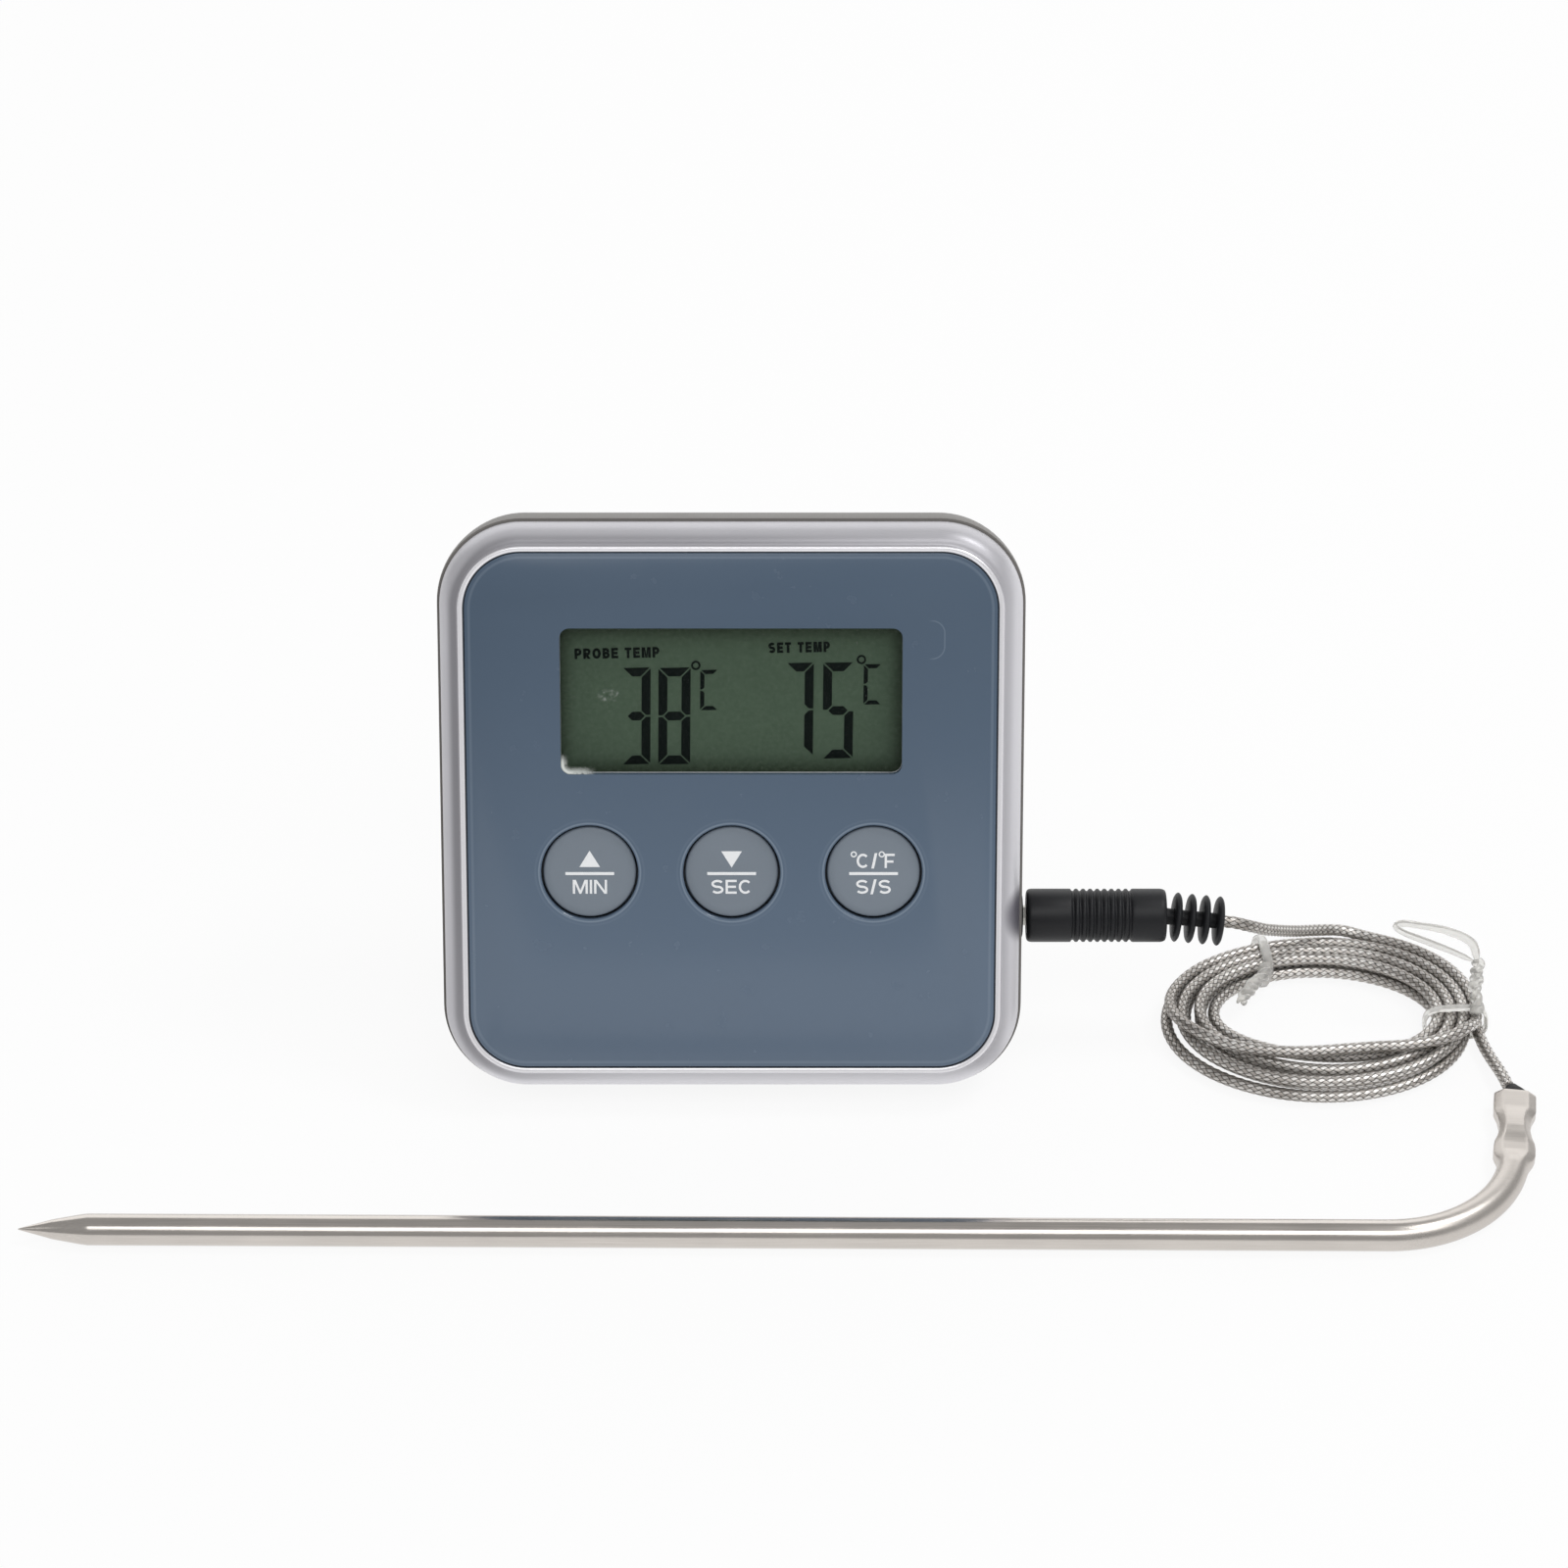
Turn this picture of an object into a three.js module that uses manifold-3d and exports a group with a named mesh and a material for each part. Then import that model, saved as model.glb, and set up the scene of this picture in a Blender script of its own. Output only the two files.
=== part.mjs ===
// Kitchen timer and meat thermometer with a needle probe on a braided steel lead.
//
// Millimetres. X runs to the right, Y away from the viewer, Z up from the table.
// The display unit is modelled flat in a frame of its own: its origin is the middle of the
// face, x to the right, y up the face, z out of the face, with the panel's surface at z = 0.
// It then leans back on its lower rear edge and on a fold-out stand.
import * as THREE from 'three';
import { mergeVertices } from 'three/addons/utils/BufferGeometryUtils.js';
import Module from 'manifold-3d';

// Stance
const LEAN = 21.5; // degrees that the face leans back from upright
const STAND_OPENING = 43; // degrees from the folded stand to the open one

// Clearances
const SEAT = 0.3; // between two pieces that rest on each other
const SKIN = 0.1; // between thin layers of a stack
const SLIDE = 0.3; // round a piece that slides or turns

// Case
const CASE_SIZE = 70;
const CASE_CORNER = 10;
const PARTING_DEPTH = 3.7; // from the panel back to the joint of bezel and rear cover
const RIM_STEP = 0.2; // the rear cover's rim stands this far outside the bezel
const DRAFT = 9.5; // degrees of taper on the rear cover's sides
const BACK_FILLET = 3.5;
const WALL = 1.4;

// Bezel
const BEZEL_WIDTH = 3.4; // from the outline to the panel
const BAND_WIDTH = 2.35; // the convex part of it
const LIP_HEIGHT = 0.12; // the bright inner lip stands this far above the panel
const LIP_VALLEY = 0.3; // and the band ends this far below the lip
const FLOOR_THICK = 1.2;
const TONGUE_LENGTH = 1.5;
const TONGUE_THICK = 0.9;

// Panel, window and display
const PANEL_THICK = 1.0;
const ADHESIVE_THICK = 0.3;
const ADHESIVE_INSET = 0.6;
const WINDOW_WIDTH = 41;
const WINDOW_HEIGHT = 17.9;
const WINDOW_CORNER = 1.2;
const WINDOW_DROP = 21.25; // from the case's top to the window's middle
const LCD_BORDER = 2.0; // glass beyond the window on each side
const LCD_LEDGE = 3.6; // lower strip of the front plate that carries the contacts
const LCD_PLATE = 0.7;
const REFLECTOR_THICK = 0.2;
const FRAME_RAIL = 1.7;
const ZEBRA_HEIGHT = 3.1;
const ZEBRA_WIDTH = 2.2;

// Buttons and the switches under them
const BUTTON_DROP = 42.4; // from the case's top to the buttons' middles
const BUTTON_PITCH = 17.15;
const BUTTON_DIAMETER = 11.35;
const BUTTON_HOLE = 11.75;
const BUTTON_RECESS = 0.15; // how far the caps lie below the panel's surface
const BUTTON_FLANGE = 0.8; // thickness of the flange that holds a cap in
const BUTTON_TRAVEL = 0.5;
const TACT_SIZE = 6;
const TACT_HEIGHT = 1.9;
const PLUNGER_DIAMETER = 3.2;

// Circuit board
const BOARD_THICK = 1.0;
const BOARD_EDGE = 0.9; // board left outside the holes of its screws
const BOARD_SCREW_DROP = 40; // from the case's top

// Battery
const CELL_DIAMETER = 10.5;
const CELL_LENGTH = 44.5;
const CELL_ROOM = 0.25; // free space round the cell
const CELL_TOP_GAP = 11.4; // from the case's top to the cell's axis
const BATTERY_WALL = 1.0;
const SPRING_LENGTH = 3.0;
const SPRING_TURNS = 2.5;
const SPRING_WIRE = 0.6;
const CONTACT_THICK = 0.4;
const DOOR_RAIL = 0.8; // width of the rails that guide the battery door
const DOOR_RAIL_THICK = 0.5;
const GRIP_GROOVES = 3;

// Jack and plug
const JACK_DROP = 50.58; // from the case's top to the jack's axis
const JACK_LENGTH = 11.2;
const JACK_HEIGHT = 5;
const JACK_NOSE_DIAMETER = 6.4;
const JACK_NOSE_PROUD = 0.6; // how far the nose stands out of the bezel's outline
const TIP_LEAF = 8.2; // from the jack's outer end to the leaf that touches the plug's tip
const GROUND_LEAF = 3.2;
const PLUG_DIAMETER = 2.5;
const PLUG_LENGTH = 11.3;
const HANDLE_GAP = 0.6; // bare shaft between the jack's nose and the handle
const HANDLE_DIAMETER = 6.4;
const HANDLE_LENGTH = 17.2;
const HANDLE_GROOVES = 8;
const GROOVE_PITCH = 0.94;
const GROOVE_DEPTH = 0.3;
const GROOVES_FROM = 5.9; // from the handle's end to the first groove
const RELIEF_CORE = 1.9; // diameter
const RELIEF_FIN = 6.1; // diameter
const RELIEF_FINS = 4;
const FIN_PITCH = 1.76;
const FIN_THICK = 1.05;
const RELIEF_DROOP = 6.5; // degrees
const RELIEF_PIVOT = 1.15; // it droops about a point this far inside the handle

// Stand
const STAND_WIDTH = 26;
const STAND_THICK = 2;
const STAND_HINGE_DROP = 36.5; // from the case's top to the hinge
const STAND_HINGE_DEPTH = 1.4; // from the back to the hinge axis
const STAND_RECESS = 3.0;
const TRUNNION_DIAMETER = 1.6;
const TRUNNION_LENGTH = 1.0;

// Pieces on the back
const MAGNET_DIAMETER = 10;
const MAGNET_THICK = 2.2;
const MAGNET_PROUD = 0.2;
const MAGNET_INSET = 11.5; // from the case's side
const MAGNET_DROP = 36; // from the case's top
const SWITCH_GAP = 10.1; // from the upper case screws to the switches
const SWITCH_DROP = 24.8;
const SWITCH_TRAVEL = 2.5;
const KNOB_WIDTH = 3;
const KNOB_HEIGHT = 2.6;
const BUZZER_DIAMETER = 12;
const BUZZER_THICK = 0.8;
const CASE_SCREW_DROP = 23; // the upper pair, from the case's top
const CASE_SCREW_INSET = 10.2; // the lower pair, from the case's side
const CASE_SCREW_RISE = 7.6; // and from its foot
const SCREW_SHANK = 2.3; // diameter
const SCREW_HEAD = 4.2; // diameter
const SCREW_HEAD_HEIGHT = 1.4;
const SCREW_SUNK = 1.0; // from the back to the head
const POST_DIAMETER = 4.6;
const POST_DEPTH = 9.0; // from the panel's surface to the bezel posts' ends

// Probe, lying on the table in front of the unit
const PROBE_DIAMETER = 3.78;
const PROBE_WALL = 0.35;
const PROBE_TIP = [-84.3, -23.2];
const PROBE_TURN = -0.4; // degrees about the vertical
const PROBE_POINT = 8.1; // length of the cone
const PROBE_STRAIGHT = 162; // from the tip to the bend
const PROBE_BEND_RADIUS = 16.8;
const PROBE_BEND = 82.6; // degrees
const PROBE_LEG = 12.5; // from the bend to the mouth
const CRIMP_WIDTH = 5.1;
const CRIMP_THICK = 2.7;
const SEAL_LENGTH = 1.4;
const SEAL_FACING = 109; // degrees from x, where the seal lets the cord out

// Cord
const CORD = 1.45; // diameter of the braided lead
const COIL_TURNS = 7;
const COIL_PITCH = 1.95; // from strand to strand
const COIL_LAYERS = 2;
const COIL_CENTRE = [73.9, 17.45];
const COIL_OUTER = [20.15, 16.0]; // half axes of the outermost strand's centre line
const COIL_START = 68; // degrees
const COIL_END = -7;
const TIE_THICK = 0.45;
const TIE_WIDTH = 1.1;
const TIE_ROOM = 0.15;
const LEAD_POINTS = [
  [60.7, 17.0, 17.3],
  [62.0, 17.0, 17.1],
  [63.4, 17.3, 16.5],
  [64.8, 18.3, 15.4],
  [66.2, 20.0, 13.8],
  [67.6, 22.1, 12.1],
  [69.0, 24.4, 10.3],
  [70.4, 26.6, 8.6],
  [71.8, 28.6, 7.1],
  [73.2, 30.3, 5.9],
  [74.6, 31.7, 4.9],
  [76.0, 32.7, 4.2],
  [77.3, 33.2, 3.8],
  [78.6, 33.3, 3.5],
  [79.8, 33.0, 3.3],
];
const TAIL_POINTS = [
  [93.9, 13.75, 1.35],
  [93.65, 12.5, 1.35],
  [93.4, 11.1, 1.4],
  [93.6, 9.6, 1.5],
  [94.1, 8.2, 1.65],
  [94.75, 6.8, 1.8],
  [95.25, 5.6, 1.88],
  [95.65, 4.35, 1.92],
];

// Sides given to round pieces
const FINE = 24;
const ROUND = 16;
const SMALL = 10;
const CORNER_STEPS = 6;
const TIE_STEPS = 24;

// Values that follow from the sizes above
const HALF = CASE_SIZE / 2;
const WINDOW_Y = HALF - WINDOW_DROP;
const BUTTON_Y = HALF - BUTTON_DROP;
const JACK_Y = HALF - JACK_DROP;
const STAND_HINGE_Y = HALF - STAND_HINGE_DROP;
const MAGNET_X = HALF - MAGNET_INSET;
const MAGNET_Y = HALF - MAGNET_DROP;
const SWITCH_Y = HALF - SWITCH_DROP;
const FLOOR_FRONT = -(PANEL_THICK + ADHESIVE_THICK + 2 * SKIN);
const FLOOR_BACK = FLOOR_FRONT - FLOOR_THICK;
const LCD_FRONT = FLOOR_BACK - SEAT;
const LCD_MIDDLE = LCD_FRONT - LCD_PLATE;
const LCD_BACK = LCD_MIDDLE - LCD_PLATE;
const REFLECTOR_BACK = LCD_BACK - SKIN / 2 - REFLECTOR_THICK;
const BOARD_FRONT = LCD_MIDDLE - ZEBRA_HEIGHT - 2 * SKIN;
const BOARD_BACK = BOARD_FRONT - BOARD_THICK;
const ROOF_FRONT = REFLECTOR_BACK - SEAT;
const CELL_SPACE_FRONT = ROOF_FRONT - BATTERY_WALL * 0.65;
const CELL_SPACE = CELL_DIAMETER + 2 * CELL_ROOM;
const CELL_Y = HALF - CELL_TOP_GAP;
const CELL_Z = CELL_SPACE_FRONT - CELL_SPACE / 2;
const CELL_SPACE_BACK = CELL_SPACE_FRONT - CELL_SPACE;
const CASE_BACK = CELL_SPACE_BACK - WALL;
const RIM_Z = -PARTING_DEPTH - SEAT;
const JACK_Z = BOARD_BACK - SKIN - JACK_HEIGHT / 2;
const RECESS_FLOOR = CASE_BACK + STAND_RECESS;
const HINGE_Z = CASE_BACK + STAND_HINGE_DEPTH;
const LCD_WIDTH = WINDOW_WIDTH + 2 * LCD_BORDER;
const LCD_TOP = WINDOW_Y + WINDOW_HEIGHT / 2 + LCD_BORDER - SEAT;
const LCD_BOTTOM = WINDOW_Y - WINDOW_HEIGHT / 2 - LCD_BORDER;
const POST_X = LCD_WIDTH / 2 + SEAT + FRAME_RAIL + SEAT + POST_DIAMETER / 2;
const SWITCH_X = POST_X - SWITCH_GAP;
const CASE_SCREW_TOP = [POST_X, HALF - CASE_SCREW_DROP];
const CASE_SCREW_BOTTOM = [HALF - CASE_SCREW_INSET, CASE_SCREW_RISE - HALF];
const BOARD_SCREW_Y = HALF - BOARD_SCREW_DROP;
const CELL_SPACE_HALF = (CELL_LENGTH + SPRING_LENGTH + 2 * CONTACT_THICK) / 2 + CELL_ROOM;
const DOOR_HALF = CELL_SPACE_HALF + CELL_ROOM;
const DOOR_BOTTOM = CELL_Y - CELL_SPACE / 2 - BATTERY_WALL - SEAT;
const NOSE_END = HALF + JACK_NOSE_PROUD;
const HANDLE_START = NOSE_END + HANDLE_GAP;

const wasm = await Module();
wasm.setup();

const rad = THREE.MathUtils.degToRad;

// Solids

function closedMesh(geometry) {
  const bare = new THREE.BufferGeometry();
  bare.setAttribute('position', geometry.getAttribute('position'));
  bare.setIndex(geometry.getIndex());
  const merged = mergeVertices(bare, 1e-4);
  const corners = merged.index.array;
  const kept = [];
  for (let i = 0; i < corners.length; i += 3) {
    const [a, b, c] = [corners[i], corners[i + 1], corners[i + 2]];
    if (a !== b && b !== c && a !== c) kept.push(a, b, c);
  }
  return { points: merged.attributes.position.array, corners: kept };
}

function solid(geometry) {
  const { points, corners } = closedMesh(geometry);
  const build = (order) =>
    new wasm.Manifold(
      new wasm.Mesh({ numProp: 3, vertProperties: points, triVerts: new Uint32Array(order) }),
    );
  const made = build(corners);
  return made.volume() > 0 ? made : build(corners.reverse());
}

function geometryOf(made) {
  const mesh = made.getMesh();
  const points = new Float32Array(mesh.numVert * 3);
  for (let i = 0; i < mesh.numVert; i += 1) {
    points.set(mesh.vertProperties.subarray(i * mesh.numProp, i * mesh.numProp + 3), i * 3);
  }
  const geometry = new THREE.BufferGeometry();
  geometry.setAttribute('position', new THREE.BufferAttribute(points, 3));
  geometry.setIndex(new THREE.BufferAttribute(new Uint32Array(mesh.triVerts), 1));
  return geometry;
}

const join = (...solids) => solids.reduce((whole, next) => whole.add(next));
const cut = (base, ...tools) => tools.reduce((whole, tool) => whole.subtract(tool), base);

function box(x0, x1, y0, y1, z0, z1) {
  const geometry = new THREE.BoxGeometry(x1 - x0, y1 - y0, z1 - z0);
  return solid(geometry.translate((x0 + x1) / 2, (y0 + y1) / 2, (z0 + z1) / 2));
}

// A cylinder or cone along z, from z0 up to z1.
function post(x, y, z0, z1, radius, sides = ROUND, topRadius = radius) {
  const geometry = new THREE.CylinderGeometry(topRadius, radius, z1 - z0, sides);
  return solid(geometry.rotateX(Math.PI / 2).translate(x, y, (z0 + z1) / 2));
}

// A cylinder or cone along x, from x0 to x1.
function rod(x0, x1, y, z, radius, sides = ROUND, endRadius = radius) {
  const geometry = new THREE.CylinderGeometry(endRadius, radius, x1 - x0, sides);
  return solid(geometry.rotateZ(-Math.PI / 2).translate((x0 + x1) / 2, y, z));
}

// A solid of revolution about x, from rows of [x, radius] in rising x.
function turned(rows, sides = ROUND) {
  const profile = [];
  profile.push(new THREE.Vector2(0, rows[0][0]));
  rows.forEach(([x, radius]) => profile.push(new THREE.Vector2(radius, x)));
  profile.push(new THREE.Vector2(0, rows[rows.length - 1][0]));
  return solid(new THREE.LatheGeometry(profile, sides).rotateZ(-Math.PI / 2));
}

function roundedRect(width, height, radius, x = 0, y = 0) {
  const r = Math.min(radius, width / 2 - 0.01, height / 2 - 0.01);
  const [left, right, low, high] = [x - width / 2, x + width / 2, y - height / 2, y + height / 2];
  const shape = new THREE.Shape();
  shape.moveTo(left + r, low);
  shape.absarc(right - r, low + r, r, -Math.PI / 2, 0);
  shape.absarc(right - r, high - r, r, 0, Math.PI / 2);
  shape.absarc(left + r, high - r, r, Math.PI / 2, Math.PI);
  shape.absarc(left + r, low + r, r, Math.PI, Math.PI * 1.5);
  shape.closePath();
  return shape;
}

// A shape in the x-y plane, made thick from z0 up to z1.
function plate(shape, z0, z1, curveSegments = 2) {
  const geometry = new THREE.ExtrudeGeometry(shape, {
    depth: z1 - z0,
    bevelEnabled: false,
    curveSegments,
  });
  return solid(geometry.translate(0, 0, z0));
}

// A shape in the y-z plane, made thick from x0 to x1.
function slice(points, x0, x1) {
  const shape = new THREE.Shape(points.map(([y, z]) => new THREE.Vector2(y, z)));
  const geometry = new THREE.ExtrudeGeometry(shape, { depth: x1 - x0, bevelEnabled: false });
  geometry.rotateX(Math.PI / 2).rotateZ(Math.PI / 2);
  return solid(geometry.translate(x0, 0, 0));
}

// A skin over rings of points, each ring with as many points and running the same way round.
function loft(rings, closed = false) {
  const count = rings[0].length;
  const points = rings.flat().flatMap((p) => [p.x, p.y, p.z]);
  const index = [];
  const spans = closed ? rings.length : rings.length - 1;
  for (let i = 0; i < spans; i += 1) {
    const next = (i + 1) % rings.length;
    for (let j = 0; j < count; j += 1) {
      const k = (j + 1) % count;
      const [a, b] = [i * count + j, i * count + k];
      const [c, d] = [next * count + k, next * count + j];
      index.push(a, b, c, a, c, d);
    }
  }
  if (!closed) {
    const last = (rings.length - 1) * count;
    for (let j = 1; j < count - 1; j += 1) {
      index.push(0, j + 1, j);
      index.push(last, last + j, last + j + 1);
    }
  }
  const geometry = new THREE.BufferGeometry();
  geometry.setAttribute('position', new THREE.Float32BufferAttribute(points, 3));
  geometry.setIndex(index);
  return solid(geometry);
}

// The case's rounded square, drawn in from the outline by inset, at height z.
function caseRing(inset, z) {
  const half = HALF - inset;
  const radius = Math.max(CASE_CORNER - inset, 0.6);
  const ring = [];
  for (let corner = 0; corner < 4; corner += 1) {
    const middle = rad(45 + 90 * corner);
    const cx = Math.sign(Math.cos(middle)) * (half - radius);
    const cy = Math.sign(Math.sin(middle)) * (half - radius);
    for (let i = 0; i <= CORNER_STEPS; i += 1) {
      const angle = rad(90 * corner + (90 * i) / CORNER_STEPS);
      ring.push(new THREE.Vector3(cx + radius * Math.cos(angle), cy + radius * Math.sin(angle), z));
    }
  }
  return ring;
}

const caseLoft = (rows) => loft(rows.map(([inset, z]) => caseRing(inset, z)));

// A round or flattened section along a line of points. size gives [half width, half height]
// at each point, where the width lies along side and the height along up.
function sectionRing(point, side, up, [a, b], sides) {
  return Array.from({ length: sides }, (_, i) => {
    const angle = (2 * Math.PI * i) / sides;
    return point
      .clone()
      .addScaledVector(side, a * Math.cos(angle))
      .addScaledVector(up, b * Math.sin(angle));
  });
}

// A tube along points that stay near one level: its sections stand on the horizontal side axis.
function levelTube(points, size, sides, closed = false) {
  const rings = points.map((point, i) => {
    const before = closed ? points.at(i - 1) : points[Math.max(i - 1, 0)];
    const after = closed ? points[(i + 1) % points.length] : points[Math.min(i + 1, points.length - 1)];
    const along = after.clone().sub(before).normalize();
    const side = new THREE.Vector3(0, 0, 1).cross(along).normalize();
    const up = along.clone().cross(side);
    return sectionRing(point, side, up, size(i), sides);
  });
  return loft(rings, closed);
}

function circleShape(radius, sides) {
  const points = Array.from({ length: sides }, (_, i) => {
    const angle = (2 * Math.PI * i) / sides;
    return new THREE.Vector2(radius * Math.cos(angle), radius * Math.sin(angle));
  });
  return new THREE.Shape(points);
}

function tubeAlong(points, radius, sides, steps) {
  const path = new THREE.CatmullRomCurve3(points, false, 'centripetal');
  const options = { extrudePath: path, steps, bevelEnabled: false };
  return solid(new THREE.ExtrudeGeometry(circleShape(radius, sides), options));
}

// Materials

function finish(colour, roughness, metalness = 0, opacity = 1) {
  return { color: colour, roughness, metalness, opacity, transparent: opacity < 1 };
}

const SATIN_SILVER = finish(0xb9b8bd, 0.38, 0.35);
const GREY_SHELL = finish(0x97928c, 0.5, 0.2);
const BLUE_GREY = finish(0x5b6f82, 0.15);
const BUTTON_GREY = finish(0x72797f, 0.5);
const DISPLAY_GREEN = finish(0x4d6450, 0.25);
const FILM = finish(0x8b9488, 0.4, 0.3);
const WHITE_PLASTIC = finish(0xd9d9d4, 0.55);
const BLACK_PLASTIC = finish(0x26282c, 0.55);
const CHIP_BLACK = finish(0x141414, 0.35);
const RUBBER = finish(0x1e1e20, 0.8);
const BOARD_GREEN = finish(0x2e5f3a, 0.45);
const TAPE = finish(0xc9cdd2, 0.7);
const STEEL = finish(0xb5b0a8, 0.25, 1);
const BRAID = finish(0x9a938b, 0.4, 0.9);
const BRASS = finish(0xb6965a, 0.3, 0.9);
const NICKEL = finish(0xa9a7a3, 0.28, 0.95);
const CELL_JACKET = finish(0x3d4a57, 0.35, 0.3);
const CLEAR_TIE = finish(0xdadde0, 0.15, 0, 0.55);
const EPOXY = finish(0x2b2320, 0.3);
const WIRE_SLEEVE = finish(0xe9e6da, 0.5);

function addPiece(parent, name, made, surface) {
  const mesh = new THREE.Mesh(geometryOf(made), new THREE.MeshStandardMaterial(surface));
  mesh.name = name;
  parent.add(mesh);
  return mesh;
}

// Front bezel

function bezelOuter() {
  const rows = [];
  const crown = LIP_HEIGHT - LIP_VALLEY;
  for (let i = 0; i <= 5; i += 1) {
    const angle = rad(18 * i);
    rows.push([
      BAND_WIDTH * (1 - Math.cos(angle)),
      -PARTING_DEPTH + (PARTING_DEPTH + crown) * Math.sin(angle),
    ]);
  }
  const lip = BEZEL_WIDTH - BAND_WIDTH;
  rows.push([BAND_WIDTH + lip * 0.15, LIP_HEIGHT - LIP_VALLEY * 0.2]);
  rows.push([BAND_WIDTH + lip * 0.35, LIP_HEIGHT]);
  rows.push([BAND_WIDTH + lip * 0.55, LIP_HEIGHT]);
  return caseLoft(rows);
}

const BUTTON_XS = [-BUTTON_PITCH, 0, BUTTON_PITCH];
const FLOOR_HOLE = BUTTON_HOLE + SLIDE;
const CASE_SCREWS = [
  [-CASE_SCREW_TOP[0], CASE_SCREW_TOP[1]],
  CASE_SCREW_TOP,
  [-CASE_SCREW_BOTTOM[0], CASE_SCREW_BOTTOM[1]],
  CASE_SCREW_BOTTOM,
];
const BOARD_SCREWS = [
  [-POST_X, BOARD_SCREW_Y],
  [POST_X, BOARD_SCREW_Y],
];
const PILOT_RADIUS = SCREW_SHANK / 2 + SEAT;
const BOARD_SHANK = 1.8;

function frontBezel() {
  const inside = BEZEL_WIDTH - SEAT;
  const wallInset = WALL + TONGUE_THICK + SKIN;
  let bezel = cut(
    bezelOuter(),
    caseLoft([[inside, FLOOR_FRONT], [inside, LIP_HEIGHT + 1]]),
    caseLoft([[wallInset, -PARTING_DEPTH - 1], [wallInset, FLOOR_BACK]]),
    plate(
      roundedRect(WINDOW_WIDTH + 2 * SEAT, WINDOW_HEIGHT + 2 * SEAT, WINDOW_CORNER, 0, WINDOW_Y),
      FLOOR_BACK - 1,
      0,
    ),
    ...BUTTON_XS.map((x) => post(x, BUTTON_Y, FLOOR_BACK - 1, 0, FLOOR_HOLE / 2, FINE)),
  );
  const tongueOut = WALL + SKIN;
  const tongue = cut(
    caseLoft([[tongueOut, -PARTING_DEPTH - TONGUE_LENGTH], [tongueOut, -PARTING_DEPTH + 0.5]]),
    caseLoft([[wallInset, -PARTING_DEPTH - 3], [wallInset, 0]]),
  );
  bezel = join(bezel, tongue);
  CASE_SCREWS.forEach(([x, y]) => {
    bezel = join(bezel, post(x, y, -POST_DEPTH, FLOOR_BACK + 0.2, POST_DIAMETER / 2));
    bezel = cut(bezel, post(x, y, -POST_DEPTH - 1, FLOOR_BACK - SEAT, PILOT_RADIUS, SMALL));
  });
  BOARD_SCREWS.forEach(([x, y]) => {
    bezel = join(bezel, post(x, y, BOARD_FRONT + SEAT, FLOOR_BACK + 0.2, POST_DIAMETER / 2));
    bezel = cut(bezel, post(x, y, BOARD_FRONT - 1, FLOOR_BACK - SEAT, BOARD_SHANK / 2 + SEAT, SMALL));
  });
  return bezel;
}

// Panel and its adhesive

function facePanel() {
  const holes = BUTTON_XS.map((x) => post(x, BUTTON_Y, -PANEL_THICK - 1, 1, BUTTON_HOLE / 2, FINE));
  return cut(caseLoft([[BEZEL_WIDTH, -PANEL_THICK], [BEZEL_WIDTH, 0]]), ...holes);
}

function panelAdhesive() {
  const inset = BEZEL_WIDTH + ADHESIVE_INSET;
  const [back, front] = [FLOOR_FRONT + SKIN, -PANEL_THICK - SKIN];
  const window = roundedRect(WINDOW_WIDTH, WINDOW_HEIGHT, WINDOW_CORNER, 0, WINDOW_Y);
  const room = FLOOR_HOLE / 2 + ADHESIVE_INSET;
  return cut(
    caseLoft([[inset, back], [inset, front]]),
    plate(window, back - 1, front + 1),
    ...BUTTON_XS.map((x) => post(x, BUTTON_Y, back - 1, front + 1, room)),
  );
}

// Display

function lcdCell() {
  const middle = (LCD_TOP + LCD_BOTTOM) / 2;
  const front = plate(
    roundedRect(LCD_WIDTH, LCD_TOP - LCD_BOTTOM, 0.2, 0, middle),
    LCD_MIDDLE - SKIN,
    LCD_FRONT,
    1,
  );
  const ledge = box(
    -LCD_WIDTH,
    LCD_WIDTH,
    LCD_BOTTOM - 1,
    LCD_BOTTOM + LCD_LEDGE,
    LCD_MIDDLE - 1,
    LCD_MIDDLE,
  );
  const rear = box(
    -LCD_WIDTH / 2,
    LCD_WIDTH / 2,
    LCD_BOTTOM + LCD_LEDGE,
    LCD_TOP,
    LCD_BACK,
    LCD_MIDDLE,
  );
  return join(cut(front, ledge), rear);
}

function lcdReflector() {
  return box(
    -LCD_WIDTH / 2 + SEAT,
    LCD_WIDTH / 2 - SEAT,
    LCD_BOTTOM + LCD_LEDGE + SEAT,
    LCD_TOP - SEAT,
    REFLECTOR_BACK,
    LCD_BACK - SKIN / 2,
  );
}

const ZEBRA_Y = LCD_BOTTOM + LCD_LEDGE / 2;
const ZEBRA_LENGTH = LCD_WIDTH - 6;

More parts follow.
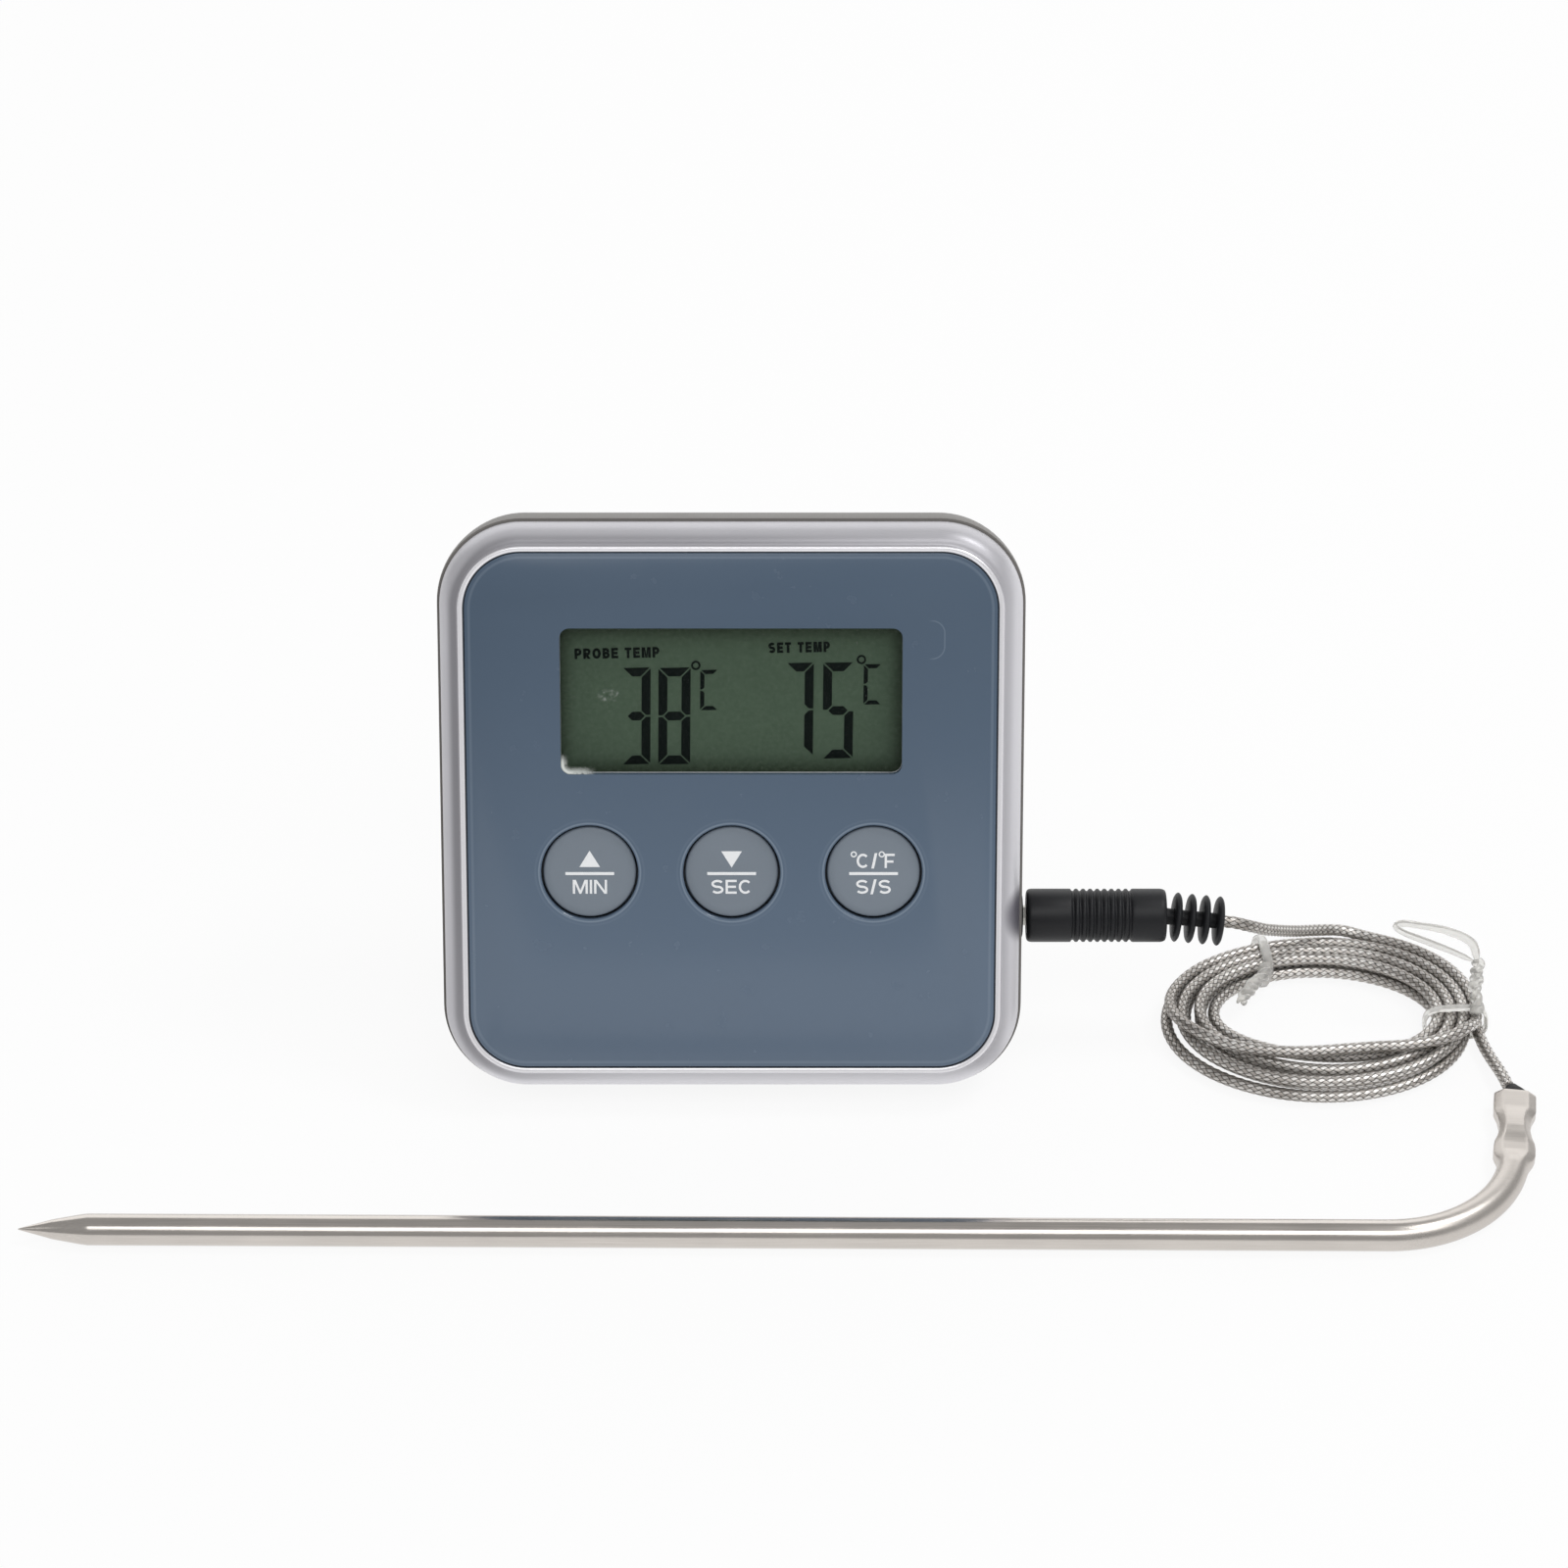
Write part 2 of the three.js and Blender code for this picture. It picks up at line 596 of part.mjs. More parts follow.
function lcdFrame() {
  const outerWidth = LCD_WIDTH + 2 * (FRAME_RAIL + SEAT);
  const outerHeight = LCD_TOP - LCD_BOTTOM + 2 * (FRAME_RAIL + SEAT);
  const middle = (LCD_TOP + LCD_BOTTOM) / 2;
  const back = REFLECTOR_BACK;
  const ring = plate(roundedRect(outerWidth, outerHeight, 1.2, 0, middle), back, LCD_FRONT, 2);
  const opening = box(
    -LCD_WIDTH / 2 - SEAT,
    LCD_WIDTH / 2 + SEAT,
    LCD_BOTTOM - SEAT,
    LCD_TOP + SEAT,
    back - 1,
    LCD_FRONT + 1,
  );
  const saddleLow = LCD_BOTTOM - SEAT - FRAME_RAIL;
  const saddle = cut(
    box(
      -outerWidth / 2,
      outerWidth / 2,
      saddleLow,
      LCD_BOTTOM + LCD_LEDGE + SEAT,
      BOARD_FRONT + SEAT,
      back - SKIN,
    ),
    box(
      -ZEBRA_LENGTH / 2 - SEAT,
      ZEBRA_LENGTH / 2 + SEAT,
      ZEBRA_Y - ZEBRA_WIDTH / 2 - SEAT,
      ZEBRA_Y + ZEBRA_WIDTH / 2 + SEAT,
      BOARD_FRONT - 1,
      0,
    ),
  );
  const web = box(-outerWidth / 2, outerWidth / 2, saddleLow, LCD_BOTTOM - SEAT, BOARD_FRONT + 1, back);
  return join(cut(ring, opening), saddle, web);
}

function zebraStrip() {
  return box(
    -ZEBRA_LENGTH / 2,
    ZEBRA_LENGTH / 2,
    ZEBRA_Y - ZEBRA_WIDTH / 2,
    ZEBRA_Y + ZEBRA_WIDTH / 2,
    BOARD_FRONT + SKIN,
    LCD_MIDDLE - SKIN,
  );
}

// Circuit board and what is on it

const BOARD_HALF = POST_X + BOARD_SHANK / 2 + SEAT + BOARD_EDGE;
const BOARD_TOP = CELL_Y - CELL_SPACE / 2 - BATTERY_WALL - SEAT;
const BOARD_BOTTOM = JACK_Y - JACK_HEIGHT / 2 - 1;

// The board's upper corners are cut away round the case's posts.
function circuitBoard() {
  const through = (x, y, radius) => post(x, y, BOARD_BACK - 1, BOARD_FRONT + 1, radius, SMALL);
  const room = POST_DIAMETER / 2 + SEAT;
  const corners = [-1, 1].map((side) => {
    const [near, far] = [side * (POST_X - room), side * (BOARD_HALF + 1)];
    return box(Math.min(near, far), Math.max(near, far), CASE_SCREW_TOP[1] - room, BOARD_TOP + 1,
      BOARD_BACK - 1, BOARD_FRONT + 1);
  });
  return cut(
    box(-BOARD_HALF, BOARD_HALF, BOARD_BOTTOM, BOARD_TOP, BOARD_BACK, BOARD_FRONT),
    ...BOARD_SCREWS.map(([x, y]) => through(x, y, BOARD_SHANK / 2 + SEAT)),
    ...CASE_SCREWS.map(([x, y]) => through(x, y, room)),
    ...corners,
  );
}

function chipBlob() {
  const radius = 5;
  const height = 1.4;
  const rows = [];
  for (let i = 0; i <= 4; i += 1) {
    const angle = rad(18 * i);
    rows.push([height * Math.sin(angle), radius * Math.cos(angle)]);
  }
  const dome = turned(rows, ROUND).rotate([0, 90, 0]);
  return dome.translate([0, BUTTON_Y, BOARD_BACK - SKIN]);
}

const TACT_TOP = BOARD_FRONT + SKIN + TACT_HEIGHT;
const FLANGE_FRONT = FLOOR_BACK - SEAT;
const FLANGE_BACK = FLANGE_FRONT - BUTTON_FLANGE;
const STEM_END = TACT_TOP + BUTTON_TRAVEL + SKIN;

function buttonCap(x) {
  const rows = [
    [-BUTTON_RECESS, BUTTON_DIAMETER / 2 - 0.3],
    [-BUTTON_RECESS - 0.3, BUTTON_DIAMETER / 2],
    [FLANGE_FRONT, BUTTON_DIAMETER / 2],
    [FLANGE_FRONT, FLOOR_HOLE / 2 + 0.6],
    [FLANGE_BACK, FLOOR_HOLE / 2 + 0.6],
    [FLANGE_BACK, PLUNGER_DIAMETER / 2],
    [STEM_END, PLUNGER_DIAMETER / 2],
  ];
  const cap = turned(rows.map(([z, r]) => [-z, r]), FINE);
  return cap.rotate([0, 90, 0]).translate([x, BUTTON_Y, 0]);
}

function tactBody(x) {
  const half = TACT_SIZE / 2;
  const low = BOARD_FRONT + SKIN;
  return cut(
    box(x - half, x + half, BUTTON_Y - half, BUTTON_Y + half, low, TACT_TOP),
    post(x, BUTTON_Y, low + SEAT, TACT_TOP + 1, PLUNGER_DIAMETER / 2 + SLIDE, SMALL),
  );
}

function tactPlunger(x) {
  const bottom = BOARD_FRONT + SKIN + 2 * SEAT + BUTTON_TRAVEL;
  return post(x, BUTTON_Y, bottom, STEM_END - SKIN, PLUNGER_DIAMETER / 2, SMALL);
}

// Rear cover

function rearRows(offset) {
  const slope = Math.tan(rad(DRAFT));
  const centreZ = CASE_BACK + BACK_FILLET;
  const radius = BACK_FILLET - offset;
  const centreInset = -RIM_STEP + (RIM_Z - centreZ) * slope + BACK_FILLET / Math.cos(rad(DRAFT));
  const rows = [[-RIM_STEP + offset / Math.cos(rad(DRAFT)), RIM_Z]];
  const steps = 5;
  for (let i = 0; i <= steps; i += 1) {
    const angle = rad(DRAFT + ((90 - DRAFT) * i) / steps);
    rows.push([centreInset - radius * Math.cos(angle), centreZ - radius * Math.sin(angle)]);
  }
  return { rows, centreInset, centreZ };
}

function rearForm(offset, above = 0) {
  const { rows } = rearRows(offset);
  if (above) rows.unshift([rows[0][0], RIM_Z + above]);
  return caseLoft(rows.reverse());
}

const STAND_HALF = STAND_WIDTH / 2;
const HINGE_BLOCK = STAND_HALF + SLIDE + TRUNNION_LENGTH + 2 * SEAT;
const STOP_LENGTH = (HINGE_Z - RECESS_FLOOR + SEAT) / -Math.sin(rad(STAND_OPENING));
const RECESS_TOP = STAND_HINGE_Y + Math.hypot(STOP_LENGTH, STAND_THICK / 2) + SLIDE;
const BOSS_RADIUS = SCREW_HEAD / 2 + SEAT + 1;
const SWITCH_SLOT = KNOB_WIDTH + SWITCH_TRAVEL + 2 * SLIDE;
const KNOB_SIDES = [-SWITCH_X, SWITCH_X];
const MAGNET_SIDES = [-MAGNET_X, MAGNET_X];
const BUZZER_Y = (RECESS_TOP + WALL + DOOR_BOTTOM - SEAT - BATTERY_WALL) / 2;
const BUZZER_SLOTS = [-2, -1, 0, 1, 2];
const SLOT_PITCH = 2;
const SLOT_HEIGHT = 0.9;
const SLOT_LENGTH = 8;
const MAGNET_FLOOR = CASE_BACK - MAGNET_PROUD + MAGNET_THICK + SKIN;
const HEAD_BACK = CASE_BACK + SCREW_SUNK;
const HEAD_FRONT = HEAD_BACK + SCREW_HEAD_HEIGHT;

function rearAdditions(outer) {
  const inner = CASE_BACK + WALL - 0.2;
  const blockTop = RECESS_FLOOR + WALL;
  const cell = CELL_SPACE / 2 + BATTERY_WALL;
  const cellEnd = CELL_SPACE_HALF + BATTERY_WALL;
  const collar = DOOR_HALF + DOOR_RAIL + SEAT + BATTERY_WALL;
  const parts = [
    box(-HINGE_BLOCK, HINGE_BLOCK, -HALF, RECESS_TOP + WALL, CASE_BACK, blockTop).intersect(outer),
    box(-cellEnd, cellEnd, CELL_Y - cell, CELL_Y + cell, inner, ROOF_FRONT),
    box(-collar, collar, DOOR_BOTTOM - SEAT - BATTERY_WALL, HALF, inner,
      CELL_SPACE_BACK + SEAT + BATTERY_WALL).intersect(outer),
    ...MAGNET_SIDES.map((x) =>
      post(x, MAGNET_Y, inner, MAGNET_FLOOR + WALL, MAGNET_DIAMETER / 2 + SEAT + 1)),
    ...CASE_SCREWS.map(([x, y]) =>
      post(x, y, CASE_BACK, HEAD_FRONT + SEAT + WALL, BOSS_RADIUS).intersect(outer)),
    ...CASE_SCREWS.map(([x, y]) => post(x, y, inner, -POST_DEPTH - SEAT, POST_DIAMETER / 2)),
  ];
  return join(...parts);
}

function rearCuts() {
  const beyond = CASE_BACK - 1;
  const railOuter = DOOR_HALF + DOOR_RAIL + SEAT;
  const railFront = CELL_SPACE_BACK + SEAT;
  const slots = BUZZER_SLOTS.map((i) => {
    const half = SLOT_LENGTH / 2 - Math.abs(i);
    const y = BUZZER_Y + SLOT_PITCH * i;
    return box(-half, half, y - SLOT_HEIGHT / 2, y + SLOT_HEIGHT / 2, beyond, CASE_BACK + WALL + 0.1);
  });
  return [
    box(-CELL_SPACE_HALF, CELL_SPACE_HALF, CELL_Y - CELL_SPACE / 2, CELL_Y + CELL_SPACE / 2,
      CELL_SPACE_BACK - 0.1, CELL_SPACE_FRONT),
    box(-DOOR_HALF - SEAT, DOOR_HALF + SEAT, DOOR_BOTTOM - SEAT, HALF + 2, beyond, railFront),
    box(-railOuter, railOuter, DOOR_BOTTOM - SEAT, HALF + 2,
      CELL_SPACE_BACK - DOOR_RAIL_THICK - SEAT, railFront),
    box(-STAND_HALF - SLIDE, STAND_HALF + SLIDE, -HALF - 2, RECESS_TOP, beyond, RECESS_FLOOR),
    rod(-HINGE_BLOCK + SEAT, HINGE_BLOCK - SEAT, STAND_HINGE_Y, HINGE_Z,
      TRUNNION_DIAMETER / 2 + SLIDE, SMALL),
    ...MAGNET_SIDES.map((x) => post(x, MAGNET_Y, beyond, MAGNET_FLOOR, MAGNET_DIAMETER / 2 + SKIN, FINE)),
    ...KNOB_SIDES.map((x) =>
      plate(roundedRect(SWITCH_SLOT, KNOB_HEIGHT + 2 * SLIDE, 0.8, x, SWITCH_Y),
        beyond, CASE_BACK + WALL + 0.1, 1)),
    ...CASE_SCREWS.map(([x, y]) => post(x, y, beyond, HEAD_FRONT + SEAT, SCREW_HEAD / 2 + SEAT)),
    ...CASE_SCREWS.map(([x, y]) => post(x, y, beyond, -POST_DEPTH, PILOT_RADIUS, SMALL)),
    rod(HALF - 8, HALF + 2, JACK_Y, JACK_Z, JACK_NOSE_DIAMETER / 2 + SEAT, ROUND),
    ...slots,
  ];
}

function rearCover() {
  const outer = rearForm(0);
  const shell = outer.subtract(rearForm(WALL, 1));
  return cut(join(shell, rearAdditions(outer)), ...rearCuts());
}

// Battery, its contacts and its door

function batteryCell() {
  const half = CELL_LENGTH / 2;
  const rows = [
    [-half, 3.4],
    [-half + 0.3, CELL_DIAMETER / 2],
    [half - 1.1, CELL_DIAMETER / 2],
    [half - 0.9, CELL_DIAMETER / 2 - 0.6],
    [half - 0.9, 1.8],
    [half, 1.7],
  ];
  return turned(rows, FINE).translate([CELL_X, CELL_Y, CELL_Z]);
}

const CELL_X = SPRING_LENGTH / 2;
const CELL_LEFT = CELL_X - CELL_LENGTH / 2;
const CELL_RIGHT = CELL_X + CELL_LENGTH / 2;

function batterySpring() {
  const steps = 8;
  const total = Math.round(SPRING_TURNS * steps);
  const run = CELL_LEFT - SEAT / 2 - SPRING_WIRE - (-CELL_SPACE_HALF + CONTACT_THICK + SKIN);
  const rings = [];
  for (let i = 0; i <= total; i += 1) {
    const angle = (2 * Math.PI * i) / steps;
    const radius = 3.6 - (1.4 * i) / total;
    const x = -CELL_SPACE_HALF + CONTACT_THICK + SKIN + SPRING_WIRE / 2 + (run * i) / total;
    const centre = new THREE.Vector3(x, radius * Math.cos(angle), radius * Math.sin(angle));
    const outward = new THREE.Vector3(0, Math.cos(angle), Math.sin(angle));
    const wire = [SPRING_WIRE / 2, SPRING_WIRE / 2];
    rings.push(sectionRing(centre, outward, new THREE.Vector3(-1, 0, 0), wire, 6));
  }
  const coil = loft(rings);
  const plateX = -CELL_SPACE_HALF + SKIN;
  const tab = box(plateX, plateX + CONTACT_THICK, -4, 4, -4, 4);
  const foot = box(plateX, plateX + CONTACT_THICK + SKIN + SPRING_WIRE, 3.1, 4, -0.4, 0.4);
  return join(coil, tab, foot).translate([0, CELL_Y, CELL_Z]);
}

function batteryPlate() {
  const x = CELL_SPACE_HALF - SKIN - CONTACT_THICK;
  const tab = box(x, x + CONTACT_THICK, CELL_Y - 4, CELL_Y + 4, CELL_Z - 4, CELL_Z + 4);
  const dimple = rod(CELL_RIGHT + SKIN, x + SKIN, CELL_Y, CELL_Z, 1.2, SMALL, 2);
  return join(tab, dimple);
}

function batteryDoor() {
  const slab = rearForm(0).intersect(
    box(-DOOR_HALF, DOOR_HALF, DOOR_BOTTOM, HALF, CASE_BACK - 1, CELL_SPACE_BACK),
  );
  const rails = rearForm(0).intersect(
    box(-DOOR_HALF - DOOR_RAIL, DOOR_HALF + DOOR_RAIL, DOOR_BOTTOM, HALF,
      CELL_SPACE_BACK - DOOR_RAIL_THICK, CELL_SPACE_BACK),
  );
  const grooves = Array.from({ length: GRIP_GROOVES }, (_, i) => {
    const y = DOOR_BOTTOM + 3 + 1.6 * i;
    return box(-6, 6, y - 0.4, y + 0.4, CASE_BACK - 1, CASE_BACK + 0.5);
  });
  return cut(join(slab, rails), ...grooves);
}

// Stand, in a frame whose origin is the hinge axis, with the folded foot along -y

function standLength(restHeight) {
  const hingeHeight = restHeight + STAND_HINGE_Y * Math.cos(rad(LEAN)) + HINGE_Z * Math.sin(rad(LEAN));
  return (hingeHeight - STAND_THICK / 2) / Math.cos(rad(STAND_OPENING - LEAN));
}

function standFoot(length) {
  const half = STAND_THICK / 2;
  const profile = [];
  for (let i = 0; i <= 6; i += 1) {
    const angle = rad(30 * i);
    profile.push([half * Math.sin(angle), half * Math.cos(angle)]);
  }
  for (let i = 0; i <= 6; i += 1) {
    const angle = rad(180 + 30 * i);
    profile.push([-length + half * Math.sin(angle), half * Math.cos(angle)]);
  }
  const body = slice(profile, -STAND_HALF, STAND_HALF);
  const stop = box(-STAND_HALF, STAND_HALF, 0, STOP_LENGTH, -half, 0);
  const trunnions = rod(
    -STAND_HALF - TRUNNION_LENGTH,
    STAND_HALF + TRUNNION_LENGTH,
    0,
    0,
    TRUNNION_DIAMETER / 2,
    SMALL,
  );
  const window = plate(roundedRect(STAND_WIDTH * 0.5, length * 0.36, 3, 0, -length * 0.48), -3, 3, 4);
  const notch = post(0, -length - 3.6, -3, 3, 6, ROUND);
  const ribs = [-1, 1].map((side) => {
    const x = side * (STAND_HALF - 2.6);
    return box(x - 0.5, x + 0.5, -length + 2, -2, 0, half + 0.35);
  });
  return cut(join(body, stop, trunnions, ...ribs), window, notch);
}

// Magnets, buzzer, switches and screws

function magnet(x) {
  const back = CASE_BACK - MAGNET_PROUD;
  return post(x, MAGNET_Y, back, back + MAGNET_THICK, MAGNET_DIAMETER / 2, FINE);
}

function buzzerDisc() {
  const back = CASE_BACK + WALL + SEAT;
  return post(0, BUZZER_Y, back, back + BUZZER_THICK, BUZZER_DIAMETER / 2, FINE);
}

const SWITCH_BODY_BACK = BOARD_BACK - SKIN - 4.5;

function switchBody(x) {
  return box(x - 4.3, x + 4.3, SWITCH_Y - 2.2, SWITCH_Y + 2.2, SWITCH_BODY_BACK, BOARD_BACK - SKIN);
}

// A knob rests at the left end of its slot and slides to the right.
function switchKnob(x) {
  const left = x - SWITCH_TRAVEL / 2;
  const half = KNOB_WIDTH / 2;
  const flangeBack = CASE_BACK + WALL + SEAT;
  const stem = box(
    left - half,
    left + half,
    SWITCH_Y - KNOB_HEIGHT / 2,
    SWITCH_Y + KNOB_HEIGHT / 2,
    CASE_BACK + 0.3,
    SWITCH_BODY_BACK - SEAT,
  );
  const flange = box(
    left - half - 1.6,
    left + half + 1.6,
    SWITCH_Y - 2.4,
    SWITCH_Y + 2.4,
    flangeBack,
    flangeBack + 0.8,
  );
  const groove = box(left - 0.3, left + 0.3, SWITCH_Y - 3, SWITCH_Y + 3, CASE_BACK, CASE_BACK + 0.6);
  return cut(join(stem, flange), groove);
}

// A pan-head screw pointing to the front, its head's back face at z.
function screw(x, y, z, headRadius, headHeight, shankRadius, tip) {
  const rows = [
    [0, headRadius - 0.4],
    [0.3, headRadius],
    [headHeight, headRadius],
    [headHeight, shankRadius],
    [tip - z - 1, shankRadius],
    [tip - z, 0.2],
  ];
  const made = turned(rows, SMALL).rotate([0, -90, 0]).translate([x, y, z]);
  const slot = headRadius * 0.62;
  return cut(
    made,
    box(x - slot, x + slot, y - 0.3, y + 0.3, z - 1, z + 0.6),
    box(x - 0.3, x + 0.3, y - slot, y + slot, z - 1, z + 0.6),
  );
}

// Jack

const BORE = PLUG_DIAMETER / 2 + SLIDE;
const JACK_RIGHT = HALF - WALL - 1.9;

function jackBody() {
  const left = JACK_RIGHT - JACK_LENGTH;
  const half = JACK_HEIGHT / 2;
  const block = box(left, JACK_RIGHT, JACK_Y - half, JACK_Y + half, JACK_Z - half, JACK_Z + half);
  const nose = turned([
    [JACK_RIGHT - 0.5, half - SKIN],
    [JACK_RIGHT, half - SKIN],
    [JACK_RIGHT, JACK_NOSE_DIAMETER / 2],
    [HALF, JACK_NOSE_DIAMETER / 2],
    [NOSE_END, PLUG_DIAMETER / 2 + SLIDE + 0.35],
  ]).translate([0, JACK_Y, JACK_Z]);
  const windows = JACK_LEAVES.map((x) =>
    box(x - 1.3, x + 1.3, JACK_Y - 1, JACK_Y + 1, JACK_Z - half - 1, JACK_Z));
  return cut(join(block, nose), rod(left + 1, NOSE_END + 1, JACK_Y, JACK_Z, BORE), ...windows);
}

const JACK_LEAVES = [JACK_RIGHT - TIP_LEAF, JACK_RIGHT - GROUND_LEAF];

// A bent leaf that closes the window in the jack's back and presses towards the plug.
function jackLeaf(x) {
  const base = JACK_Z - JACK_HEIGHT / 2;
  const crest = JACK_Z - PLUG_DIAMETER / 2 - SEAT;
  const leaf = new THREE.Shape();
  leaf.moveTo(-1.1, base);
  leaf.lineTo(1.1, base);
  leaf.lineTo(1.1, base + 0.3);
  leaf.lineTo(0.8, base + 0.3);
  leaf.lineTo(0.3, crest);
  leaf.lineTo(-0.3, crest);
  leaf.lineTo(-0.6, crest - 0.4);
  leaf.lineTo(0.2, base + 0.3);
  leaf.lineTo(-1.1, base + 0.3);
  leaf.closePath();
  const geometry = new THREE.ExtrudeGeometry(leaf, { depth: 1.4, bevelEnabled: false });
  return solid(geometry.rotateX(Math.PI / 2)).translate([x, JACK_Y + 0.7, 0]);
}

// Plug, along x from the handle back into the jack

const PLUG_TIP_X = HANDLE_START - PLUG_LENGTH;
const INSULATOR_X = PLUG_TIP_X + 3.6;
const SLEEVE_X = INSULATOR_X + 0.6;
const placePlug = (made) => made.translate([0, JACK_Y, JACK_Z]);

function plugTip() {
  const r = PLUG_DIAMETER / 2;
  return placePlug(turned([
    [PLUG_TIP_X, 0.25],
    [PLUG_TIP_X + 0.9, r * 0.86],
    [PLUG_TIP_X + 1.6, r * 0.9],
    [PLUG_TIP_X + 2.2, r * 0.62],
    [PLUG_TIP_X + 2.6, r * 0.62],
    [PLUG_TIP_X + 3.0, r],
    [INSULATOR_X - SKIN, r],
    [INSULATOR_X - SKIN, 0.4],
    [HANDLE_START - SKIN, 0.4],
  ], SMALL));
}

function plugInsulator() {
  const r = PLUG_DIAMETER / 2;
  const outside = turned([
    [INSULATOR_X, r],
    [SLEEVE_X - SKIN, r],
    [SLEEVE_X - SKIN, 0.75],
    [HANDLE_START - SKIN, 0.75],
  ], SMALL);
  return placePlug(cut(outside, rod(INSULATOR_X - 1, HANDLE_START + 1, 0, 0, 0.4 + SKIN, SMALL)));
}

function plugSleeve() {
  const r = PLUG_DIAMETER / 2;
  return placePlug(cut(
    turned([[SLEEVE_X, r - 0.1], [SLEEVE_X + 0.1, r], [HANDLE_START - SKIN, r]], ROUND),
    rod(SLEEVE_X - 1, HANDLE_START + 1, 0, 0, 0.75 + SKIN, SMALL),
  ));
}

function plugHandle() {
  const r = HANDLE_DIAMETER / 2;
  const rows = [
    [0, r * 0.62],
    [0.25, r * 0.9],
    [0.8, r],
    [GROOVES_FROM, r],
  ];
  for (let i = 0; i < HANDLE_GROOVES; i += 1) {
    const from = GROOVES_FROM + i * GROOVE_PITCH;
    rows.push([from + GROOVE_PITCH * 0.35, r - GROOVE_DEPTH]);
    rows.push([from + GROOVE_PITCH * 0.7, r]);
    if (i < HANDLE_GROOVES - 1) rows.push([from + GROOVE_PITCH, r]);
  }
  rows.push([HANDLE_LENGTH - 0.5, r]);
  rows.push([HANDLE_LENGTH, r - 0.5]);
  return placePlug(turned(rows, ROUND).translate([HANDLE_START, 0, 0]));
}

// Strain relief, along x from a point inside the handle's end

function strainRelief() {
  const core = RELIEF_CORE / 2;
  const fin = RELIEF_FIN / 2;
  const rows = [[RELIEF_PIVOT + SEAT, core * 1.1]];
  for (let i = 0; i < RELIEF_FINS; i += 1) {
    const end = RELIEF_PIVOT + FIN_PITCH * (i + 1);
    const start = end - FIN_THICK;
    rows.push([start, core]);
    rows.push([start, fin - 0.25]);
    rows.push([(start + end) / 2, fin]);
    rows.push([end, fin - 0.25]);
    if (i < RELIEF_FINS - 1) rows.push([end, core]);
  }
  return turned(rows, ROUND);
}

// Probe: stations along its centre line, from the tip to the crimped mouth

function probePoint(s) {
  const bendStart = PROBE_STRAIGHT;
  const arc = rad(PROBE_BEND) * PROBE_BEND_RADIUS;
  if (s <= bendStart) return new THREE.Vector3(s, 0, 0);
  const turn = Math.min((s - bendStart) / PROBE_BEND_RADIUS, rad(PROBE_BEND));
  const x = bendStart + PROBE_BEND_RADIUS * Math.sin(turn);
  const y = PROBE_BEND_RADIUS * (1 - Math.cos(turn));
  const rest = Math.max(s - bendStart - arc, 0);
  return new THREE.Vector3(x + rest * Math.cos(turn), y + rest * Math.sin(turn), 0);
}

const PROBE_LENGTH = PROBE_STRAIGHT + rad(PROBE_BEND) * PROBE_BEND_RADIUS + PROBE_LEG;

// Half width and half height of the tube, from the tip and back from the mouth.
function probeSize(s) {
  const r = PROBE_DIAMETER / 2;
  const wide = CRIMP_WIDTH / 2;
  const flat = CRIMP_THICK / 2;
  const tip = [[0, 0.15], [1.2, 0.55], [PROBE_POINT * 0.5, r * 0.68], [PROBE_POINT, r]];
  const mouth = [
    [0, wide, flat],
    [3.6, wide * 0.98, flat],
    [5.2, r * 1.04, r * 0.9],
    [6.8, r * 0.94, r * 0.96],
    [8.6, r * 1.12, r * 0.86],
    [10.0, wide * 0.97, flat],
    [12.2, wide * 0.96, flat],
    [14.2, r, r],
  ];
  if (s <= PROBE_POINT) {
    const i = tip.findIndex(([at]) => at >= s);
    if (i <= 0) return [tip[0][1], tip[0][1]];
    const k = (s - tip[i - 1][0]) / (tip[i][0] - tip[i - 1][0]);
    const size = tip[i - 1][1] + k * (tip[i][1] - tip[i - 1][1]);
    return [size, size];
  }
  const back = PROBE_LENGTH - s;
  const j = mouth.findIndex(([at]) => at >= back);
  if (j < 0) return [r, r];
  if (j === 0) return [wide, flat];
  const k = (back - mouth[j - 1][0]) / (mouth[j][0] - mouth[j - 1][0]);
  return [1, 2].map((n) => mouth[j - 1][n] + k * (mouth[j][n] - mouth[j - 1][n]));
}

function probeStations(from, to) {
  const bendEnd = PROBE_STRAIGHT + rad(PROBE_BEND) * PROBE_BEND_RADIUS;
  const marks = [0, 1.2, PROBE_POINT * 0.5, PROBE_POINT];
  [0, 1, 2, 3, 4, 5, 6, 7].forEach((i) => {
    marks.push(PROBE_STRAIGHT + ((bendEnd - PROBE_STRAIGHT) * i) / 9);
  });
  [0, 3.6, 5.2, 6.8, 8.6, 10.0, 12.2, 14.2].forEach((back) => marks.push(PROBE_LENGTH - back));
  const inside = marks.filter((s) => s > from + 0.3 && s < to - 0.3);
  return [from, ...inside, to].sort((a, b) => a - b);
}

function probeLoft(from, to, size, sides) {
  const stations = probeStations(from, to);
  const rings = stations.map((s) => {
    const ahead = probePoint(s + 0.05).sub(probePoint(s - 0.05)).normalize();
    const side = new THREE.Vector3(0, 0, 1).cross(ahead).normalize();
    return sectionRing(probePoint(s), side, new THREE.Vector3(0, 0, 1), size(s), sides);
  });
  return loft(rings);
}

function probeTube() {
  const wall = (s) => probeSize(s).map((half) => half - PROBE_WALL);
  const outside = probeLoft(0, PROBE_LENGTH, probeSize, ROUND);
  return outside.subtract(probeLoft(PROBE_POINT, PROBE_LENGTH + 1, wall, SMALL));
}

const BEAD_LENGTH = 3;
const BEAD_START = PROBE_POINT + SEAT;

